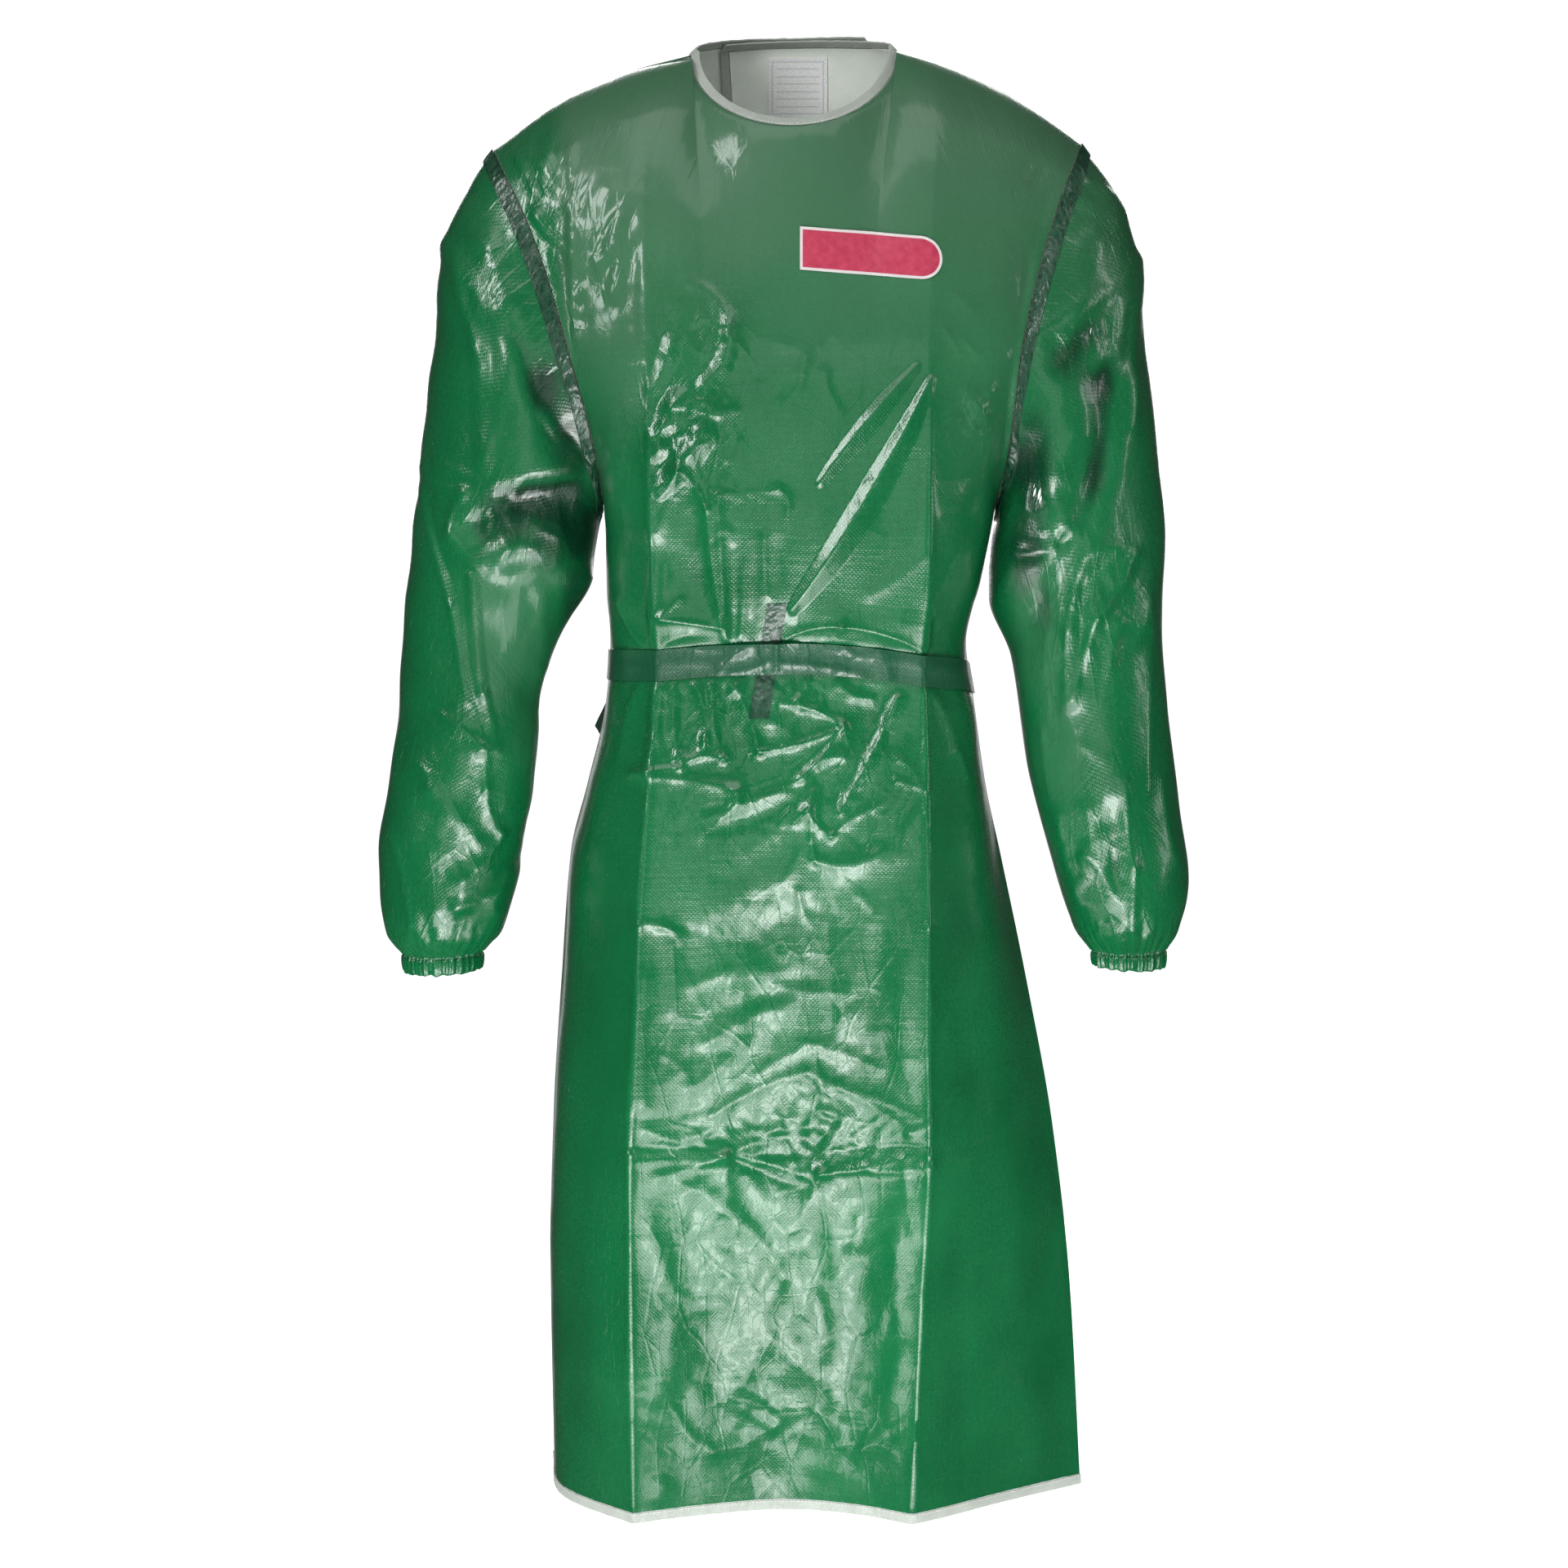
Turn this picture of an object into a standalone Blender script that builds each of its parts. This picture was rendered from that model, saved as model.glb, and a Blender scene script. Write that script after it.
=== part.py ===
"""A long sleeved apron of film-coated green cloth, hanging filled out as if worn.

Every cloth piece is a thin wall laid on one surface of the whole garment. The surface is
worked out from a short table of level sections for the body, a table of rings for each
sleeve, and the line of the shoulders and the neck. Metres, +Z up, +X to the viewer's right,
the front faces -Y. The origin is between the shoulders, level with the neck opening.
"""

from collections import namedtuple
from math import pi

import bmesh
import bpy
import numpy as np

MM = 0.001

# Walls and gaps
CLOTH_WALL = 1.2 * MM
BINDING_WALL = 2.0 * MM
TAPE_WALL = 1.0 * MM
SEAM_GAP = 0.3 * MM
BINDING_GAP = 0.8 * MM
BINDING_WIDTH = 9 * MM

# Neck opening, seen from above as an ellipse that tilts down to the front
NECK_CENTRE_X = 3 * MM
NECK_HALF_WIDTH = 86 * MM
NECK_FRONT_REACH = 86 * MM
NECK_BACK_REACH = 90 * MM
NECK_LEFT_Z = 15 * MM
NECK_RIGHT_Z = 21 * MM
NECK_FRONT_DROP = 57 * MM
NECK_BACK_RISE = 5 * MM
NECK_BINDING_RISE = 6 * MM
NECK_BINDING_LEAN = 6.5 * MM

# The belt, how far it sinks from the centre front to each side and to the back, and how far
# above and below it the cloth sinks with it
BELT_HALF_WIDTH = 13
BELT_HEIGHT = -478
BELT_DIP_LEFT = 20 * MM
BELT_DIP_RIGHT = 33 * MM
BELT_DIP_BACK = 30 * MM
BELT_DIP_REACH = 90 * MM
BELT_TAIL_WIDTH = 25 * MM

# Back panels: how far each passes the middle, in column stations, and how far the outer one
# stands off the inner one, growing from the first of these stations to the second
BACK_OVERLAP = 0.45
OUTER_LAYER = 3.6 * MM
OUTER_LAYER_START = 1.6
OUTER_LAYER_FULL = 3.2

# Sealed on at the front: a short tape under the belt, and a patch with one round end
FRONT_TAPE_WIDTH = 16.5 * MM
FRONT_TAPE_TOP = (-11 * MM, -431.5 * MM)
FRONT_TAPE_FOOT = (-26.6 * MM, -528.5 * MM)
FRONT_TAPE_LIFT = 1.9 * MM
PATCH_WALL = 0.8 * MM
PATCH_LEFT_X = 7.5 * MM
PATCH_LEFT_Z = -138.5 * MM
PATCH_LENGTH = 117 * MM
PATCH_HALF_HEIGHT = 17.5 * MM
PATCH_FALL = 0.080
PATCH_LIFT = 2.2 * MM
LABEL_WALL = 0.8 * MM
LABEL_LEFT_X = -19.5 * MM
LABEL_RIGHT_X = 32 * MM
LABEL_TOP_Z = 15 * MM
LABEL_FOOT_Z = -36 * MM
LABEL_LIFT = -1.8 * MM

# Sleeves: where they are set in, and the clearance from the body's edge
UNDERARM_Z = -370 * MM
UNDERARM_EASE = 40 * MM
ARMHOLE_TAPE_WIDTH = 14 * MM
TAPE_OPEN_COLUMNS = 3
SLEEVE_GAP_TOP = 0.9 * MM
SLEEVE_GAP_UNDERARM = 1.9 * MM
SLEEVE_GAP_SINK = 0.3
CUFF_WALL = 1.6 * MM

# Shape between the key columns. The middle keys stand at these shares of the creases' x.
# The side keys stand between crease and side edge: halfway where the side is a fold
# (round 0), and further out and less deep where it is round (round 1).
FRONT_MIDDLE_SHARE = 0.58
BACK_MIDDLE_SHARE = 0.78
MIDDLE_LEVELLING = 0.6
BACK_CORNER_SHARE = 0.95
ROUND_SIDE_OUT = 0.33
ROUND_SIDE_DEEP = 0.07
FRONT_CREASE_SHARPNESS = 0.75
BACK_CREASE_SHARPNESS = 0.22

# Shape over the shoulders: flatter at the neck, with the width held on longer than the height
NECK_FLATNESS = 0.75
NECK_FLAT_REACH = 1.1
SHOULDER_WIDTH_POWER = 1.3

Section = namedtuple(
    "Section",
    "z left_x right_x left_front left_back right_front right_back "
    "crease_left crease_right crease_y centre_y back_half back_y round_left round_right",
)

# Level sections of the body in mm. Above the underarm the sides are the armholes' edges.
BODY = (
    Section(-167, -200, 203, -80, 82, -80, 82, -121, 115, -111, -117, 120, 102, 0.1, 0.1),
    Section(-225, -184, 191, -90, 92, -90, 92, -120, 114, -118, -124, 120, 112, 0.2, 0.2),
    Section(-290, -167, 184, -78, 80, -78, 80, -119, 115, -122, -127, 118, 116, 0.5, 0.4),
    Section(-340, -159, 177, -44, 50, -44, 50, -118, 116, -121, -127, 116, 115, 0.8, 0.7),
    Section(-370, -158, 172, 4, 4, 2, 2, -117, 116, -120, -126, 114, 114, 1.0, 1.0),
    Section(-420, -157, 163, 12, 12, 12, 12, -115, 113, -116, -121, 110, 108, 1.0, 1.0),
    Section(-478, -154, 150, 12, 12, 12, 12, -111, 109, -108, -112, 104, 98, 1.0, 1.0),
    Section(-530, -158, 157, 12, 12, 10, 10, -114, 112, -112, -113, 108, 104, 1.0, 1.0),
    Section(-600, -174, 167, 14, 14, 8, 8, -119, 115, -124, -119, 116, 118, 1.0, 0.9),
    Section(-660, -189, 180, 20, 20, 4, 4, -126, 116, -132, -123, 124, 128, 1.0, 0.7),
    Section(-770, -198, 203, 30, 30, -4, -4, -130, 114, -141, -124, 134, 140, 1.0, 0.4),
    Section(-890, -206, 225, 36, 36, -14, -14, -136, 116, -147, -122, 142, 150, 1.0, 0.2),
    Section(-1030, -210, 241, 42, 42, -22, -22, -135, 109, -151, -118, 148, 158, 1.0, 0.1),
    Section(-1206, -208, 251, 46, 46, -30, -30, -133, 102, -155, -110, 152, 165, 1.0, 0.0),
)

ShoulderPoint = namedtuple("ShoulderPoint", "left_x left_z right_x right_z")

# The shoulder line in mm, from the armhole to the neck, for the first three key columns.
SHOULDER = (
    ShoulderPoint(-249, -60, 243, -55),
    ShoulderPoint(-186, -17, 184, -15),
    ShoulderPoint(-121, 8, 122, 12),
)

Ring = namedtuple("Ring", "outer_x outer_z inner_x inner_z centre_y half_depth")

# Rings of each sleeve in mm, from just past the armhole to the gathered end above the cuff.
SLEEVE_LEFT = (
    Ring(-277, -106, -163, -392, -4, 90),
    Ring(-290, -150, -167, -420, -8, 84),
    Ring(-303, -230, -187, -455, -10, 76),
    Ring(-312, -310, -207, -500, -12, 68),
    Ring(-321, -392, -216, -536, -14, 62),
    Ring(-329, -460, -215, -568, -16, 58),
    Ring(-334, -540, -219, -600, -17, 56),
    Ring(-346, -618, -228, -645, -18, 55),
    Ring(-352, -670, -234, -685, -18, 53),
    Ring(-346, -727, -247, -723, -18, 46),
    Ring(-333, -742, -263, -740, -18, 35),
)
SLEEVE_RIGHT = (
    Ring(274, -100, 170, -402, -4, 90),
    Ring(291, -160, 168, -440, -8, 83),
    Ring(300, -232, 187, -488, -10, 75),
    Ring(311, -310, 196, -545, -12, 67),
    Ring(316, -392, 203, -583, -14, 61),
    Ring(316, -460, 209, -610, -16, 58),
    Ring(320, -530, 216, -640, -17, 56),
    Ring(332, -612, 224, -668, -18, 54),
    Ring(339, -678, 233, -694, -18, 52),
    Ring(332, -721, 245, -724, -18, 45),
    Ring(322, -738, 257, -739, -18, 35),
)
CUFF_LEFT = (Ring(-331, -743, -265, -741, -18, 33), Ring(-331, -758, -265, -755, -18, 33))
CUFF_RIGHT = (Ring(320, -739, 259, -740, -18, 31), Ring(320, -754, 259, -752, -18, 31))

Fold = namedtuple("Fold", "x0 z0 x1 z1 width height")

# The largest folds in mm: a ridge along a line, or a trough where height is negative. Those of
# a sleeve go through it, so its hidden side has them too.
FRONT_FOLDS = (
    Fold(14, -438, 106, -250, 15, 6),
    Fold(38, -330, 98, -238, 12, 4),
    Fold(5, -456, 105, -452, 12, 4),
    Fold(-50, -310, -52, -448, 13, 6),
    Fold(-108, -440, -60, -448, 12, 3),
    Fold(-116, -512, -122, -570, 12, 4),
    Fold(88, -510, 44, -606, 14, 6),
    Fold(-40, -512, -52, -600, 14, -5),
    Fold(-130, -890, 112, -890, 16, -4),
)

SLEEVE_LEFT_FOLDS = (
    Fold(-262, -165, -228, -238, 16, 5),
    Fold(-240, -330, -206, -348, 14, 6),
    Fold(-266, -408, -272, -520, 16, 5),
    Fold(-322, -596, -270, -652, 14, 5),
)
SLEEVE_RIGHT_FOLDS = (
    Fold(282, -162, 222, -220, 15, 5),
    Fold(259, -275, 224, -345, 15, 5),
    Fold(268, -395, 246, -500, 16, 5),
    Fold(300, -590, 268, -652, 14, 4),
)

# Column stations: a whole number is a key column, from the left side (0) by the middle (4).
# The neck lies between stations 3 and 5.
FRONT_COLUMNS = (0, 0.5, 1, 1.5, 2, 2.5, 3, 3.3, 3.6, 3.9, 4.2, 4.6, 5, 5.5, 6, 6.5, 7, 7.5, 8)
BACK_COLUMNS = (0, 0.5, 1, 1.5, 2, 2.5, 3, 3.28, 4 - BACK_OVERLAP, 3.78, 4,
                4.22, 4 + BACK_OVERLAP, 4.72, 5, 5.5, 6, 6.5, 7, 7.5, 8)
TOP_STEPS = 4
ARMHOLE_LEVELS = (-167, -215, -263, -306, -340, -362, -370)
BELT_LEVELS = (BELT_HEIGHT + BELT_HALF_WIDTH, BELT_HEIGHT, BELT_HEIGHT - BELT_HALF_WIDTH)
SKIRT_LEVELS = (-420, *BELT_LEVELS, -535, -590, -650, -720, -800, -860, -890, -920,
                -1000, -1100, -1199)

# The two halves of the belt lap at the middle of the front and meet in a knot at the back.
# Each runs from its lapped end round its side; the lifts over the cloth at named stations
# clear the tape, the other half and the bound edge of the outer back panel.
BELT_LAP_START = 3.6
BELT_LAP_END = 3.9
BELT_KNOT_LEFT = 2.0
BELT_KNOT_RIGHT = 3.0
BeltLift = namedtuple("BeltLift", "station lift")
BELT_LEFT_LIFTS = (BeltLift(0, 1.5), BeltLift(3, 1.5), BeltLift(3.3, 2.4), BeltLift(3.6, 3.4),
                   BeltLift(3.9, 3.4))
BELT_RIGHT_LIFTS = (BeltLift(3.6, 5.0), BeltLift(3.9, 5.0), BeltLift(4.2, 3.2),
                    BeltLift(4.6, 1.6), BeltLift(8, 1.5))
BELT_BACK_LIFTS = (BeltLift(0, 1.5), BeltLift(1.6, 1.5), BeltLift(3.2, 5.4), BeltLift(4.45, 6.2),
                   BeltLift(4.72, 6.8), BeltLift(5, 4.6), BeltLift(5.5, 1.5), BeltLift(8, 1.5))

KNOT_CENTRE = (-92, 115, -506)
KNOT_HALF_SIZE = (10, 11, 15)

PathPoint = namedtuple("PathPoint", "x y z")

# Free ends of the belt in mm. The first swings round to the left side, where its end shows.
TAIL_TO_SIDE = (PathPoint(-104, 106, -510), PathPoint(-122, 97, -514), PathPoint(-141, 82, -525),
                PathPoint(-154, 68, -543), PathPoint(-166, 58, -563))
TAIL_DOWN = (PathPoint(-92, 121, -523), PathPoint(-92, 124, -560), PathPoint(-93, 131, -620),
             PathPoint(-96, 139, -690))


def clear_scene():
    for old in list(bpy.data.objects):
        bpy.data.objects.remove(old, do_unlink=True)


def material(name, colour, roughness):
    """The named material, made the first time it is asked for."""
    made = bpy.data.materials.get(name)
    if made:
        return made
    made = bpy.data.materials.new(name)
    made.use_nodes = True
    shader = made.node_tree.nodes["Principled BSDF"]
    shader.inputs["Base Color"].default_value = (*colour, 1)
    shader.inputs["Roughness"].default_value = roughness
    shader.inputs["Metallic"].default_value = 0.0
    made.diffuse_color = (*colour, 1)
    return made


GREEN_FILM = ("green_film_cloth", (0.027, 0.212, 0.080), 0.28)
BELT_GREEN = ("belt_film_cloth", (0.014, 0.115, 0.052), 0.35)
DARK_TAPE = ("dark_sealing_tape", (0.012, 0.095, 0.060), 0.30)
WHITE_BINDING = ("white_nonwoven_binding", (0.58, 0.60, 0.57), 0.85)
PINK_PATCH = ("pink_vinyl_patch", (0.55, 0.06, 0.12), 0.45)
WHITE_LABEL = ("white_woven_label", (0.80, 0.80, 0.80), 0.75)


def smooth_rows(at, knots, values):
    """Values at any height, on cubic curves through the rows with limited slopes, so that
    nothing swings past a row."""
    knots = np.asarray(knots, float)
    values = np.asarray(values, float)
    order = np.argsort(knots)
    knots = knots[order]
    values = values[order]
    rise = np.diff(values) / np.diff(knots)
    slope = np.zeros_like(values)
    same_way = rise[:-1] * rise[1:] > 0
    total = np.where(same_way, rise[:-1] + rise[1:], 1.0)
    slope[1:-1] = np.where(same_way, 2 * rise[:-1] * rise[1:] / total, 0.0)
    slope[0] = rise[0]
    slope[-1] = rise[-1]
    at = np.clip(at, knots[0], knots[-1])
    i = np.clip(np.searchsorted(knots, at) - 1, 0, len(knots) - 2)
    step = knots[i + 1] - knots[i]
    f = (at - knots[i]) / step
    return (
        (1 + 2 * f) * (1 - f) ** 2 * values[i]
        + f * (1 - f) ** 2 * step * slope[i]
        + f * f * (3 - 2 * f) * values[i + 1]
        + f * f * (f - 1) * step * slope[i + 1]
    )


def through_keys(keys, t, sharp):
    """Points at station t of a curve through the key points, keys being (key, ..., 2) and t
    spread along the last row axis. A key with sharp 1 is a corner, and with 0 is smooth."""
    count = len(keys)
    t = np.asarray(t, float)
    i = np.clip(np.floor(t).astype(int), 0, count - 2)
    f = (t - i)[:, None]
    column = np.arange(len(t))

    def key(index):
        return keys[np.clip(index, 0, count - 1), :, column].transpose(1, 0, 2)

    before, start, end, after = key(i - 1), key(i), key(i + 1), key(i + 2)

    def length(a, b):
        return np.maximum(np.linalg.norm(b - a, axis=-1, keepdims=True), 1e-6)

    span = length(start, end)
    run = (end - start) / span

    def blended(other, other_length, sharpness):
        smooth = (other * span + run * other_length) / (span + other_length)
        return smooth + (run - smooth) * sharpness[None, :, None]

    length_before = length(before, start)
    length_after = length(end, after)
    run_before = np.where((i == 0)[None, :, None], run, (start - before) / length_before)
    run_after = np.where((i == count - 2)[None, :, None], run, (after - end) / length_after)
    leave = blended(run_before, length_before, sharp[i]) * span
    reach = blended(run_after, length_after, sharp[i + 1]) * span
    return (
        (1 + 2 * f) * (1 - f) ** 2 * start
        + f * (1 - f) ** 2 * leave
        + f * f * (3 - 2 * f) * end
        + f * f * (f - 1) * reach
    )


def column_of(table, name, z):
    """A length from the table at the heights z, in metres."""
    return smooth_rows(z, [row.z * MM for row in table], [getattr(row, name) * MM for row in table])


def share_of(table, name, z):
    """A share from the table at the heights z."""
    return smooth_rows(z, [row.z * MM for row in table], [getattr(row, name) for row in table])


def section_keys(z, front):
    """The nine key points (x, y) of the front or the back at the heights z (rows, columns)."""
    left = np.stack([column_of(BODY, "left_x", z),
                     column_of(BODY, "left_front" if front else "left_back", z)], -1)
    right = np.stack([column_of(BODY, "right_x", z),
                      column_of(BODY, "right_front" if front else "right_back", z)], -1)
    if front:
        crease_y = column_of(BODY, "crease_y", z)
        middle_y = column_of(BODY, "centre_y", z)
        left_crease = np.stack([column_of(BODY, "crease_left", z), crease_y], -1)
        right_crease = np.stack([column_of(BODY, "crease_right", z), crease_y], -1)
        middle_share = FRONT_MIDDLE_SHARE
    else:
        middle_y = column_of(BODY, "back_y", z)
        half = column_of(BODY, "back_half", z)
        left_crease = np.stack([-half, middle_y * BACK_CORNER_SHARE], -1)
        right_crease = np.stack([half, middle_y * BACK_CORNER_SHARE], -1)
        middle_share = BACK_MIDDLE_SHARE
    middle = np.stack([np.zeros_like(z), middle_y], -1)

    def side(edge, crease, name):
        roundness = share_of(BODY, name, z)
        across = 0.5 + ROUND_SIDE_OUT * roundness
        deep = 0.5 - ROUND_SIDE_DEEP * roundness
        return np.stack([crease[..., 0] + (edge[..., 0] - crease[..., 0]) * across,
                         crease[..., 1] + (edge[..., 1] - crease[..., 1]) * deep], -1)

    def inner(crease):
        levelled = crease[..., 1] + (middle[..., 1] - crease[..., 1]) * MIDDLE_LEVELLING
        return np.stack([crease[..., 0] * middle_share, levelled], -1)

    return np.stack([
        left, side(left, left_crease, "round_left"), left_crease, inner(left_crease), middle,
        inner(right_crease), right_crease, side(right, right_crease, "round_right"), right,
    ])


def neck_edge(turn, front):
    """The neck edge, for a turn from 0 at the left neck point to pi at the right one."""
    reach = -NECK_FRONT_REACH if front else NECK_BACK_REACH
    x = NECK_CENTRE_X - NECK_HALF_WIDTH * np.cos(turn)
    y = reach * np.sin(turn)
    level = NECK_LEFT_Z + (NECK_RIGHT_Z - NECK_LEFT_Z) * turn / pi
    change = -NECK_FRONT_DROP if front else NECK_BACK_RISE
    return np.stack([x, y, level + change * np.sin(turn)], -1)


def top_line(t, front):
    """The shoulder line out to each armhole and the neck edge between, at the stations t."""
    t = np.asarray(t, float)
    turn = np.clip((t - 3) / 2, 0, 1) * pi
    line = neck_edge(turn, front)
    left_neck = neck_edge(np.array([0.0]), front)[0]
    right_neck = neck_edge(np.array([pi]), front)[0]
    stations = np.arange(4.0)
    left_x = [point.left_x * MM for point in SHOULDER] + [left_neck[0]]
    left_z = [point.left_z * MM for point in SHOULDER] + [left_neck[2]]
    right_x = [point.right_x * MM for point in SHOULDER] + [right_neck[0]]
    right_z = [point.right_z * MM for point in SHOULDER] + [right_neck[2]]
    on_left = t < 3
    line[on_left, 0] = smooth_rows(t[on_left], stations, left_x)
    line[on_left, 1] = 0
    line[on_left, 2] = smooth_rows(t[on_left], stations, left_z)
    on_right = t > 5
    line[on_right, 0] = smooth_rows(8 - t[on_right], stations, right_x)
    line[on_right, 1] = 0
    line[on_right, 2] = smooth_rows(8 - t[on_right], stations, right_z)
    return line


def belt_dip(t, front):
    """How far the belt line lies below its middle, at the stations t."""
    side = np.abs(np.asarray(t, float) - 4) / 4
    at_side = np.where(np.asarray(t) < 4, BELT_DIP_LEFT, BELT_DIP_RIGHT)
    if front:
        return at_side * side ** 1.5
    return BELT_DIP_BACK + (at_side - BELT_DIP_BACK) * side ** 2


def lay_rows(t, front, top_steps, levels):
    """The garment's surface as a grid of rows and columns, before its folds. The first rows
    round over the shoulder: they go from the top line to the first level on a quarter of an
    ellipse, flatter at the middle of the neck."""
    t = np.asarray(t, float)
    levels = np.asarray(levels, float) * MM
    near_belt = np.exp(-(((levels - BELT_HEIGHT * MM) / BELT_DIP_REACH) ** 2))
    below_arm = np.clip((UNDERARM_Z - levels) / UNDERARM_EASE, 0, 1)
    z = levels[:, None] - (near_belt * below_arm)[:, None] * belt_dip(t, front)[None, :]
    sharp = np.zeros(9)
    sharp[[2, 6]] = FRONT_CREASE_SHARPNESS if front else BACK_CREASE_SHARPNESS
    flat = through_keys(section_keys(z, front), t, sharp)
    lower = np.concatenate([flat, z[..., None]], -1)
    top = top_line(t, front)
    base = lower[0]
    turn = (np.arange(top_steps) / top_steps * pi / 2)[:, None]
    flatness = NECK_FLATNESS * np.exp(-(((t - 4) / NECK_FLAT_REACH) ** 2))[None, :]
    out = (1 - flatness) * np.sin(turn) + flatness * (1 - np.cos(turn))
    upper = np.empty((top_steps, len(t), 3))
    upper[..., 0] = base[:, 0] + (top[:, 0] - base[:, 0]) * np.cos(turn) ** SHOULDER_WIDTH_POWER
    upper[..., 1] = top[:, 1] + (base[:, 1] - top[:, 1]) * out
    upper[..., 2] = base[:, 2] + (top[:, 2] - base[:, 2]) * np.cos(turn)
    return np.concatenate([upper, lower])


def normals_of(grid, closed=False):
    """Unit normals of a grid of points, each the cross product of its two directions."""
    if closed:
        across = np.roll(grid, -1, 1) - np.roll(grid, 1, 1)
    else:
        across = np.gradient(grid, axis=1)
    down = np.gradient(grid, axis=0)
    normal = np.cross(across, down)
    return normal / np.maximum(np.linalg.norm(normal, axis=-1, keepdims=True), 1e-12)


def outward(grid, closed=False):
    """Normals that point away from the garment's middle line."""
    normal = normals_of(grid, closed)
    centre = grid.reshape(-1, 3).mean(0) if closed else np.array([0, 0, 0])
    away = ((grid - centre)[..., :2] * normal[..., :2]).sum()
    return normal if away > 0 else -normal


def folded(grid, folds, closed=False):
    """The grid with ridges and troughs along lines seen from the front, each a bell across
    its line that fades over its last quarter at both ends."""
    normal = outward(grid, closed)
    rise = np.zeros(grid.shape[:2])
    for fold in folds:
        start = np.array([fold.x0, fold.z0]) * MM
        line = np.array([fold.x1, fold.z1]) * MM - start
        run = np.linalg.norm(line)
        away = grid[..., [0, 2]] - start
        along = np.clip((away @ line) / run**2, 0, 1)
        gap = np.linalg.norm(away - along[..., None] * line, axis=-1)
        ends = np.clip(np.minimum(along, 1 - along) * 4, 0, 1)
        rise += fold.height * MM * ends * np.exp(-((gap / (fold.width * MM)) ** 2))
    return grid + normal * rise[..., None]


def solid(name, outer, inner, finish, closed=False):
    """One closed body between two grids of the same size, with its edges filled."""
    rows, columns = outer.shape[:2]
    number = np.arange(rows * columns).reshape(rows, columns)
    if closed:
        number = np.concatenate([number, number[:, :1]], 1)

    def quads(block):
        return np.stack([block[:-1, :-1], block[:-1, 1:], block[1:, 1:], block[1:, :-1]],
                        -1).reshape(-1, 4)

    shift = rows * columns
    turned = [0, 3, 2, 1]
    faces = [quads(number), quads(number)[:, turned] + shift]

    def strip(edge):
        return np.stack([edge[:-1], edge[:-1] + shift, edge[1:] + shift, edge[1:]], -1)

    faces.append(strip(number[0]))
    faces.append(strip(number[-1][::-1]))
    if not closed:
        faces.append(strip(number[::-1, 0]))
        faces.append(strip(number[:, -1]))
    faces = np.concatenate(faces)
    points = np.concatenate([outer.reshape(-1, 3), inner.reshape(-1, 3)])
    corner = points[faces]
    volume = sum(np.einsum("ij,ij->i", corner[:, 0], np.cross(corner[:, i], corner[:, i + 1])).sum()
                 for i in (1, 2))
    if volume < 0:
        faces = faces[:, turned]
    mesh = bpy.data.meshes.new(name)
    mesh.from_pydata(points.tolist(), [], faces.tolist())
    mesh.update()
    mesh.shade_smooth()
    mesh.set_sharp_from_angle(angle=pi / 3)
    mesh.materials.append(material(*finish))
    made = bpy.data.objects.new(name, mesh)
    bpy.context.scene.collection.objects.link(made)
    return made


def wall(name, grid, thickness, finish, closed=False, normal=None):
    """A sheet of the given thickness with the grid as its middle."""
    if normal is None:
        normal = outward(grid, closed)
    half = normal * thickness / 2
    return solid(name, grid + half, grid - half, finish, closed)


def trimmed(grid, left=0.0, right=0.0, top=0.0, bottom=0.0):
    """The grid with its border points moved in along the surface by the given lengths."""
    grid = grid.copy()

    def pull(edge, inside, length):
        way = inside - edge
        span = np.linalg.norm(way, axis=-1, keepdims=True)
        return edge + way / np.maximum(span, 1e-9) * length

    old = grid.copy()
    grid[:, 0] = pull(old[:, 0], old[:, 1], left)
    grid[:, -1] = pull(old[:, -1], old[:, -2], right)
    old = grid.copy()
    grid[0] = pull(old[0], old[1], top)
    grid[-1] = pull(old[-1], old[-2], bottom)
    return grid


def panel_surface(front):
    """The front's or the back's surface with its largest folds."""
    columns = FRONT_COLUMNS if front else BACK_COLUMNS
    grid = lay_rows(columns, front, TOP_STEPS, ARMHOLE_LEVELS + SKIRT_LEVELS)
    return folded(grid, FRONT_FOLDS) if front else grid


def columns_between(columns, first, last):
    """The slice of a panel's columns whose stations run from first to last."""
    chosen = [i for i, t in enumerate(columns) if first - 1e-6 <= t <= last + 1e-6]
    return slice(chosen[0], chosen[-1] + 1)


def seam_normals(front_grid, back_grid):
    """Normals of front and back, made the same along the side and shoulder seams so their
    walls meet in one plane there."""
    front = outward(front_grid)
    back = outward(back_grid)
    below_arm = slice(TOP_STEPS + len(ARMHOLE_LEVELS) - 1, None)
    shoulder = columns_between(FRONT_COLUMNS, 0, 3)
    other_shoulder = columns_between(FRONT_COLUMNS, 5, 8)
    for seam in ((below_arm, 0), (below_arm, -1), (0, shoulder), (0, other_shoulder)):
        shared = front[seam] + back[seam]
        shared /= np.linalg.norm(shared, axis=-1, keepdims=True)
        front[seam] = shared
        back[seam] = shared
    return front, back


def outer_layer(grid, normal):
    """The outer back panel lifted off the inner one, fading out towards its side seam."""
    t = np.asarray(BACK_COLUMNS)
    share = np.clip((t - OUTER_LAYER_START) / (OUTER_LAYER_FULL - OUTER_LAYER_START), 0, 1)
    lift = OUTER_LAYER * share ** 1.5
    return grid + normal * lift[None, :, None]


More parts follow.
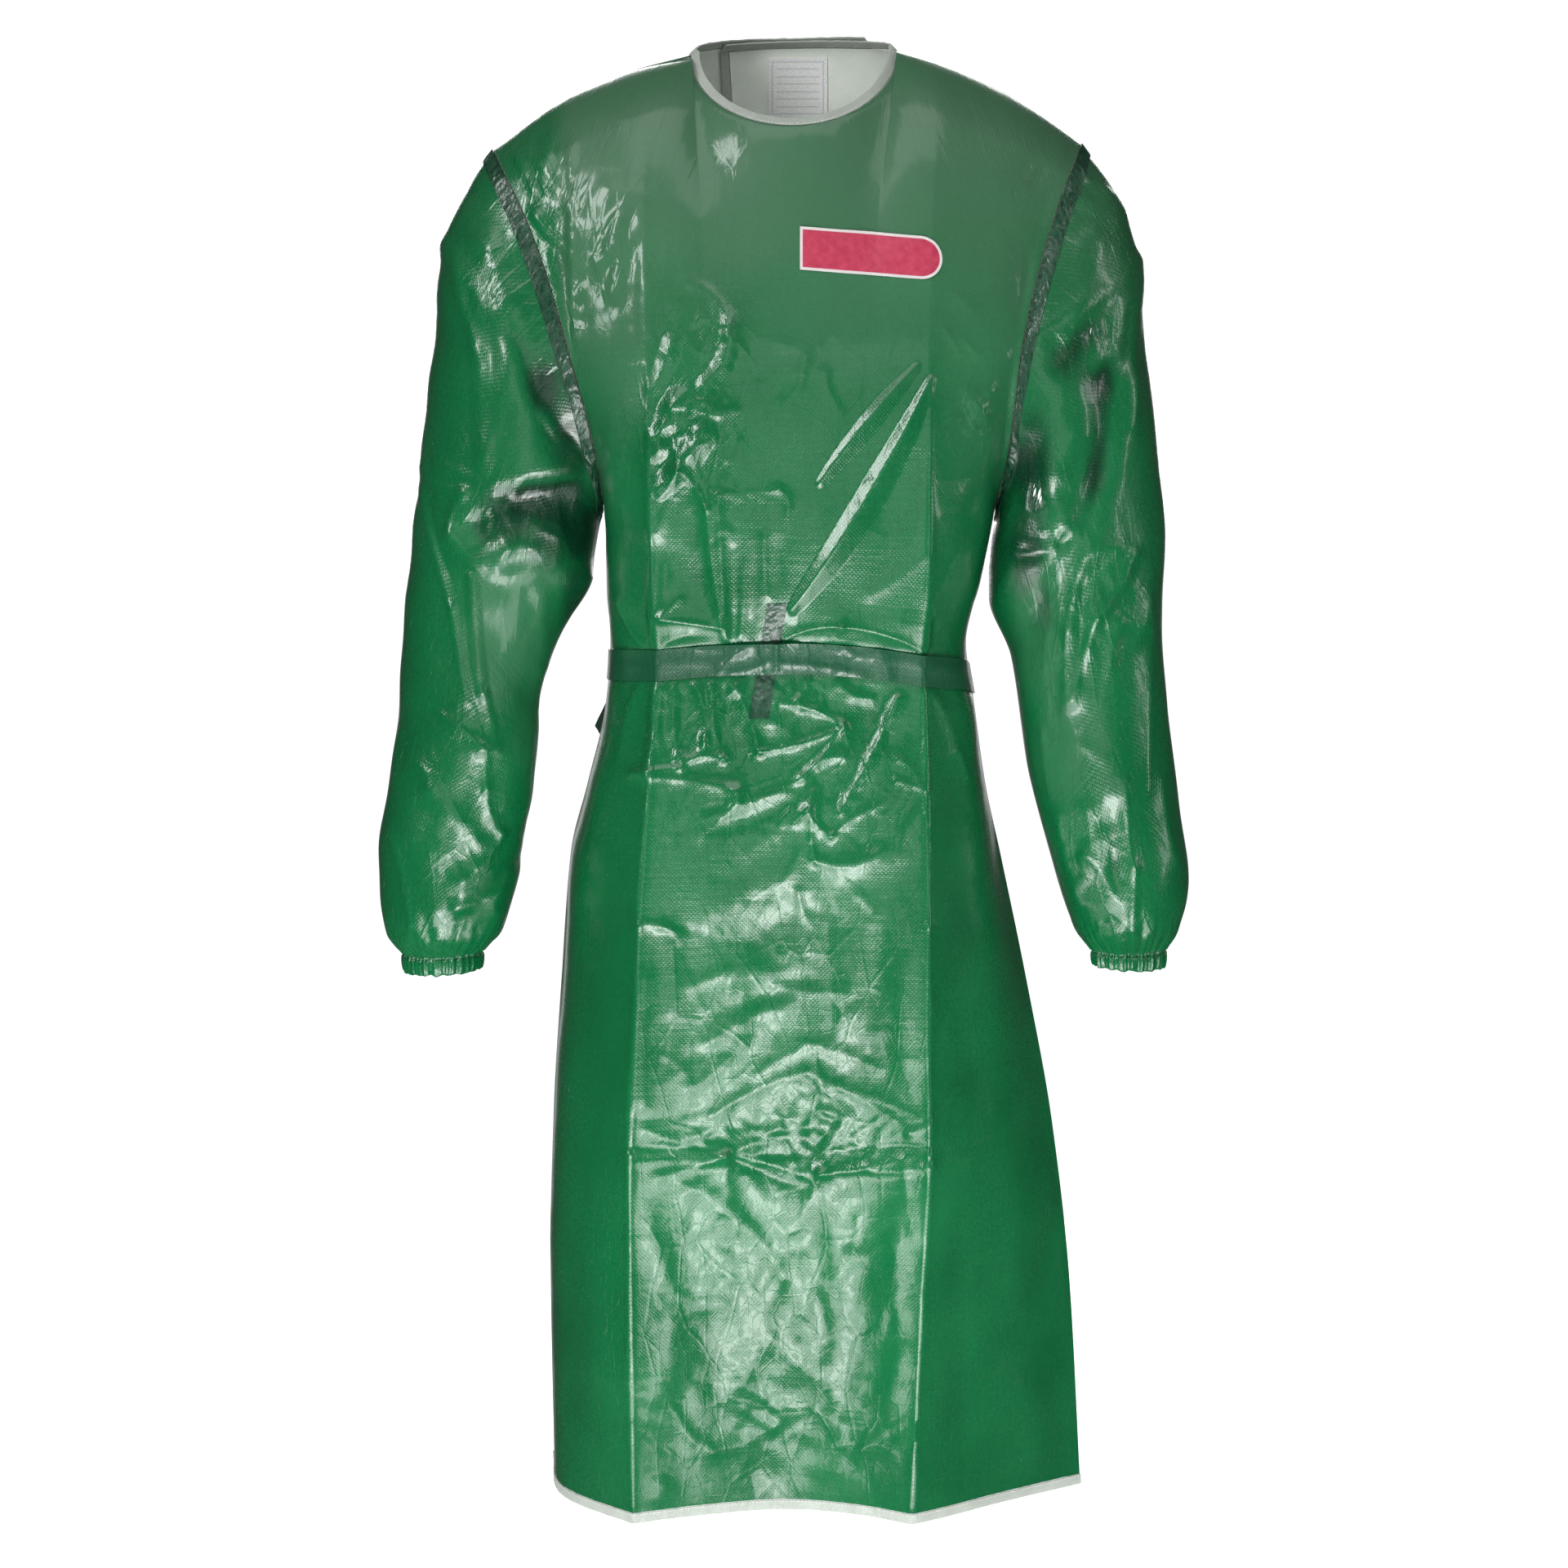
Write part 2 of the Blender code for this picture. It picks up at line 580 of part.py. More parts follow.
def make_panels(front_grid, back_grid, front_normal, back_normal):
    """The front and the two backs, each set back from the side and shoulder seams. Returns
    the whole back lifted to the outer layer, and the two backs' own grids."""
    setback = SEAM_GAP / 2
    wall("front_panel", trimmed(front_grid, setback, setback, setback), CLOTH_WALL,
         GREEN_FILM, normal=front_normal)
    left = columns_between(BACK_COLUMNS, 0, 4 + BACK_OVERLAP)
    right = columns_between(BACK_COLUMNS, 4 - BACK_OVERLAP, 8)
    lifted = outer_layer(back_grid, back_normal)
    wall("back_panel_left", trimmed(lifted[:, left], setback, 0, setback), CLOTH_WALL,
         GREEN_FILM, normal=back_normal[:, left])
    wall("back_panel_right", trimmed(back_grid[:, right], 0, setback, setback),
         CLOTH_WALL, GREEN_FILM, normal=back_normal[:, right])
    return lifted, lifted[:, left], back_grid[:, right]


def free_edge(grid, border, beyond):
    """The free edge of a back panel's binding: each border point moved on along the back's
    surface, towards the next column beyond it."""
    way = grid[:, beyond] - grid[:, border]
    way = way / np.linalg.norm(way, axis=1, keepdims=True)
    return grid[:, border] + way * BINDING_GAP, grid[:, border] + way * BINDING_WIDTH


def joined_edge(row, front, left, right, left_free, right_free, neck=False):
    """Edge points of one row, from the inner back panel's free edge, round the front, to the
    outer back panel's free edge."""
    front_part = columns_between(FRONT_COLUMNS, 3, 5) if neck else slice(None)
    left_start = BACK_COLUMNS.index(3) if neck else 0
    right_end = len(BACK_COLUMNS) - BACK_COLUMNS.index(5) - 1 if neck else 0
    right_row = right[row, :right.shape[1] - right_end]
    return np.concatenate([
        right_free[row][None], right_row, front[row, front_part][::-1][1:],
        left[row, left_start:][1:], left_free[row][None],
    ])


def make_neck_binding(edge):
    """A band that stands up from the neck edge and leans in over the opening."""
    inward = np.array([NECK_CENTRE_X, 0, 0]) - edge
    inward[:, 2] = 0
    inward /= np.linalg.norm(inward, axis=1, keepdims=True)
    reach = inward * NECK_BINDING_LEAN + np.array([0, 0, NECK_BINDING_RISE])
    grid = np.stack([edge + reach, edge + reach * BINDING_GAP / BINDING_WIDTH])
    wall("neck_binding", grid, BINDING_WALL, WHITE_BINDING)


def make_hem_binding(edge, above):
    """A band that carries on below the hem's edge, in line with the cloth above it."""
    down = edge - above
    down /= np.linalg.norm(down, axis=1, keepdims=True)
    grid = np.stack([edge + down * BINDING_GAP, edge + down * BINDING_WIDTH])
    wall("hem_binding", grid, BINDING_WALL, WHITE_BINDING)


def make_bindings(front_grid, back_grid, lifted, left_back, right_back):
    """White bindings down both free back edges, round the neck and round the hem."""
    left_border = BACK_COLUMNS.index(4 + BACK_OVERLAP)
    right_border = BACK_COLUMNS.index(4 - BACK_OVERLAP)
    left_near, left_free = free_edge(lifted, left_border, left_border + 1)
    right_near, right_free = free_edge(back_grid, right_border, right_border - 1)
    wall("back_edge_binding_left", np.stack([left_near, left_free], 1), BINDING_WALL,
         WHITE_BINDING)
    wall("back_edge_binding_right", np.stack([right_near, right_free], 1), BINDING_WALL,
         WHITE_BINDING)
    panels = (front_grid, left_back, right_back, left_free, right_free)
    make_neck_binding(joined_edge(0, *panels, neck=True))
    make_hem_binding(joined_edge(-1, *panels), joined_edge(-2, *panels))


def ring_points(ring, angles):
    """An ellipse with its long axis from the ring's outer point to its inner point."""
    outer = np.array([ring.outer_x, ring.centre_y, ring.outer_z]) * MM
    inner = np.array([ring.inner_x, ring.centre_y, ring.inner_z]) * MM
    depth = np.array([0, -ring.half_depth * MM, 0])
    return ((outer + inner) / 2 + np.cos(angles)[:, None] * (outer - inner) / 2
            + np.sin(angles)[:, None] * depth)


def armhole_loop(front_grid, back_grid, column):
    """The armhole's edge as a loop, down the front from the shoulder and up the back."""
    rows = TOP_STEPS + len(ARMHOLE_LEVELS)
    front = front_grid[:rows, column]
    back = back_grid[:rows, column]
    return np.concatenate([front, back[1:-1][::-1]])


def loop_angles(loop):
    """The angle of each loop point, from its height between the loop's top and bottom."""
    top = loop[:, 2].max()
    bottom = loop[:, 2].min()
    share = np.clip((loop[:, 2] - bottom) / (top - bottom), 0, 1)
    angle = np.arccos(2 * share - 1)
    lowest = int(np.argmin(loop[:, 2]))
    angle[lowest + 1:] = 2 * pi - angle[lowest + 1:]
    return angle


def sleeve_surface(loop, rings):
    """Rings from the armhole down to the cuff, with one close to the armhole where the
    sealing tape ends. Returns the grid and the angle of each of its columns."""
    angles = loop_angles(loop)
    table = [loop] + [ring_points(ring, angles) for ring in rings]
    stack = np.stack(table)
    first_step = np.linalg.norm(stack[1] - stack[0], axis=-1).mean()
    stations = [0.0, ARMHOLE_TAPE_WIDTH / first_step]
    stations += list(np.arange(1.0, len(table)))
    knots = np.arange(len(table))
    flat = stack.reshape(len(table), -1)
    made = [[smooth_rows(np.array([s]), knots, flat[:, k])[0] for k in range(flat.shape[1])]
            for s in stations]
    return np.array(made).reshape(len(stations), len(angles), 3), angles


def sleeve_start(loop, outwards):
    """The armhole's loop moved clear of the body's edge, more at the underarm, where sleeve
    and body lie side by side."""
    low = (1 - np.cos(loop_angles(loop))) / 2
    gap = SLEEVE_GAP_TOP + (SLEEVE_GAP_UNDERARM - SLEEVE_GAP_TOP) * low
    return loop + np.stack([outwards * gap, 0 * gap, -SLEEVE_GAP_SINK * gap], 1)


def make_sleeve(side, loop, outwards, rings, folds, cuff):
    """A sleeve, the tape over its armhole seam, open for a few columns at the underarm, and
    the elastic casing at its wrist."""
    grid, angles = sleeve_surface(sleeve_start(loop, outwards), rings)
    grid = folded(grid, folds, closed=True)
    normal = outward(grid, closed=True)
    wall("sleeve_" + side, grid, CLOTH_WALL, GREEN_FILM, closed=True, normal=normal)
    lift = CLOTH_WALL / 2 + SEAM_GAP + TAPE_WALL / 2
    band = grid[:2] + normal[:2] * lift
    lowest = int(np.argmin(loop[:, 2]))
    taped = np.roll(np.arange(len(angles)), -lowest)[TAPE_OPEN_COLUMNS:1 - TAPE_OPEN_COLUMNS]
    wall("armhole_tape_" + side, band[:, taped], TAPE_WALL, DARK_TAPE, normal=normal[:2, taped])
    cuff_grid = np.stack([ring_points(ring, angles) for ring in cuff])
    wall("cuff_" + side, cuff_grid, CUFF_WALL, GREEN_FILM, closed=True)


def surface_points(grid, x, z):
    """Points of a panel at given x and z: first along each of its columns, then across."""
    made = np.empty(x.shape + (3,))
    columns = range(grid.shape[1])
    for place in np.ndindex(x.shape):
        height = -z[place]
        line_x = [np.interp(height, -grid[:, c, 2], grid[:, c, 0]) for c in columns]
        line_y = [np.interp(height, -grid[:, c, 2], grid[:, c, 1]) for c in columns]
        made[place] = x[place], np.interp(x[place], line_x, line_y), z[place]
    return made


def belt_half(front_rows, back_rows, front_stations, back_stations, front_lifts):
    """Middle of a belt half: the front's rows at the belt, then the back's, each column
    lifted off the cloth along its normal. Stations run away from the lap."""
    parts = []
    for rows, stations, columns, lifts in (
            (front_rows, front_stations, FRONT_COLUMNS, front_lifts),
            (back_rows, back_stations, BACK_COLUMNS, BELT_BACK_LIFTS)):
        grid, normal = rows
        chosen = [columns.index(t) for t in stations]
        lift = np.interp(stations, [row.station for row in lifts], [row.lift * MM for row in lifts])
        parts.append(grid[:, chosen] + normal[:, chosen] * lift[None, :, None])
    return np.concatenate(parts, 1)


def make_belt(front_grid, back_grid, front_normal, back_normal):
    """Two halves laid on the rows at the belt, each from its end at the lap to the knot."""
    first = TOP_STEPS + len(ARMHOLE_LEVELS) + SKIRT_LEVELS.index(BELT_LEVELS[0])
    rows = slice(first, first + len(BELT_LEVELS))
    front = (front_grid[rows], front_normal[rows])
    back = (back_grid[rows], back_normal[rows])
    left_front = [t for t in reversed(FRONT_COLUMNS) if t <= BELT_LAP_END]
    left_back = [t for t in BACK_COLUMNS if 0 < t <= BELT_KNOT_LEFT]
    right_front = [t for t in FRONT_COLUMNS if t >= BELT_LAP_START]
    right_back = [t for t in reversed(BACK_COLUMNS) if 8 > t >= BELT_KNOT_RIGHT]
    wall("belt_left", belt_half(front, back, left_front, left_back, BELT_LEFT_LIFTS),
         CLOTH_WALL, BELT_GREEN)
    wall("belt_right", belt_half(front, back, right_front, right_back, BELT_RIGHT_LIFTS),
         CLOTH_WALL, BELT_GREEN)


def make_knot():
    """A round lump where the two belt halves are tied."""
    mesh = bpy.data.meshes.new("belt_knot")
    shape = bmesh.new()
    bmesh.ops.create_uvsphere(shape, u_segments=12, v_segments=8, radius=1.0)
    bmesh.ops.scale(shape, vec=[size * MM for size in KNOT_HALF_SIZE], verts=shape.verts)
    bmesh.ops.translate(shape, vec=[place * MM for place in KNOT_CENTRE], verts=shape.verts)
    shape.to_mesh(mesh)
    shape.free()
    mesh.shade_smooth()
    mesh.materials.append(material(*BELT_GREEN))
    bpy.context.scene.collection.objects.link(bpy.data.objects.new("belt_knot", mesh))


def make_tail(name, path):
    """A flat strip along a path, its width square to the path and to the way out from the
    garment's middle."""
    line = np.array(path) * MM
    along = np.gradient(line, axis=0)
    along /= np.linalg.norm(along, axis=1, keepdims=True)
    out = line * np.array([1, 1, 0])
    out -= along * (out * along).sum(1)[:, None]
    out /= np.linalg.norm(out, axis=1, keepdims=True)
    across = np.cross(along, out) * BELT_TAIL_WIDTH / 2
    wall(name, np.stack([line - across, line + across], 1), CLOTH_WALL, BELT_GREEN)


def make_front_tape(front_grid):
    """A leaning strip laid on the front, three points wide."""
    share = np.linspace(0, 1, 9)[:, None]
    top = np.array(FRONT_TAPE_TOP)
    foot = np.array(FRONT_TAPE_FOOT)
    middle = top + (foot - top) * share
    side = np.array([-0.5, 0, 0.5]) * FRONT_TAPE_WIDTH
    x = middle[:, :1] + side
    z = middle[:, 1:] + side * 0
    grid = surface_points(front_grid, x, z)
    normal = outward(grid)
    wall("belt_tape", grid + normal * FRONT_TAPE_LIFT, TAPE_WALL, DARK_TAPE, normal=normal)


def make_patch(front_grid):
    """A patch whose right end is a half circle: each row ends on the circle."""
    high = np.sin(np.linspace(-pi / 2, pi / 2, 9))[:, None] * PATCH_HALF_HEIGHT
    straight = PATCH_LENGTH - PATCH_HALF_HEIGHT
    reach = straight + np.sqrt(np.maximum(PATCH_HALF_HEIGHT**2 - high**2, 0))
    along = np.linspace(0, 1, 9)[None, :] * reach
    x = PATCH_LEFT_X + along
    z = PATCH_LEFT_Z - high - along * PATCH_FALL
    grid = surface_points(front_grid, x, z)
    normal = outward(grid)
    wall("chest_patch", grid + normal * PATCH_LIFT, PATCH_WALL, PINK_PATCH, normal=normal)


def make_label(right_back):
    """A plain rectangle laid on the inside of the inner back panel."""
    x, z = np.meshgrid(np.linspace(LABEL_LEFT_X, LABEL_RIGHT_X, 5),
                       np.linspace(LABEL_TOP_Z, LABEL_FOOT_Z, 5))
    grid = surface_points(right_back, x, z)
    normal = outward(grid)
    wall("neck_label", grid + normal * LABEL_LIFT, LABEL_WALL, WHITE_LABEL, normal=normal)


def build():
    clear_scene()
    front_grid = panel_surface(front=True)
    back_grid = panel_surface(front=False)
    front_normal, back_normal = seam_normals(front_grid, back_grid)
    lifted, left_back, right_back = make_panels(front_grid, back_grid, front_normal,
                                                back_normal)
    make_bindings(front_grid, back_grid, lifted, left_back, right_back)
    make_sleeve("left", armhole_loop(front_grid, back_grid, 0), -1, SLEEVE_LEFT,
                SLEEVE_LEFT_FOLDS, CUFF_LEFT)
    make_sleeve("right", armhole_loop(front_grid, back_grid, -1), 1, SLEEVE_RIGHT,
                SLEEVE_RIGHT_FOLDS, CUFF_RIGHT)
    make_belt(front_grid, back_grid, front_normal, back_normal)
    make_knot()
    make_tail("belt_tail_side", TAIL_TO_SIDE)
    make_tail("belt_tail_down", TAIL_DOWN)
    make_front_tape(front_grid)
    make_patch(front_grid)
    make_label(right_back)


build()
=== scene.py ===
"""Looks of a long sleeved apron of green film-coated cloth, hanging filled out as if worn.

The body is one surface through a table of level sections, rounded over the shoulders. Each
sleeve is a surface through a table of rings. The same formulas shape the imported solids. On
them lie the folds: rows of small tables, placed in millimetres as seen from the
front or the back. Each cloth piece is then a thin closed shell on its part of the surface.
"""
from collections import namedtuple
from math import pi, radians

import bpy
import numpy as np
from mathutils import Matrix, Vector


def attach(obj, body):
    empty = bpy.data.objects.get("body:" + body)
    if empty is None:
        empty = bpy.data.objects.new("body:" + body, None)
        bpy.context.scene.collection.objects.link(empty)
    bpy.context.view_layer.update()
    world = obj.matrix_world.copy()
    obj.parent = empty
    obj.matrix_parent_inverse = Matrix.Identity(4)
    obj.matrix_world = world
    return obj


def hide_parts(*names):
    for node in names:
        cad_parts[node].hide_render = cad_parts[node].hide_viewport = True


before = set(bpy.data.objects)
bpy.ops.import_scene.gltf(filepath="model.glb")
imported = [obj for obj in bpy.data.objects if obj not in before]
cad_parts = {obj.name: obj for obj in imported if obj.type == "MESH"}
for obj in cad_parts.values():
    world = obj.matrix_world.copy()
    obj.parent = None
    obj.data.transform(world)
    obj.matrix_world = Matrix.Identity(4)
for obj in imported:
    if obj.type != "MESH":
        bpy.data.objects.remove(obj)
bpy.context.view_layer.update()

MM = 0.001

# ---------- Sizes of the garment ----------

NECK_CENTRE_X = 3 * MM
NECK_HALF_WIDTH = 86 * MM
NECK_FRONT_REACH = 86 * MM
NECK_BACK_REACH = 90 * MM
NECK_LEFT_Z = 15 * MM
NECK_RIGHT_Z = 21 * MM
NECK_FRONT_DROP = 57 * MM
NECK_BACK_RISE = 5 * MM
NECK_BINDING_RISE = 6 * MM
NECK_BINDING_LEAN = 6.5 * MM
BINDING_WIDTH = 9 * MM

BELT_HEIGHT = -478
BELT_HALF_WIDTH = 13
BELT_DIP_LEFT = 20 * MM
BELT_DIP_RIGHT = 33 * MM
BELT_DIP_BACK = 30 * MM
BELT_DIP_REACH = 90 * MM
BELT_TAIL_HALF_WIDTH = 12.5 * MM

BACK_OVERLAP = 0.45
OUTER_LAYER = 3.6 * MM
OUTER_LAYER_START = 1.6
OUTER_LAYER_FULL = 3.2

UNDERARM_Z = -370 * MM
UNDERARM_EASE = 40 * MM
SLEEVE_GAP_TOP = 0.9 * MM
SLEEVE_GAP_UNDERARM = 1.9 * MM
SLEEVE_GAP_SINK = 0.3
FIRST_LEVEL = -167
HEM_LEVEL = -1199

FRONT_MIDDLE_SHARE = 0.58
BACK_MIDDLE_SHARE = 0.78
MIDDLE_LEVELLING = 0.6
BACK_CORNER_SHARE = 0.95
ROUND_SIDE_OUT = 0.33
ROUND_SIDE_DEEP = 0.07
FRONT_CREASE_SHARPNESS = 0.85
BACK_CREASE_SHARPNESS = 0.22
NECK_FLATNESS = 0.75
NECK_FLAT_REACH = 1.1
SHOULDER_WIDTH_POWER = 1.3

Section = namedtuple(
    "Section",
    "z left_x right_x left_front left_back right_front right_back "
    "crease_left crease_right crease_y centre_y back_half back_y round_left round_right",
)

# Level sections of the body in mm, as its solids have them.
BODY = (
    Section(-167, -200, 203, -80, 82, -80, 82, -121, 115, -111, -117, 120, 102, 0.1, 0.1),
    Section(-225, -184, 191, -90, 92, -90, 92, -120, 114, -118, -124, 120, 112, 0.2, 0.2),
    Section(-290, -167, 184, -78, 80, -78, 80, -119, 115, -122, -127, 118, 116, 0.5, 0.4),
    Section(-340, -159, 177, -44, 50, -44, 50, -118, 116, -121, -127, 116, 115, 0.8, 0.7),
    Section(-370, -158, 172, 4, 4, 2, 2, -117, 116, -120, -126, 114, 114, 1.0, 1.0),
    Section(-420, -157, 163, 12, 12, 12, 12, -115, 113, -116, -121, 110, 108, 1.0, 1.0),
    Section(-478, -154, 150, 12, 12, 12, 12, -111, 109, -108, -112, 104, 98, 1.0, 1.0),
    Section(-530, -158, 157, 12, 12, 10, 10, -114, 112, -112, -113, 108, 104, 1.0, 1.0),
    Section(-600, -174, 167, 14, 14, 8, 8, -119, 115, -124, -119, 116, 118, 1.0, 0.9),
    Section(-660, -189, 180, 20, 20, 4, 4, -126, 116, -132, -123, 124, 128, 1.0, 0.7),
    Section(-770, -198, 203, 30, 30, -4, -4, -130, 114, -141, -124, 134, 140, 1.0, 0.4),
    Section(-890, -206, 225, 36, 36, -14, -14, -136, 116, -147, -122, 142, 150, 1.0, 0.2),
    Section(-1030, -210, 241, 42, 42, -22, -22, -135, 109, -151, -118, 148, 158, 1.0, 0.1),
    Section(-1206, -208, 251, 46, 46, -30, -30, -133, 102, -155, -110, 152, 165, 1.0, 0.0),
)

ShoulderPoint = namedtuple("ShoulderPoint", "left_x left_z right_x right_z")
SHOULDER = (
    ShoulderPoint(-249, -60, 243, -55),
    ShoulderPoint(-186, -17, 184, -15),
    ShoulderPoint(-121, 8, 122, 12),
)

Ring = namedtuple("Ring", "outer_x outer_z inner_x inner_z centre_y half_depth")
SLEEVE_LEFT = (
    Ring(-277, -106, -163, -392, -4, 90),
    Ring(-290, -150, -167, -420, -8, 84),
    Ring(-303, -230, -187, -455, -10, 76),
    Ring(-312, -310, -207, -500, -12, 68),
    Ring(-321, -392, -216, -536, -14, 62),
    Ring(-329, -460, -215, -568, -16, 58),
    Ring(-334, -540, -219, -600, -17, 56),
    Ring(-346, -618, -228, -645, -18, 55),
    Ring(-352, -670, -234, -685, -18, 53),
    Ring(-346, -727, -247, -723, -18, 46),
    Ring(-333, -742, -263, -740, -18, 35),
)
SLEEVE_RIGHT = (
    Ring(274, -100, 170, -402, -4, 90),
    Ring(291, -160, 168, -440, -8, 83),
    Ring(300, -232, 187, -488, -10, 75),
    Ring(311, -310, 196, -545, -12, 67),
    Ring(316, -392, 203, -583, -14, 61),
    Ring(316, -460, 209, -610, -16, 58),
    Ring(320, -530, 216, -640, -17, 56),
    Ring(332, -612, 224, -668, -18, 54),
    Ring(339, -678, 233, -694, -18, 52),
    Ring(332, -721, 245, -724, -18, 45),
    Ring(322, -738, 257, -739, -18, 35),
)

# ---------- Folds --------------------------

# Each row of the tables is one fold in mm: a line from (x0, z0) to (x1, z1) that bows sideways
# by bow, its width and height at each end, and its edge: 0 is a tent with two flat sides, 1 a
# sharp crest, 2 a soft round one. A negative height is a trough. Lean makes the side on the
# line's left wider by that share and the other side narrower, and belly makes it wider and
# higher halfway.
Fold = namedtuple("Fold", "x0 z0 x1 z1 bow width0 width1 height0 height1 edge lean belly",
                  defaults=(0, 0))

PRESSED_CREASES = (
    (-118, -235, -114, -470, 0, 2.5, 2.5, 0.8, 1.6, 1), (-114, -500, -126, -700, 1, 2.5, 3, 1.8, 1.2, 1),
    (-126, -700, -134, -892, 1, 3, 3, 1.2, 1.6, 1), (-134, -892, -132, -1196, -1, 3, 3, 1.6, 1, 1),
    (116, -250, 113, -470, 0, 2.5, 2.5, 0.8, 1.8, 1), (112, -500, 115, -700, -1, 2.5, 3, 1.8, 1.2, 1),
    (115, -700, 116, -892, 0, 3, 3, 1.2, 1.6, 1), (116, -892, 102, -1196, 1, 3, 3, 1.6, 1.2, 1),
    (-134, -886, -60, -893, 2, 3, 3, -1, -0.8, 1), (-60, -893, 20, -897, -3, 3, 3, -0.8, -1, 1),
    (20, -897, 116, -886, 3, 3, 3, -1, -1.2, 1), (-134, -900, -66, -902, 2, 3, 3, 0.9, 0.6, 1),
    (10, -912, 116, -903, -2, 3, 4, 0.8, 1, 1),
)

CHEST_FOLDS = (
    (-114, -50, -113, -170, 1, 9, 12, -0.7, -1, 2), (-111, -73, -109, -100, 0, 2, 2, 0.4, 0.3, 1),
    (-133, -95, -132, -235, 0, 7, 8, -0.8, -1, 2), (-158, -95, -120, -100, 2, 5, 4, 0.9, 0.6, 0),
    (-146, -124, -132, -165, -3, 6, 5, 0.7, 0.4, 0), (-85, -166, -50, -202, 7, 4, 7, 1.2, 3.2, 1.2),
    (-50, -202, -52, -236, 3, 7, 5, 3, 1, 1.2), (-76, -196, -56, -200, 1, 3, 3, 1.2, 0.8, 1),
    (-44, -215, -32, -232, 1, 3, 2, 1.6, 0.6, 1), (-85, -256, -44, -272, -4, 8, 5, 2.4, 1.4, 1.2),
    (-100, -226, -114, -212, 2, 6, 4, 1.2, 0.8, 1.2), (-96, -270, -58, -262, 3, 6, 5, 1.2, 0.8, 1.2),
    (-10, -216, 22, -219, -2, 7, 5, 1, 0.6, 1.4), (12, -226, -4, -266, 4, 5, 7, 1.6, 0.8, 1.3),
    (28, -240, 38, -268, -2, 5, 4, 1.2, 0.5, 1.2), (-98, -216, -112, -252, 1, 4.5, 4, 2.6, 2.2, 0),
    (-94, -262, -111, -306, -3, 5, 4.5, 3.4, 2.8, 0), (-72, -288, -108, -334, 4, 5.5, 5, 4.6, 3.8, 0),
    (-52, -212, -70, -250, 5, 4, 4.5, 2.6, 3, 0), (-140, -112, -158, -150, 3, 4, 4, 1.8, 1.6, 0),
    (-132, -130, -148, -176, -3, 4, 4, 1.4, 1.2, 0), (126, -204, 138, -224, 1, 3, 3, 1.2, 0.8, 1),
    (138, -180, 150, -190, 1, 5, 4, 1.4, 0.8, 1.3), (142, -214, 154, -226, 0, 4, 3, 1, 1, 1),
    (150, -262, 166, -300, 3, 8, 6, 2.4, 1.2, 1.2), (164, -258, 172, -256, 0, 4, 3, 1.2, 0.6, 1),
)

WAIST_FOLDS = (
    (103, -235, 24, -330, -2, 1.8, 2, 1.8, 2, 0, 0.2, 1.2), (24, -330, 4, -420, 2, 10, 14, 0.8, 0.4, 1.6),
    (115, -246, 1, -436, 5, 2.2, 2.6, 2.2, 2.5, 0, 0.2, 1.6), (82, -326, 62, -330, 1, 2.4, 2, 0.8, 0.5, 1),
    (74, -342, 58, -348, 1, 2, 2, 0.6, 0.5, 1), (100, -300, 70, -372, 0, 12, 12, -1, -1.2, 1.8),
    (-94, -320, -108, -344, 2, 5, 5, 2.4, 1.8, 1.1), (-93, -320, -70, -352, 3, 5, 4.5, 2.8, 2.4, 1.2),
    (-70, -352, -55, -462, -2, 4.5, 3.5, 2.4, 2, 1.2), (-84, -352, -70, -420, 0, 9, 8, -1.6, -1, 1.8),
    (-112, -372, -92, -306, -5, 8, 9, 1.6, 2.4, 1.2), (-100, -268, -62, -276, 2, 6, 6, 1.8, 1.6, 1.1),
    (-80, -290, -50, -312, -4, 9, 8, 1.8, 1.2, 1.2), (-112, -292, -84, -276, 2, 4, 4, 1.6, 1.2, 0),
    (-108, -302, -66, -296, -3, 4, 4, 1.4, 1.4, 0), (-60, -340, -11, -335, -2, 4, 4, 1, 0.6, 1.1),
    (-60, -341, -53, -463, -1, 6, 3, 2.4, 1.8, 1.2), (-46, -372, -47, -462, 0, 8, 5, -0.6, -2.2, 1.7),
    (-39, -400, -42, -462, 1, 5, 3, 0.4, 1.2, 1.3), (-31, -390, -33, -464, -1, 7, 6, -0.4, -2, 1.7),
    (-22, -376, -20, -424, -1, 4, 3.5, 1.4, 1, 1.2), (-10, -336, -3, -358, 4, 6, 4, 2, 0.8, 1.2),
    (-12, -372, -16, -426, 2, 9, 6, -1, -0.8, 1.8), (112, -392, 66, -424, 2, 6, 8, 0.8, 1.4, 1.3),
    (6, -446, 118, -456, -2, 17, 15, 4.2, 3.6, 2), (-112, -450, -56, -452, 2, 14, 14, 3, 3, 2),
    (-4, -462, 42, -450, 4, 3, 4, 2.2, 2.4, 1), (42, -450, 110, -474, 5, 4, 3, 2.4, 1.6, 1),
    (9, -466, 74, -473, 5, 3, 3, 2, 1.2, 1), (-111, -444, -58, -452, 1, 2.5, 2.5, 2.4, 1.6, 1),
    (-108, -442, -92, -428, 0, 6, 4, 2.4, 1.6, 1), (-108, -470, -84, -458, 2, 4, 6, 1.8, 1.6, 1.2),
    (-142, -436, -124, -468, -3, 4, 4, 2.4, 2, 1.1), (-118, -380, -60, -440, 4, 14, 14, -1.8, -2.4, 2),
    (-104, -400, -106, -440, 0, 5, 6, 1.4, 0.8, 1.4),
)

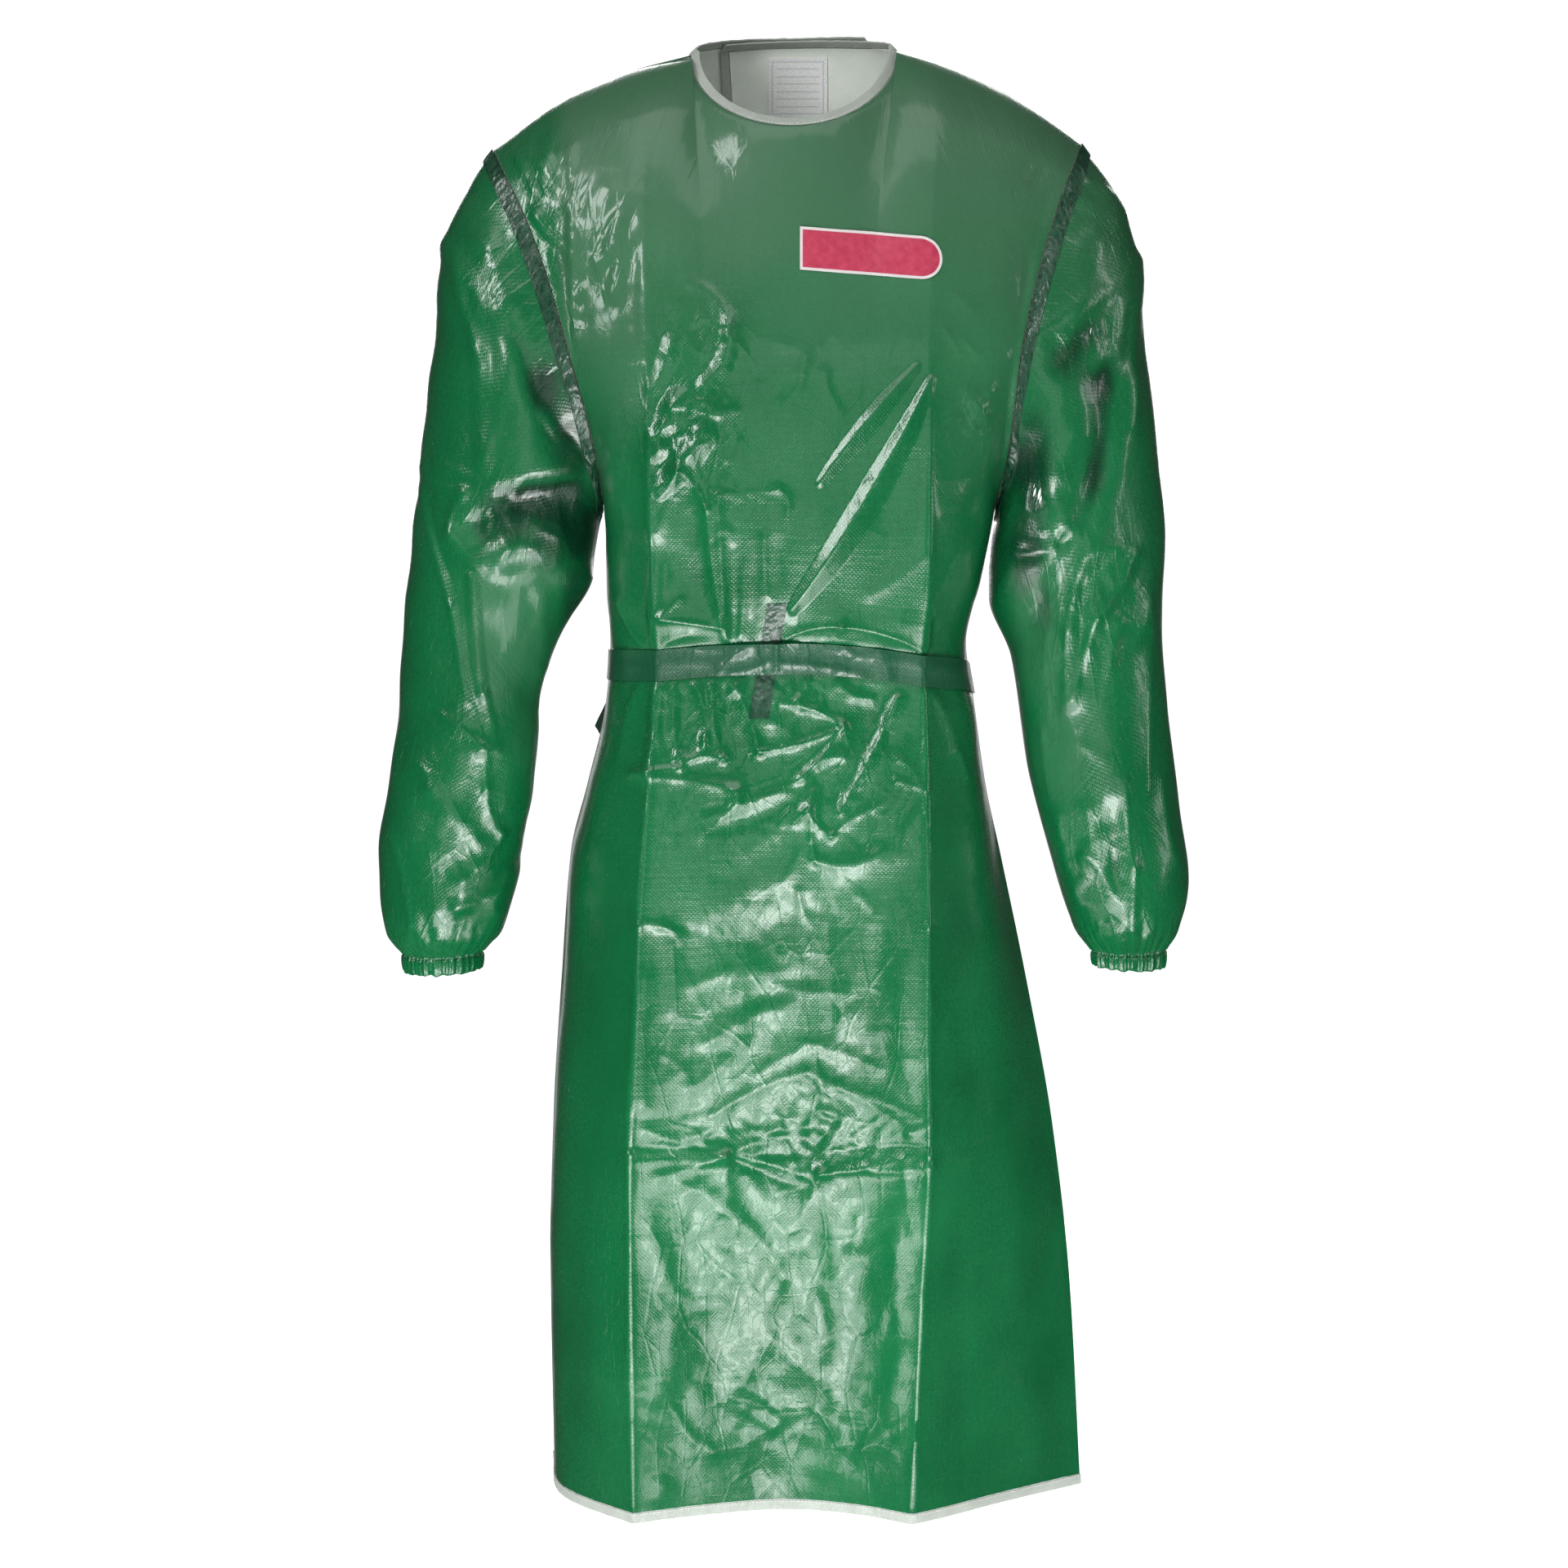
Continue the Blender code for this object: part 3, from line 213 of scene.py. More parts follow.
BELOW_BELT_FOLDS = (
    (89, -512, 42, -606, 2, 4.5, 6, 3.6, 3.6, 1.1), (70, -500, 64, -560, 0, 10, 14, -2, -2.4, 2),
    (-124, -500, -142, -560, -3, 6, 6, 3, 1.8, 1.2), (-108, -500, -122, -575, 3, 6, 5, 2.8, 2, 1.2),
    (-96, -500, -94, -556, -3, 5, 5, 2.6, 2, 1.2), (-80, -500, -72, -548, 4, 4, 5, 2.6, 2.6, 1.1),
    (-72, -548, -90, -562, 5, 4, 5, 2.6, 1.8, 1.1), (-66, -500, -56, -562, -3, 5, 4, 2.6, 2.2, 1.1),
    (-56, -562, -92, -570, -6, 4, 4, 2.4, 2, 1.1), (-92, -570, -132, -577, -2, 4, 3, 2, 1.8, 1),
    (-46, -502, -26, -556, 1, 5, 4, 2.6, 2.4, 1.2), (-26, -556, 44, -536, -3, 3.5, 3.5, 2.4, 2, 1.1),
    (-8, -516, 44, -534, 4, 4, 3.5, 1.8, 2.2, 1.1), (44, -535, 10, -578, 2, 3.5, 4, 2.4, 2, 1.1),
    (-18, -532, 2, -545, 3, 8, 6, 2, 1.4, 1.3), (10, -576, 42, -560, 4, 5, 6, 2, 2.8, 1.1),
    (18, -590, 14, -606, 2, 6, 8, 3, 3.2, 1.1), (14, -606, 34, -626, -2, 7, 4, 3.2, 2.2, 1.1),
    (18, -606, 20, -646, -2, 4, 4, 1.8, 2.4, 1), (20, -646, 72, -642, -6, 4, 6, 2.4, 1.6, 1.1),
    (34, -626, 76, -600, 3, 4, 5, 2, 1.6, 1.1), (90, -562, 108, -582, 2, 6, 4, 2.6, 1.8, 1),
    (88, -580, 112, -588, 1, 4, 3, 1.6, 1.6, 1), (-130, -577, -46, -588, 3, 5, 8, 2.6, 2.8, 1.1),
    (-46, -588, -44, -598, 0, 6, 5, 2.4, 1.8, 1.1), (-46, -598, -72, -622, 2, 6, 7, 2, 1.8, 1.2),
    (-46, -600, 6, -580, -3, 6, 4, 1.2, 1.8, 1.2), (-76, -622, 2, -598, -3, 8, 6, -1.8, -1.4, 2),
    (116, -506, 138, -560, 3, 5, 5, 2.6, 1.6, 1.2), (138, -560, 148, -582, 1, 5, 3, 1.6, 1.4, 1.1),
    (6, -512, 20, -520, -2, 6, 6, 2.4, 1.6, 1.2), (40, -500, 66, -512, -3, 7, 6, 2.8, 2.4, 1.2),
    (-36, -640, 4, -616, 2, 8, 10, 0.8, 1.6, 1.4), (8, -640, -6, -665, 1, 7, 5, 1.8, 1, 1.2),
)

LOWER_FOLDS = (
    (-85, -704, 20, -652, 6, 16, 18, 1.6, 2.6, 1.8), (20, -652, 92, -640, -4, 16, 14, 2.4, 1.6, 1.8),
    (92, -640, 104, -610, 2, 8, 8, 1.6, 1, 1.4), (-60, -726, 40, -690, 3, 18, 20, -1.6, -2.2, 2),
    (58, -676, 72, -690, 0, 6, 6, 1.4, 1, 1.2), (6, -672, 16, -700, -2, 3, 4, 1.6, 1.2, 1),
    (-120, -698, -92, -706, 1, 3, 3, 1.6, 1, 1), (-108, -700, -94, -712, 2, 5, 4, 2, 1.2, 1.1),
    (-100, -716, -100, -772, 2, 5, 7, 1.8, 1.4, 1.3), (-120, -745, -124, -850, -2, 6, 8, 1.6, 1.8, 1.4),
    (-84, -752, -28, -736, 3, 7, 9, 1.2, 1.6, 1.3), (-66, -776, 20, -742, -3, 8, 8, -1.4, -1.6, 2),
    (48, -704, 50, -800, 1, 12, 12, 1.8, 1.4, 2), (70, -700, 72, -790, -1, 10, 12, -1.6, -1.4, 2),
    (94, -720, 100, -850, -2, 9, 9, 1.8, 1.6, 1.8), (-14, -752, 44, -758, -2, 5, 5, 1.2, 0.9, 1.2),
    (-70, -800, -12, -772, 3, 8, 9, 1.8, 1.4, 1.3), (-84, -838, -40, -800, -4, 8, 8, 1.6, 1.8, 1.3),
    (-30, -828, 30, -800, 3, 6, 7, 1.8, 1.2, 1.2), (10, -800, 74, -822, 2, 5, 4, 1.4, 1, 1.1),
    (20, -812, 30, -860, 0, 4, 5, 1.4, 1.4, 1.2), (-66, -862, 14, -826, 4, 6, 6, 2, 1.8, 1.1),
    (14, -826, 100, -874, 3, 6, 5, 1.8, 1.6, 1.1), (30, -838, 108, -862, 4, 5, 4, 1.2, 1, 1),
    (-56, -896, 0, -866, -3, 5, 8, 2.4, 2, 1.1), (-56, -896, -120, -872, 3, 5, 7, 2.4, 1.4, 1.1),
    (-56, -896, -110, -912, 2, 5, 8, 2.4, 1.6, 1.1), (-56, -896, 16, -918, 2, 4, 5, 2.4, 1.8, 1),
    (-56, -898, -62, -960, 4, 5, 14, 2, 1.6, 1.3), (-50, -898, 10, -926, -2, 4, 5, -1.6, -1.2, 1.1),
    (26, -912, 96, -896, -3, 5, 5, 2.4, 1.4, 1.1), (26, -912, 46, -866, 2, 6, 8, 2, 1.8, 1.2),
    (24, -914, 2, -960, 3, 4, 12, 2.4, 1.6, 1.2), (30, -914, 40, -980, -3, 6, 14, 2, 1.8, 1.4),
    (96, -902, 104, -960, -2, 5, 8, 1.6, 1.6, 1.3),
)

HEM_FOLDS = (
    (-118, -930, -98, -1010, -6, 9, 10, 2.2, 2.4, 1.6), (-98, -1010, -112, -1110, 4, 9, 12, 2.2, 2, 1.7),
    (-92, -918, -40, -960, 5, 10, 10, 2.2, 2.2, 1.6), (-40, -960, -6, -1004, 4, 10, 8, 2.2, 1.8, 1.5),
    (-98, -1012, -58, -1024, -3, 5, 6, 1.6, 1.4, 1.1), (-6, -1004, -24, -1060, -5, 8, 12, 1.8, 2.2, 1.5),
    (-24, -1060, -52, -1120, -3, 12, 12, 2.2, 2, 1.6), (-76, -1030, -64, -1110, 3, 12, 12, -2.4, -2.2, 2),
    (-98, -1116, -70, -1150, -4, 6, 8, 1.2, 1.8, 1.2), (-66, -1154, -12, -1136, -3, 6, 5, 1.8, 1.2, 1.2),
    (-44, -1098, -6, -1126, 3, 6, 5, 1.6, 1.8, 1.2), (-40, -1118, -14, -1134, -2, 5, 4, 1.6, 1.2, 1.1),
    (2, -980, 10, -1060, 2, 10, 10, 2, 1.8, 1.6), (18, -1010, 30, -1080, 3, 7, 7, -2.2, -2, 2),
    (34, -930, 40, -1040, 0, 9, 9, 1.4, 1.4, 1.8), (60, -930, 60, -1090, 0, 14, 14, -2, -2.2, 2),
    (56, -950, 48, -990, 2, 4, 4, 1.2, 0.8, 1.1), (90, -930, 92, -1050, -2, 9, 9, 2.2, 2.6, 1.6),
    (92, -1050, 82, -1120, 2, 9, 8, 2.4, 1.6, 1.6), (30, -1060, 44, -1130, -3, 9, 10, 1.8, 2.2, 1.6),
    (44, -1130, 20, -1180, 3, 10, 10, 2.2, 1.4, 1.6), (62, -1150, 84, -1146, 4, 8, 7, 2, 1.6, 1.3),
    (-108, -1170, -112, -1196, 1, 9, 9, 1.6, 1.4, 1.6), (-40, -1170, 0, -1190, 4, 12, 12, -1.6, -1.4, 2),
    (-16, -1056, 20, -1090, -2, 6, 8, 1.6, 1.4, 1.3),
)

SIDE_FOLDS = (
    (-168, -650, -178, -900, 3, 22, 26, -2.4, -2, 2), (-158, -900, -160, -1150, -3, 20, 24, 2, 2.6, 2),
    (-188, -940, -186, -1180, 2, 12, 14, -2, -2.4, 2), (140, -640, 158, -900, -3, 22, 26, -2.6, -2.4, 2),
    (172, -720, 196, -1000, 4, 18, 22, 2.6, 2.4, 2), (138, -930, 142, -1180, -2, 16, 20, -2.6, -3, 2),
    (218, -900, 190, -1160, -8, 18, 26, 2.4, 3.4, 2), (232, -960, 176, -1100, 6, 14, 18, -2.2, -2.6, 2),
    (200, -1100, 214, -1190, 3, 14, 16, 2.2, 2.8, 2), (-150, -380, -140, -450, 4, 10, 12, 2, 2.4, 1.8),
    (138, -330, 150, -440, -6, 18, 16, 2.8, 2, 2), (120, -440, 134, -392, 5, 5, 6, 1.6, 1, 1.4),
)

ARMHOLE_LEFT_PLEATS = (
    (-214, -112, -180, -106, 1, 3, 3, 2.6, 1.4, 1.1), (-214, -114, -178, -119, -1, 3, 3, 2.8, 1.8, 1.1),
    (-212, -118, -178, -134, 1, 3, 3, 2.6, 1.6, 1.1), (-208, -124, -180, -148, 1, 3, 3, 2.2, 1.2, 1.1),
    (-216, -66, -188, -98, 2, 6, 6, 3.4, 2.6, 1.1), (-228, -66, -212, -96, 1, 4, 3, 2.4, 1.2, 1),
    (-204, -62, -186, -92, 1, 4, 4, 2.4, 1.8, 1), (-196, -74, -178, -110, 2, 5, 4, -2, -1.4, 1.2),
    (-206, -88, -190, -104, -1, 3, 3, 2.2, 1.4, 1), (-202, -150, -184, -190, -2, 3, 3, 1.4, 1, 1),
    (-194, -170, -180, -214, -1, 3, 3, 1.2, 0.8, 1), (-182, -60, -178, -250, -2, 4, 4, 1.2, 1.6, 1.2),
    (-191, -90, -184, -320, -2, 7, 10, -2.5, -5.5, 1.5),
)

ARMHOLE_RIGHT_PLEATS = (
    (196, -90, 214, -70, 2, 9, 8, -1.4, -1.8, 1.8), (184, -120, 200, -190, 3, 10, 8, -1.2, -1.6, 1.8),
    (195, -140, 188, -330, 2, 10, 12, -1.2, -4, 1.7),
)

BACK_FOLDS = (
    (-118, -150, -112, -460, 2, 3, 3, 0.8, 1.4, 1.1), (-112, -500, -140, -1190, 2, 3, 3, 1.4, 1.4, 1.1),
    (116, -150, 108, -460, -2, 3, 3, 0.8, 1.4, 1.1), (108, -500, 142, -1190, -2, 3, 3, 1.4, 1.4, 1.1),
    (-90, -505, -120, -640, 3, 6, 12, 3.2, 1.6, 1.3), (-70, -505, -80, -620, -2, 5, 10, 2.8, 1.4, 1.3),
    (-40, -505, -36, -600, 2, 5, 8, 2.6, 1.2, 1.3), (-8, -505, 4, -650, -2, 5, 10, 2.6, 1.4, 1.3),
    (66, -505, 84, -640, 3, 6, 11, 3, 1.4, 1.3), (96, -505, 120, -600, 2, 5, 8, 2.4, 1.2, 1.3),
    (-84, -460, -60, -340, -3, 5, 10, 3, 1.2, 1.3), (-100, -460, -120, -330, 2, 6, 10, 2.6, 1.2, 1.3),
    (-66, -462, -16, -300, 4, 5, 9, 2.6, 1.4, 1.2), (30, -466, 24, -350, -2, 5, 9, 2.2, 1, 1.3),
    (76, -468, 110, -330, 4, 6, 12, 2.8, 1.4, 1.3), (110, -470, 140, -400, 2, 5, 8, 2.2, 1.2, 1.2),
    (-150, -170, -60, -230, 6, 10, 14, 1.8, 1.2, 1.6), (60, -210, 160, -150, -6, 14, 9, 1.2, 1.8, 1.6),
    (-130, -260, -90, -330, 4, 8, 10, 1.6, 1, 1.3), (120, -250, 84, -320, -4, 8, 10, 1.4, 1, 1.3),
    (-142, -890, 142, -892, 3, 5, 5, -2.2, -2.4, 1), (-60, -892, -100, -850, 2, 5, 8, 2, 1.2, 1.1),
    (-60, -892, -90, -940, 3, 5, 12, 2, 1.4, 1.2), (10, -892, 60, -860, 2, 5, 8, 2, 1.2, 1.1),
    (10, -892, 44, -950, -2, 5, 12, 2.2, 1.2, 1.2), (-110, -760, -20, -700, 5, 16, 18, 1.8, 2, 1.8),
    (20, -760, 110, -720, 4, 16, 16, 1.8, 1.6, 1.8), (-100, -960, -96, -1150, 4, 14, 16, 2.4, 2.2, 1.8),
    (-60, -980, -54, -1160, -4, 14, 15, -2.4, -2.2, 2), (84, -960, 96, -1160, -4, 14, 16, 2.4, 2.6, 1.8),
    (120, -960, 128, -1150, 4, 12, 14, -2.2, -2.4, 2), (-172, -700, -180, -1150, 5, 20, 26, 2.2, 2.8, 2),
    (182, -720, 206, -1150, -5, 20, 26, 2.4, 3, 2),
)

SLEEVE_LEFT_FOLDS = (
    (-276, -96, -310, -190, 0, 18, 26, 3.5, 4, 2),
    (-272, -112, -190, -314, 7, 8, 12, -2, -6.5, 1.6, 0.3, 0.25),
    (-256, -138, -214, -230, 2, 9, 12, 4, 5, 1.5), (-261, -176, -256, -320, 1, 4, 4.5, 1.3, 1.5, 0),
    (-234, -226, -254, -308, 2, 6, 3.4, 1.8, 1.2, 0), (-277, -160, -262, -226, -1, 4, 4, 2.4, 1.6, 1.5),
    (-290, -140, -268, -166, 2, 8, 7, 4, 3, 1.5), (-296, -318, -264, -330, -2, 2.6, 2.6, 2, 1.6, 1),
    (-310, -328, -272, -343, -4, 3, 3, 2.6, 2.4, 1), (-272, -343, -284, -378, -3, 4, 5, 2.4, 2.8, 1.2),
    (-284, -378, -258, -402, -4, 5, 6, 2.8, 3, 1.3), (-266, -360, -250, -392, 2, 11, 10, -4.5, -5, 1.6),
    (-246, -336, -163, -325, 3, 6, 6, 2, 1.6, 1.3),
    (-254, -356, -164, -346, 2, 13, 16, -6, -9.5, 1.6, -0.25),
    (-229, -340, -241, -362, -1, 2.4, 2.4, 1.8, 1.6, 1),
    (-239, -364, -217, -368, -2, 2.4, 2.4, 1.6, 1.4, 1), (-219, -366, -208, -351, 0, 2.4, 2.4, 1.8, 1.8, 1),
    (-211, -373, -194, -381, 1, 2.8, 2.4, 2.2, 1.6, 1), (-246, -403, -236, -390, 1, 3, 3, 2.4, 2.4, 1),
    (-236, -389, -213, -390, 1, 3, 2.6, 2.4, 1.6, 1), (-250, -412, -196, -404, -3, 4, 4, 1, 0.8, 1.3),
    (-206, -276, -162, -328, -3, 3, 3, 2.4, 2.6, 1), (-184, -298, -168, -318, 0, 9, 9, -5, -6, 1.5),
    (-174, -352, -178, -420, 0, 12, 14, -6, -4, 1.6), (-311, -344, -284, -440, -2, 2.4, 2.4, 1.5, 1.4, 0),
    (-305, -350, -288, -410, -1, 2.2, 2.2, -1, -0.8, 1), (-284, -440, -272, -520, -1, 2.4, 3, 2.2, 1, 1),
    (-266, -414, -259, -512, -1, 3.2, 2.6, 3, 2.2, 0), (-259, -512, -250, -552, 1, 2.6, 2.2, 2, 1, 0),
    (-210, -428, -210, -494, 1, 6, 5, 1.8, 1.4, 1.5), (-212, -500, -216, -530, 1, 5, 4, 1.4, 1, 1.3),
    (-292, -532, -260, -556, 0, 2.5, 3, 2, 2.2, 1), (-308, -540, -296, -546, 1, 3, 3, 1.2, 0.8, 1),
    (-262, -560, -247, -560, 1, 5, 5, 2.2, 1.8, 1.1), (-258, -562, -257, -594, 0, 5, 3, 2.2, 2.4, 1.1),
    (-257, -594, -245, -634, -3, 3, 3, 2.4, 2.4, 1), (-245, -634, -278, -672, 4, 4, 6, 2.4, 2.6, 1.1),
    (-278, -672, -282, -696, 2, 6, 5, 2.6, 2, 1.1), (-322, -568, -302, -592, 2, 6, 6, 1.8, 2, 1.4),
    (-306, -598, -264, -640, 3, 6, 7, 2.2, 2.4, 1.4), (-282, -696, -240, -672, -5, 6, 6, 3, 2.6, 1.1),
    (-262, -690, -232, -660, 2, 4, 4, -2.2, -1.8, 1.2), (-252, -704, -246, -684, 3, 5, 5, 2.4, 2, 1.1),
    (-340, -630, -322, -712, 2, 2.5, 2.5, 1.6, 1.4, 1), (-322, -712, -328, -736, 0, 3, 3, 1.6, 1.2, 1),
    (-300, -700, -300, -738, 1, 5, 4, 1.4, 1.8, 1.4),
)

SLEEVE_RIGHT_FOLDS = (
    (272, -92, 306, -190, 0, 18, 26, 3.5, 4, 2), (232, -62, 228, -92, 1, 3, 3, 1.6, 2, 1),
    (232, -62, 246, -82, -1, 3, 3, 1.4, 1.4, 1), (246, -82, 264, -96, 2, 3, 3, 1.4, 1.6, 1),
    (264, -96, 276, -112, 1, 4, 4, 1.8, 1.2, 1), (232, -95, 252, -104, 1, 3, 2.5, 2, 1.2, 1),
    (288, -153, 205, -211, 3, 6, 7, 2.6, 3.6, 1.2), (290, -152, 283, -286, 1, 2.8, 3.2, 1.4, 1.6, 0),
    (280, -160, 278, -254, 1, 9, 11, 3, 3.6, 1.8), (283, -254, 258, -384, 3, 9, 14, 5, 3, 1.5),
    (276, -196, 238, -378, 4, 10, 13, -3.5, -5.5, 1.7, 0, 0.35),
    (279, -217, 249, -240, -2, 9, 10, 2, 2.2, 1.8), (274, -246, 240, -260, -2, 12, 13, -2, -2.2, 1.8),
    (262, -196, 214, -246, -3, 12, 14, -3, -4, 1.7), (252, -272, 211, -345, -3, 7, 12, 3, 6, 1.6),
    (249, -296, 229, -370, 2, 6, 8, 3, 4, 1.5), (191, -294, 200, -356, 0, 12, 12, -5.5, -7, 1.7),
    (195, -342, 217, -377, -5, 4, 4, 4, 4, 1.5), (193, -394, 217, -386, -2, 5, 5, 5, 4, 1.5),
    (214, -374, 232, -388, 0, 7, 8, -3.5, -3, 1.6), (206, -396, 214, -480, 0, 10, 11, -3, -2, 1.7),
    (222, -396, 230, -470, -2, 5, 6, 2.4, 1.4, 1.4), (250, -388, 308, -382, 1, 2, 2, 0.8, 0.8, 1),
    (254, -392, 290, -394, 3, 4, 4, 2.4, 1.8, 1.1), (246, -394, 233, -456, -2, 5, 5, 3, 2.8, 1.1),
    (233, -456, 232, -510, -1, 5, 5, 2.8, 3, 1.1), (287, -396, 256, -448, 1, 4, 6, 2.4, 3, 1.1),
    (256, -448, 238, -520, -2, 5, 5, 3, 3.2, 1.1), (244, -420, 244, -500, 0, 4, 4, -2.2, -2.6, 1.3),
    (232, -520, 238, -542, -2, 5, 6, 2.6, 1.6, 1.2), (280, -420, 292, -428, 1, 5, 5, 1.6, 1, 1.2),
    (264, -444, 300, -456, -3, 5, 7, 1.8, 2.4, 1.1), (298, -442, 290, -470, 1, 5, 5, 2, 1.2, 1.1),
    (274, -458, 268, -486, 1, 5, 5, 1.8, 1.2, 1.2), (236, -556, 262, -568, 3, 5, 4, 1.2, 0.8, 1.2),
    (282, -590, 290, -660, -2, 3.5, 4, 1.6, 2.8, 1.1), (290, -660, 288, -716, 1, 4, 3, 2.8, 2, 1.1),
    (272, -600, 276, -690, -1, 6, 7, -1.8, -2.4, 1.6), (250, -612, 254, -650, 2, 7, 9, 2, 2.2, 1.3),
    (250, -650, 272, -684, 2, 4, 4, 2, 2.2, 1), (212, -548, 220, -604, -1, 2.5, 3, 1.8, 1.4, 1),
    (226, -620, 246, -694, -2, 5, 6, 2.2, 2.6, 1.2), (314, -590, 328, -660, -2, 4, 5, 1.2, 1.8, 1.2),
    (302, -430, 300, -600, 2, 4, 4, 1.2, 1.2, 1.1),
)

# The hidden halves of the sleeves have fewer, softer folds.
SLEEVE_LEFT_BACK_FOLDS = (
    (-262, -150, -220, -260, 4, 8, 10, 2.2, 3, 1.4), (-300, -300, -230, -340, -4, 8, 10, 3, 3.4, 1.3),
    (-290, -340, -220, -390, 4, 9, 9, 3, 2.6, 1.3), (-270, -410, -262, -540, 2, 7, 8, 2.6, 1.8, 1.5),
    (-320, -560, -250, -610, 3, 7, 8, 2.4, 2.4, 1.4), (-300, -640, -262, -700, -3, 6, 7, 2.4, 2.2, 1.3),
)
SLEEVE_RIGHT_BACK_FOLDS = (
    (270, -150, 214, -240, -4, 8, 10, 2.4, 3, 1.4), (282, -270, 220, -360, 4, 8, 10, 2.8, 3.4, 1.3),
    (290, -390, 226, -400, 3, 6, 8, 2.4, 2.4, 1.3), (268, -420, 250, -540, -2, 7, 8, 2.6, 1.8, 1.5),
    (310, -580, 250, -620, -3, 7, 8, 2.4, 2.2, 1.4), (290, -640, 268, -700, 3, 6, 7, 2.2, 2.2, 1.3),
)

# Each row is a patch of fine crinkles in mm: its middle, its half sizes, the direction of its
# creases in degrees and how much they scatter, how many there are, and their length, width
# and height.
Crinkle = namedtuple("Crinkle", "x z half_x half_z angle scatter count length width height")

FRONT_CRINKLES = (
    (-150, -100, 18, 10, 10, 60, 14, 16, 3, 0.7), (-142, -150, 16, 34, 60, 50, 18, 18, 3.5, 0.6),
    (-68, -215, 24, 24, 120, 60, 20, 16, 3, 0.8), (-70, -266, 22, 10, 20, 60, 14, 16, 3, 0.8),
    (-90, -300, 28, 34, 130, 70, 20, 24, 4, 0.8), (-4, -236, 34, 26, 60, 60, 16, 14, 3, 0.5),
    (150, -280, 18, 24, 70, 60, 18, 16, 3, 0.8), (-54, -356, 30, 24, 80, 50, 16, 18, 3, 0.7),
    (-60, -535, 60, 36, 100, 60, 44, 24, 3.2, 1), (30, -540, 50, 34, 20, 70, 20, 20, 3.2, 0.8),
    (-80, -602, 40, 18, 20, 50, 18, 22, 3.2, 0.8), (44, -615, 50, 30, 40, 60, 26, 20, 3.2, 0.9),
    (0, -690, 90, 36, 20, 70, 26, 28, 3.4, 0.7), (-8, -790, 110, 60, 25, 60, 44, 34, 3.6, 0.7),
    (0, -886, 116, 32, 5, 45, 90, 34, 3.2, 1.2), (-40, -980, 90, 60, 70, 60, 60, 30, 4, 1),
    (60, -1000, 46, 80, 85, 40, 36, 34, 4, 0.9), (-30, -1110, 90, 54, 30, 70, 60, 28, 4, 1),
    (60, -1130, 50, 50, 60, 60, 26, 26, 4, 0.9), (0, -462, 120, 12, 90, 30, 40, 14, 2.6, 0.8),
    (0, -500, 120, 14, 90, 30, 44, 18, 2.6, 1), (-200, -90, 22, 36, 45, 70, 30, 16, 2.6, 0.8),
    (-190, -180, 14, 50, 110, 50, 26, 16, 2.6, 0.7),
)

BACK_CRINKLES = (
    (0, -250, 120, 90, 50, 80, 60, 24, 4, 0.7), (0, -462, 120, 14, 90, 30, 44, 16, 3, 0.9),
    (0, -510, 120, 20, 90, 30, 50, 20, 3, 1), (0, -600, 110, 60, 90, 70, 50, 26, 4, 0.8),
    (0, -780, 120, 80, 30, 70, 60, 30, 4, 0.8), (0, -890, 130, 30, 5, 45, 80, 34, 3.4, 1.1),
    (0, -1050, 130, 110, 80, 60, 90, 34, 4.4, 0.9),
)

SLEEVE_LEFT_CRINKLES = (
    (-236, -150, 30, 50, 120, 60, 26, 16, 3, 0.7), (-232, -360, 34, 30, 30, 80, 14, 18, 3, 0.8),
    (-206, -200, 14, 60, 120, 50, 30, 14, 2.6, 0.9), (-268, -640, 34, 40, 50, 60, 34, 18, 3, 0.8),
    (-290, -560, 40, 30, 150, 40, 14, 16, 2.6, 0.5), (-296, -718, 44, 16, 90, 35, 60, 16, 2.6, 1),
)

SLEEVE_RIGHT_CRINKLES = (
    (250, -110, 30, 30, 140, 70, 26, 14, 2.6, 0.7), (240, -210, 30, 30, 30, 60, 20, 16, 3, 0.6),
    (212, -350, 16, 44, 60, 60, 34, 16, 3, 1), (262, -440, 40, 50, 75, 50, 44, 20, 3, 0.8),
    (216, -440, 14, 60, 90, 40, 24, 16, 2.6, 0.8), (262, -650, 30, 40, 80, 40, 26, 18, 3, 0.7),
    (290, -716, 44, 16, 90, 35, 60, 16, 2.6, 1),
)


# ---------- Surfaces ----------

def cubic(f, start, leave, end, reach):
    """Hermite's cubic at the share f of a run, from its two ends and the tangents there."""
    return ((1 + 2 * f) * (1 - f) ** 2 * start + f * (1 - f) ** 2 * leave
            + f * f * (3 - 2 * f) * end + f * f * (f - 1) * reach)


def smooth_rows(at, knots, values):
    """Values at any place, on cubic curves through the rows with limited slopes, so that
    nothing swings past a row: each slope is the harmonic mean of those beside it."""
    knots = np.asarray(knots, float)
    values = np.asarray(values, float)
    order = np.argsort(knots)
    knots = knots[order]
    values = values[order]
    extra = (slice(None),) + (None,) * (values.ndim - 1)
    rise = np.diff(values, axis=0) / np.diff(knots)[extra]
    slope = np.zeros_like(values)
    same_way = rise[:-1] * rise[1:] > 0
    total = np.where(same_way, rise[:-1] + rise[1:], 1.0)
    slope[1:-1] = np.where(same_way, 2 * rise[:-1] * rise[1:] / total, 0.0)
    slope[0] = rise[0]
    slope[-1] = rise[-1]
    at = np.clip(at, knots[0], knots[-1])
    i = np.clip(np.searchsorted(knots, at) - 1, 0, len(knots) - 2)
    wide = (...,) + (None,) * (values.ndim - 1)
    step = (knots[i + 1] - knots[i])[wide]
    f = (at - knots[i])[wide] / step
    return cubic(f, values[i], step * slope[i], values[i + 1], step * slope[i + 1])


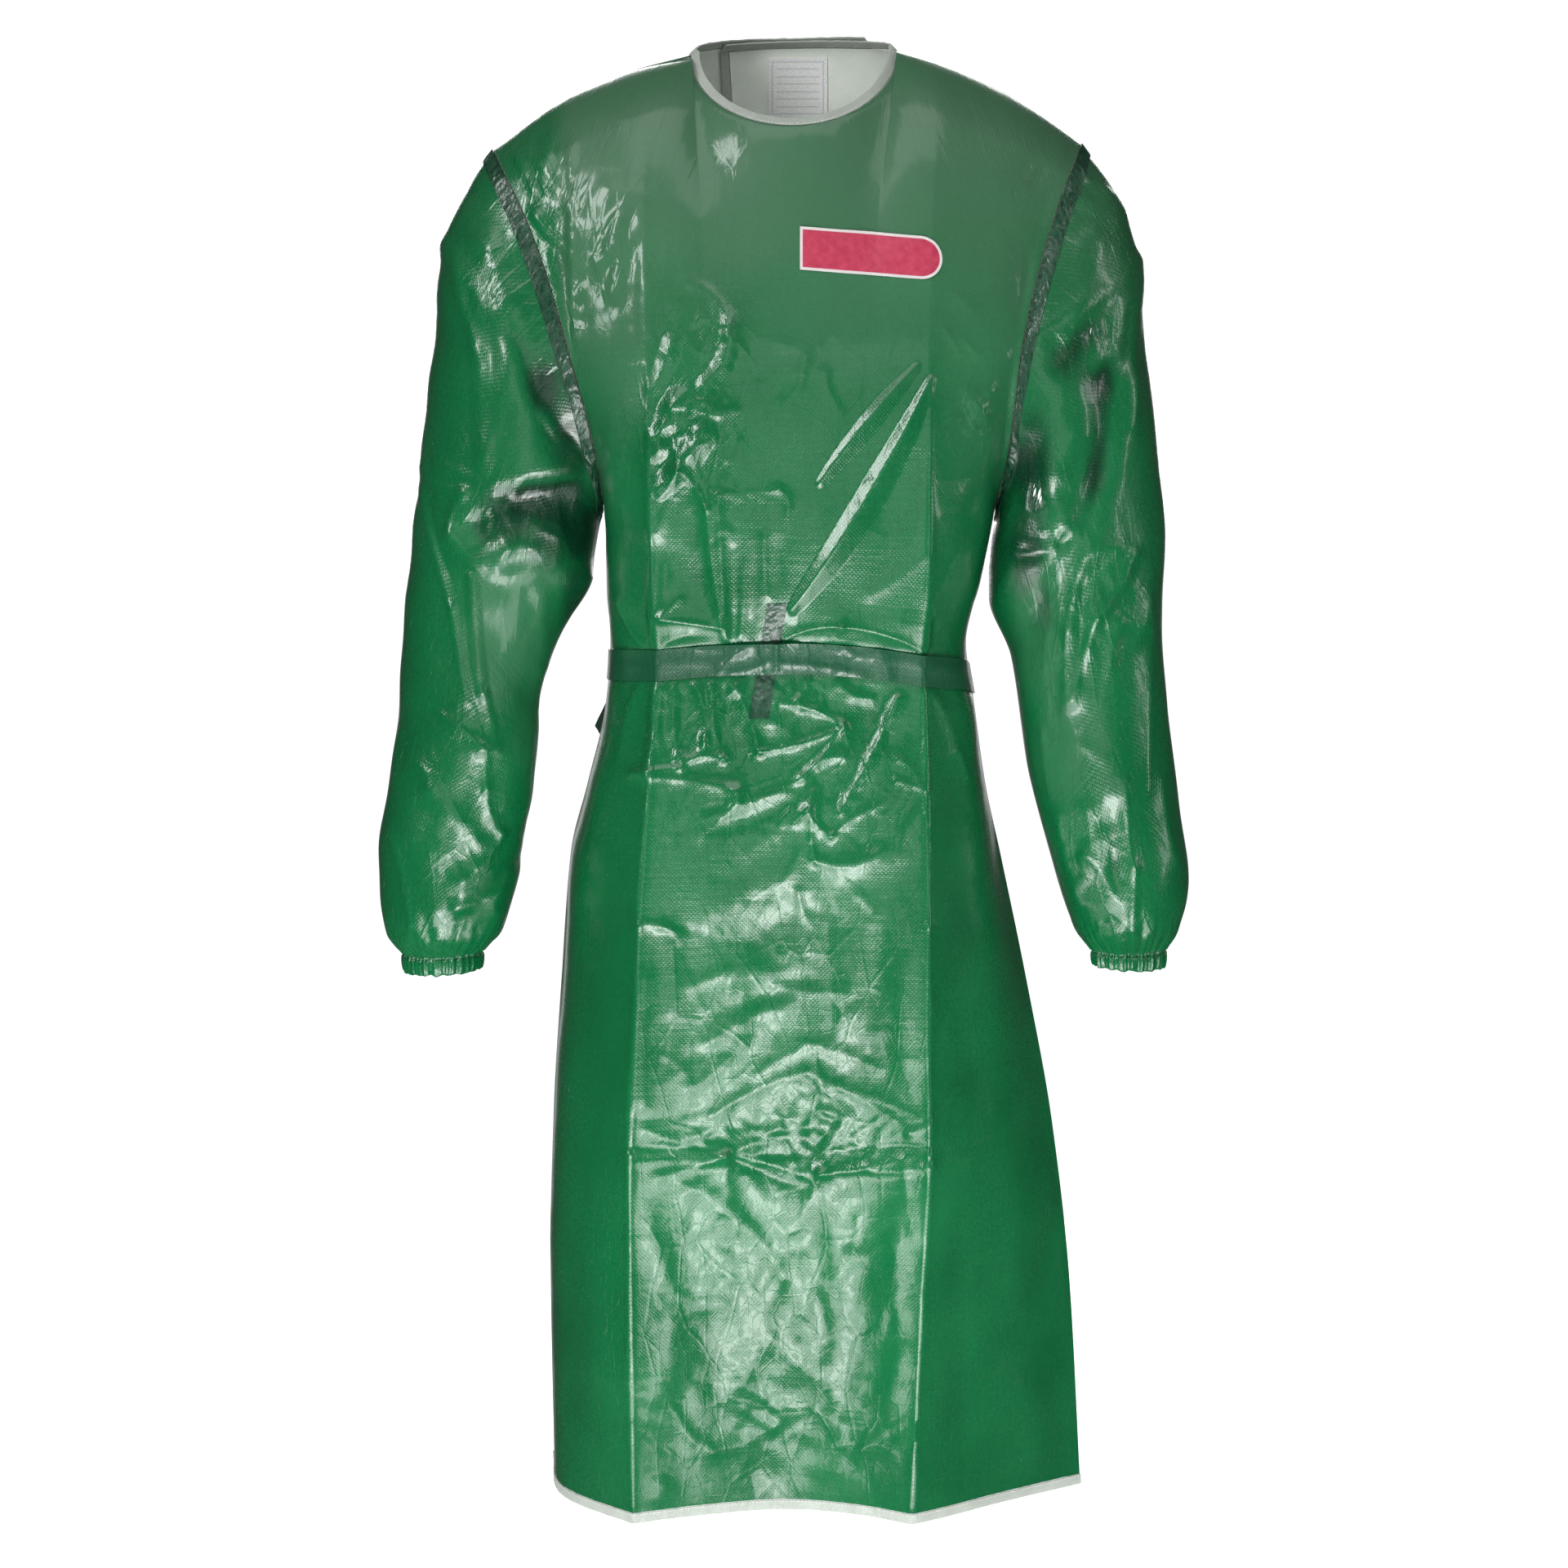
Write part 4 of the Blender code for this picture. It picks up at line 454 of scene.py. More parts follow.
def through_keys(keys, t, sharp):
    """Points at station t of a cubic curve through the key points (key, row, column, 2). Each
    key's tangent is the length-weighted mean of the runs either side of it, turned towards
    each run by the key's sharpness, so that sharpness 1 is a corner."""
    count = len(keys)
    t = np.asarray(t, float)
    i = np.clip(np.floor(t).astype(int), 0, count - 2)
    f = (t - i)[:, None]
    column = np.arange(len(t))

    def key(index):
        """The key points of an index, which is kept within the table."""
        return keys[np.clip(index, 0, count - 1), :, column].transpose(1, 0, 2)

    before, start, end, after = key(i - 1), key(i), key(i + 1), key(i + 2)

    def length(a, b):
        """The distance between points, never quite 0."""
        return np.maximum(np.linalg.norm(b - a, axis=-1, keepdims=True), 1e-6)

    span = length(start, end)
    run = (end - start) / span

    def blended(other, other_length, sharpness):
        """The length-weighted mean of the run and the other one, turned to the run."""
        smooth = (other * span + run * other_length) / (span + other_length)
        return smooth + (run - smooth) * sharpness[None, :, None]

    length_before = length(before, start)
    length_after = length(end, after)
    run_before = np.where((i == 0)[None, :, None], run, (start - before) / length_before)
    run_after = np.where((i == count - 2)[None, :, None], run, (after - end) / length_after)
    return cubic(f, start, blended(run_before, length_before, sharp[i]) * span,
                 end, blended(run_after, length_after, sharp[i + 1]) * span)


def body_at(name, z, unit=MM):
    """A length, or with unit 1 a share, of the body's table at the heights z."""
    return smooth_rows(z, [row.z * MM for row in BODY],
                       [getattr(row, name) * unit for row in BODY])


def section_keys(z, front):
    """The nine key points (x, y) of the front or the back at the heights z (row, column)."""
    left = np.stack([body_at("left_x", z),
                     body_at("left_front" if front else "left_back", z)], -1)
    right = np.stack([body_at("right_x", z),
                      body_at("right_front" if front else "right_back", z)], -1)
    if front:
        crease_y = body_at("crease_y", z)
        middle_y = body_at("centre_y", z)
        left_crease = np.stack([body_at("crease_left", z), crease_y], -1)
        right_crease = np.stack([body_at("crease_right", z), crease_y], -1)
        middle_share = FRONT_MIDDLE_SHARE
    else:
        middle_y = body_at("back_y", z)
        half = body_at("back_half", z)
        left_crease = np.stack([-half, middle_y * BACK_CORNER_SHARE], -1)
        right_crease = np.stack([half, middle_y * BACK_CORNER_SHARE], -1)
        middle_share = BACK_MIDDLE_SHARE
    middle = np.stack([np.zeros_like(z), middle_y], -1)

    def side(edge, crease, name):
        """The key point between a side seam and a crease, pushed out by the roundness."""
        roundness = body_at(name, z, 1)
        across = 0.5 + ROUND_SIDE_OUT * roundness
        deep = 0.5 - ROUND_SIDE_DEEP * roundness
        return np.stack([crease[..., 0] + (edge[..., 0] - crease[..., 0]) * across,
                         crease[..., 1] + (edge[..., 1] - crease[..., 1]) * deep], -1)

    def inner(crease):
        """The key point between a crease and the middle, partly levelled with the middle."""
        levelled = crease[..., 1] + (middle[..., 1] - crease[..., 1]) * MIDDLE_LEVELLING
        return np.stack([crease[..., 0] * middle_share, levelled], -1)

    return np.stack([
        left, side(left, left_crease, "round_left"), left_crease, inner(left_crease), middle,
        inner(right_crease), right_crease, side(right, right_crease, "round_right"), right,
    ])


def neck_edge(turn, front):
    """The neck edge: half an ellipse for a turn from 0 at the left neck point to pi at the
    right one, dropping by the sine of the turn at the front."""
    reach = -NECK_FRONT_REACH if front else NECK_BACK_REACH
    level = NECK_LEFT_Z + (NECK_RIGHT_Z - NECK_LEFT_Z) * turn / pi
    change = -NECK_FRONT_DROP if front else NECK_BACK_RISE
    return np.stack([NECK_CENTRE_X - NECK_HALF_WIDTH * np.cos(turn), reach * np.sin(turn),
                     level + change * np.sin(turn)], -1)


def top_line(t, front):
    """The shoulder line out to each armhole and the neck edge between, at the stations t."""
    line = neck_edge(np.clip((t - 3) / 2, 0, 1) * pi, front)
    ends = neck_edge(np.array([0.0, pi]), front)
    stations = np.arange(4.0)
    for on, station, neck_point, x, z in (
            (t < 3, t, ends[0], "left_x", "left_z"),
            (t > 5, 8 - t, ends[1], "right_x", "right_z")):
        xs = [getattr(point, x) * MM for point in SHOULDER] + [neck_point[0]]
        zs = [getattr(point, z) * MM for point in SHOULDER] + [neck_point[2]]
        line[on] = np.stack([smooth_rows(station[on], stations, xs), 0 * station[on],
                             smooth_rows(station[on], stations, zs)], -1)
    return line


def belt_dip(t, front):
    """How far the belt line lies below its middle: a power of the way round to the side."""
    side = np.abs(t - 4) / 4
    at_side = np.where(t < 4, BELT_DIP_LEFT, BELT_DIP_RIGHT)
    if front:
        return at_side * side ** 1.5
    return BELT_DIP_BACK + (at_side - BELT_DIP_BACK) * side ** 2


def body_levels(t, front, levels):
    """The body's surface at the given levels, each level line sinking with the belt near it."""
    levels = np.asarray(levels, float) * MM
    near_belt = np.exp(-(((levels - BELT_HEIGHT * MM) / BELT_DIP_REACH) ** 2))
    below_arm = np.clip((UNDERARM_Z - levels) / UNDERARM_EASE, 0, 1)
    z = levels[:, None] - (near_belt * below_arm)[:, None] * belt_dip(t, front)[None, :]
    sharp = np.zeros(9)
    sharp[[2, 6]] = FRONT_CREASE_SHARPNESS if front else BACK_CREASE_SHARPNESS
    flat = through_keys(section_keys(z, front), t, sharp)
    return np.concatenate([flat, z[..., None]], -1)


def body_surface(t, front, top_rows, levels):
    """The front or the back as a grid. Its first rows round over the shoulder on quarters of
    ellipses from the top line to the first level, and the join is eased."""
    lower = body_levels(t, front, levels)
    top = top_line(t, front)
    base = lower[0]
    turn = (np.arange(top_rows) / top_rows * pi / 2)[:, None]
    flatness = NECK_FLATNESS * np.exp(-(((t - 4) / NECK_FLAT_REACH) ** 2))[None, :]
    out = (1 - flatness) * np.sin(turn) + flatness * (1 - np.cos(turn))
    upper = np.empty((top_rows, len(t), 3))
    upper[..., 0] = base[:, 0] + (top[:, 0] - base[:, 0]) * np.cos(turn) ** SHOULDER_WIDTH_POWER
    upper[..., 1] = top[:, 1] + (base[:, 1] - top[:, 1]) * out
    upper[..., 2] = base[:, 2] + (top[:, 2] - base[:, 2]) * np.cos(turn)
    grid = np.concatenate([upper, lower])
    return eased(grid, top_rows, EASED_ROWS, EASING_ROUNDS)


EASED_ROWS = 22
EASING_ROUNDS = 160


def eased(grid, row, reach, rounds):
    """The grid with the rows around one row drawn towards the mean of their neighbours, most
    at that row and not at all past the reach."""
    grid = grid.copy()
    inner = np.arange(1, len(grid) - 1)
    pull = 0.5 * np.clip(1 - np.abs(inner - row) / reach, 0, 1)[:, None, None]
    for _ in range(rounds):
        mean = (grid[:-2] + grid[2:]) / 2
        grid[1:-1] += (mean - grid[1:-1]) * pull
    return grid


def normals_of(grid, closed=False):
    """Unit normals, each the cross product of the grid's two directions, pointing away from
    the garment's middle line or, for a tube, from the tube's."""
    if closed:
        across = np.roll(grid, -1, 1) - np.roll(grid, 1, 1)
        centre = grid.mean(1, keepdims=True)
    else:
        across = np.gradient(grid, axis=1)
        centre = 0
    normal = np.cross(across, np.gradient(grid, axis=0))
    normal /= np.maximum(np.linalg.norm(normal, axis=-1, keepdims=True), 1e-12)
    away = ((grid - centre)[..., :2] * normal[..., :2]).sum()
    return normal if away > 0 else -normal


def fold_heights(x, z, folds, least=0.8):
    """Height in mm at the points (x, z) in mm. Each fold adds height * exp(-(gap / width) **
    edge), where gap is the distance to its bowed line less a rounding at the crest, more for
    a high fold. A fold with edge 0 is a tent of two flat sides: height * (1 - gap / (2 width)).
    Soft folds die away over a quarter of their length at each end."""
    total = np.zeros(x.shape)
    for row in folds:
        fold = Fold(*row)
        crest = least + 0.8 * max(abs(fold.height0), abs(fold.height1), 3) - 2.4
        run_x = fold.x1 - fold.x0
        run_z = fold.z1 - fold.z0
        run = np.hypot(run_x, run_z)
        reach = 4.5 * max(fold.width0, fold.width1) * (1 + fold.belly) + abs(fold.bow)
        near = ((x > min(fold.x0, fold.x1) - reach) & (x < max(fold.x0, fold.x1) + reach)
                & (z > min(fold.z0, fold.z1) - reach) & (z < max(fold.z0, fold.z1) + reach))
        if not near.any():
            continue
        off_x = x[near] - fold.x0
        off_z = z[near] - fold.z0
        along = (off_x * run_x + off_z * run_z) / run
        across = (off_z * run_x - off_x * run_z) / run
        share = np.clip(along / run, 0, 1)
        beyond = along - share * run
        across = across - fold.bow * 4 * share * (1 - share)
        gap = np.sqrt(across**2 + beyond**2 + crest**2) - crest
        swell = 1 + fold.belly * 4 * share * (1 - share)
        width = (fold.width0 + (fold.width1 - fold.width0) * share) * swell
        width = width * (1 + fold.lean * np.clip(across / 2, -1, 1))
        height = (fold.height0 + (fold.height1 - fold.height0) * share) * swell
        if fold.edge > 1.5:
            height = height * np.minimum(np.minimum(share, 1 - share) / 0.25, 1) ** 0.7
        if fold.edge:
            total[near] += height * np.exp(-((gap / width) ** fold.edge))
        else:
            total[near] += height * np.maximum(1 - gap / (2 * width), 0)
    return total


def crinkle_folds(patches, seed):
    """Short sharp folds scattered over each patch with a seeded generator. Half of them are
    troughs."""
    draw = np.random.default_rng(seed)
    made = []
    for row in patches:
        patch = Crinkle(*row)
        for _ in range(patch.count):
            place = draw.normal(0, 0.5, 2)
            angle = radians(patch.angle + draw.normal(0, patch.scatter))
            half = patch.length * draw.uniform(0.3, 1.0)
            x = patch.x + patch.half_x * np.clip(place[0], -1.1, 1.1)
            z = patch.z + patch.half_z * np.clip(place[1], -1.1, 1.1)
            height = patch.height * draw.uniform(0.15, 0.7) * draw.choice([-0.8, 1.0])
            width = patch.width * draw.uniform(0.6, 1.3)
            made.append(Fold(
                x - half * np.cos(angle), z - half * np.sin(angle),
                x + half * np.cos(angle), z + half * np.sin(angle),
                draw.normal(0, half * 0.15), width, width * draw.uniform(0.6, 1.4),
                height, height * draw.uniform(0.2, 1.0), 0))
    return made


def soft_step(value, low, high):
    """0 below low, 1 above high, and a smooth cubic between."""
    f = np.clip((value - low) / (high - low), 0, 1)
    return f * f * (3 - 2 * f)


def spread(ends, counts):
    """Stations from the first end to the last, with the given count of steps between each
    two ends."""
    parts = [np.linspace(a, b, n + 1)[:-1] for a, b, n in zip(ends[:-1], ends[1:], counts)]
    return np.concatenate(parts + [np.array(ends[-1:], float)])


# ---------- Meshes ----------

def walked_along(path):
    """The distance walked at each point of a path."""
    return np.append(0.0, np.cumsum(np.linalg.norm(np.diff(path, axis=0), axis=1)))


def quads(number):
    """The faces of a grid of point numbers."""
    return np.stack([number[:-1, :-1], number[:-1, 1:], number[1:, 1:], number[1:, :-1]],
                    -1).reshape(-1, 4)


def cloth_map(grid):
    """Cloth coordinates in metres: the distance along each row from its middle, and the
    distance down the middle column."""
    across = np.linalg.norm(np.diff(grid, axis=1), axis=-1)
    u = np.concatenate([np.zeros((len(grid), 1)), np.cumsum(across, 1)], 1)
    middle = grid.shape[1] // 2
    v = -walked_along(grid[:, middle])
    return np.stack([u - u[:, middle:middle + 1], np.broadcast_to(v[:, None], u.shape)], -1)


def raw_mesh(name, points, faces, face_uv, slots, materials):
    """A mesh from points, a list of face arrays, the map places of their corners, and the
    material slot of each array."""
    mesh = bpy.data.meshes.new(name)
    sizes = np.concatenate([np.full(len(block), block.shape[1]) for block in faces])
    corners = np.concatenate([block.reshape(-1) for block in faces])
    mesh.vertices.add(len(points))
    mesh.vertices.foreach_set("co", np.asarray(points, np.float32).reshape(-1))
    mesh.loops.add(len(corners))
    mesh.loops.foreach_set("vertex_index", corners.astype(np.int32))
    mesh.polygons.add(len(sizes))
    starts = np.concatenate([[0], np.cumsum(sizes)[:-1]])
    mesh.polygons.foreach_set("loop_start", starts.astype(np.int32))
    slot_of = np.concatenate([np.full(len(block), s) for block, s in zip(faces, slots)])
    mesh.polygons.foreach_set("material_index", slot_of.astype(np.int32))
    mesh.update(calc_edges=True)
    layer = mesh.uv_layers.new(name="cloth")
    uv = np.concatenate([block.reshape(-1, 2) for block in face_uv])
    layer.data.foreach_set("uv", uv.astype(np.float32).reshape(-1))
    for each in materials:
        mesh.materials.append(each)
    mesh.shade_smooth()
    made = bpy.data.objects.new(name, mesh)
    bpy.context.scene.collection.objects.link(made)
    return made


COARSER = 4


def rim(outer, inner):
    """Triangles that join a closed loop of points to a loop of a quarter as many. Each run of
    four outer edges fans out from two inner points, and one more triangle fills between."""
    runs = outer.reshape(-1, COARSER)
    runs = np.concatenate([runs, np.roll(runs[:, :1], -1, 0)], 1)
    after = np.roll(inner, -1)
    half = COARSER // 2
    made = [np.stack([runs[:, j + 1], runs[:, j], inner if j < half else after], 1)
            for j in range(COARSER)]
    made.append(np.stack([runs[:, half], inner, after], 1))
    return np.concatenate(made)


def border_loop(number):
    """The numbers round an open grid's border, in the faces' own direction."""
    return np.concatenate([number[0, :-1], number[:-1, -1], number[-1, :0:-1], number[:0:-1, 0]])


def spread_least(values, reach, closed):
    """Each value replaced by the least one up to the reach away along rows and columns."""
    for _ in range(reach):
        wide = np.pad(values, ((1, 1), (0, 0)), mode="edge")
        values = np.minimum(np.minimum(wide[:-2], wide[1:-1]), wide[2:])
        wide = np.pad(values, ((0, 0), (1, 1)), mode="wrap" if closed else "edge")
        values = np.minimum(np.minimum(wide[:, :-2], wide[:, 1:-1]), wide[:, 2:])
    return values


def softened(grid, rounds, closed):
    """The grid with its inner points moved to a weighted mean of their neighbours."""
    soft = grid.copy()
    for _ in range(rounds):
        soft[1:-1] = (soft[:-2] + 2 * soft[1:-1] + soft[2:]) / 4
        if closed:
            soft = (np.roll(soft, 1, 1) + 2 * soft + np.roll(soft, -1, 1)) / 4
        else:
            soft[:, 1:-1] = (soft[:, :-2] + 2 * soft[:, 1:-1] + soft[:, 2:]) / 4
    return soft


def turned(blocks):
    """Face arrays, or their map places, in the other direction."""
    return [block[:, ::-1] for block in blocks]


def shell(name, grid, depth, outside, inside, closed=False, normal=None, marks=None):
    """A thin closed shell. Its outside is the grid. Its inside has a quarter of the rows and
    columns: softened points, moved in by the depth below the deepest trough near them. Marks
    are values kept with each point of the outside, for the materials."""
    soft = softened(grid, 4, closed)
    if normal is None:
        normal = normals_of(soft, closed)
    proud = ((grid - soft) * normal).sum(-1)
    least = spread_least(proud, COARSER, closed) - depth
    within = (soft + normal * least[..., None])[::COARSER, ::COARSER]
    rows, columns = grid.shape[:2]
    low_rows, low_columns = within.shape[:2]
    number = np.arange(rows * columns).reshape(rows, columns)
    low = np.arange(low_rows * low_columns).reshape(low_rows, low_columns) + rows * columns
    flat_map = cloth_map(np.concatenate([grid, grid[:, :1]], 1) if closed else grid)
    low_map = cloth_map(np.concatenate([within, within[:, :1]], 1) if closed else within)
    if closed:
        rims = [rim(number[0], low[0]), rim(number[-1, ::-1][np.r_[-1, :columns - 1]],
                                            low[-1, ::-1][np.r_[-1, :low_columns - 1]])]
        map_number = np.arange(rows * (columns + 1)).reshape(rows, columns + 1)
        low_map_number = np.arange(low_rows * (low_columns + 1)).reshape(low_rows, -1)
        number = np.concatenate([number, number[:, :1]], 1)
        low = np.concatenate([low, low[:, :1]], 1)
    else:
        rims = [rim(border_loop(number), border_loop(low))]
        map_number = number
        low_map_number = low - rows * columns
    back = [0, 3, 2, 1]
    faces = [quads(number), quads(low)[:, back]] + rims
    uv = [flat_map.reshape(-1, 2)[quads(map_number)],
          low_map.reshape(-1, 2)[quads(low_map_number)[:, back]]]
    uv += [np.zeros(block.shape + (2,)) for block in rims]
    points = np.concatenate([grid.reshape(-1, 3), within.reshape(-1, 3)])
    row = rows // 2
    column = columns // 2
    across = grid[row, column + 1] - grid[row, column]
    down = grid[row + 1, column] - grid[row, column]
    if (np.cross(across, down) * normal[row, column]).sum() < 0:
        faces, uv = turned(faces), turned(uv)
    slots = [0, 1] + [2 if len(outside) > 1 else 0] * len(rims)
    made = raw_mesh(name, points, faces, uv, slots, [outside[0], inside, outside[-1]])
    made.data.set_sharp_from_angle(angle=radians(70))
    for label, values in (marks or {}).items():
        layer = made.data.attributes.new(label, "FLOAT", "POINT")
        full = np.zeros(len(points), np.float32)
        full[:rows * columns] = values.reshape(-1)
        layer.data.foreach_set("value", full)
    return made


def turned_outwards(points, faces, uv):
    """The faces of a closed form and their map places, turned over if the volume under the
    first of them is negative."""
    corner = points[faces[0]] - points.mean(0)
    volume = sum((corner[:, 0] * np.cross(corner[:, i], corner[:, i + 1])).sum() for i in (1, 2))
    return (turned(faces), turned(uv)) if volume < 0 else (faces, uv)


def tube(name, path, side, rise, profile, finish):
    """A closed profile carried along a path: at each point of the path, profile (a, b) is put
    at path + a * side + b * rise. The ends are closed with a fan."""
    ring = (path[:, None] + profile[None, :, :1] * side[:, None]
            + profile[None, :, 1:] * rise[:, None])
    rows, columns = ring.shape[:2]
    number = np.arange(rows * columns).reshape(rows, columns)
    wrapped = np.concatenate([number, number[:, :1]], 1)
    map_number = np.arange(wrapped.size).reshape(wrapped.shape)
    walked = walked_along(path)
    round_it = walked_along(np.concatenate([profile, profile[:1]]))
    uv_grid = np.stack(np.broadcast_arrays(walked[:, None], round_it[None, :]), -1)
    points = np.concatenate([ring.reshape(-1, 3), ring[[0, -1]].mean(1)])
    faces = [quads(wrapped)]
    uv = [uv_grid.reshape(-1, 2)[quads(map_number)]]
    for edge, hub, way in ((number[0], rows * columns, 1), (number[-1], rows * columns + 1, -1)):
        fan = np.stack([np.roll(edge, -1), edge, np.full(columns, hub)], 1)
        faces.append(fan[:, ::way])
        uv.append(np.zeros((columns, 3, 2)))
    faces, uv = turned_outwards(points, faces, uv)
    made = raw_mesh(name, points, faces, uv, [0, 0, 0], [finish])
    made.data.set_sharp_from_angle(angle=radians(60))
    return made


def rounded_band(low, high, radius):
    """The outline of a flat band with round edges: (through, along) from low to high, as two
    half circles joined by straight sides."""
    turn = np.linspace(-pi / 2, pi / 2, 6)
    round_end = radius * np.stack([np.sin(turn), np.cos(turn) - 1], 1)
    return np.concatenate([[0, high] + round_end, [0, low] - round_end])


def settled(x, z, grid, normal):
    """Points on a front or back surface at the given x and z: from the nearest grid point,
    along its tangent plane. Also returns the normals there."""
    flat = grid.reshape(-1, 3)
    flat_normal = normal.reshape(-1, 3)
    places = np.stack([x.reshape(-1), z.reshape(-1)], 1)
    low = places.min(0) - 0.02
    high = places.max(0) + 0.02
    near = ((flat[:, [0, 2]] > low) & (flat[:, [0, 2]] < high)).all(1)
    flat = flat[near]
    flat_normal = flat_normal[near]
    gap = ((places[:, None, :] - flat[None, :, [0, 2]]) ** 2).sum(-1)
    best = gap.argmin(1)
    point = flat[best]
    way = flat_normal[best]
    y = point[:, 1] - (way[:, 0] * (places[:, 0] - point[:, 0])
                       + way[:, 2] * (places[:, 1] - point[:, 2])) / way[:, 1]
    made = np.stack([places[:, 0], y, places[:, 1]], 1).reshape(x.shape + (3,))
    return made, way.reshape(x.shape + (3,))


# ---------- Materials ----------

def colour(code):
    """An sRGB hex colour as linear light: c / 12.92 below 0.04045, and otherwise
    ((c + 0.055) / 1.055) ** 2.4."""
    srgb = np.array([int(code[i:i + 2], 16) / 255 for i in (1, 3, 5)])
    linear = np.where(srgb <= 0.04045, srgb / 12.92, ((srgb + 0.055) / 1.055) ** 2.4)
    return (*linear.tolist(), 1.0)


def feed(tree, node, inputs):
    """Give each input of a node a value or another node's output."""
    for socket, value in inputs.items():
        if isinstance(value, bpy.types.NodeSocket):
            tree.links.new(value, node.inputs[socket])
        else:
            node.inputs[socket].default_value = value


def add(tree, kind, inputs, out=0, **settings):
    """A new node with its settings and inputs: gives the output that is asked for, or the
    node itself where that is None."""
    made = tree.nodes.new("ShaderNode" + kind)
    for name, value in settings.items():
        setattr(made, name, value)
    feed(tree, made, inputs)
    return made if out is None else made.outputs[out]


def surface(name, **constants):
    """A material with a Principled shader that has the given constants. Returns the material,
    its tree and the shader."""
    made = bpy.data.materials.new(name)
    made.use_nodes = True
    shader = made.node_tree.nodes["Principled BSDF"]
    feed(made.node_tree, shader,
         {socket.replace("_", " "): value for socket, value in constants.items()})
    return made, made.node_tree, shader


def crumpled_film(tree, place, mask):
    """Height in metres of crumpled film: scattered cells, each a flat facet that leans its own
    random way, (place - cell) . (random - 0.5), at three sizes, with a raised line on the
    borders of two more sets of cells, so that sharp lines meet."""
    place = add(tree, "Mapping", {"Vector": place, "Scale": (1.25, 0.62, 1.0)})
    warp = add(tree, "TexNoise", {"Vector": place, "Scale": 22.0, "Detail": 1.0}, "Color")
    bent = add(tree, "Mix", {0: 0.008, 4: place, 5: warp}, 1, data_type="VECTOR")
    height = 0.0
    for scale, lean in ((18.0, 0.06), (48.0, 0.11), (120.0, 0.09)):
        cells = add(tree, "TexVoronoi", {"Vector": bent, "Scale": scale}, None)
        away = add(tree, "VectorMath", {0: bent, 1: cells.outputs["Position"]},
                   operation="SUBTRACT")
        tilt = add(tree, "VectorMath", {0: cells.outputs["Color"], 1: (0.5, 0.5, 0.5)},
                   operation="SUBTRACT")
        facet = add(tree, "VectorMath", {0: away, 1: tilt}, "Value", operation="DOT_PRODUCT")
        height = add(tree, "Math", {0: facet, 1: lean, 2: height}, operation="MULTIPLY_ADD")
    for scale, tall in ((26.0, 0.00020), (70.0, 0.00007)):
        border = add(tree, "TexVoronoi", {"Vector": bent, "Scale": scale}, "Distance",
                     feature="DISTANCE_TO_EDGE")
        line = add(tree, "MapRange", {0: border, 1: 0.0, 2: 0.05, 3: tall, 4: 0.0})
        height = add(tree, "Math", {0: height, 1: line}, operation="ADD")
    return add(tree, "Math", {0: height, 1: mask}, operation="MULTIPLY")


def diamonds(tree, place, pitch):
    """Height of a diamond emboss: the product of two sets of sine waves, each half a turn
    out of line with the weave of the other, pitch apart corner to corner."""
    waves = []
    for way in (pi / 4, -pi / 4):
        slant = add(tree, "Mapping", {"Vector": place, "Rotation": (0.0, 0.0, way)})
        waves.append(add(tree, "TexWave", {"Vector": slant, "Scale": 0.314 * 1.414 / pitch},
                         "Fac", wave_profile="SIN"))
    return add(tree, "Math", {0: waves[0], 1: waves[1]}, operation="MULTIPLY")


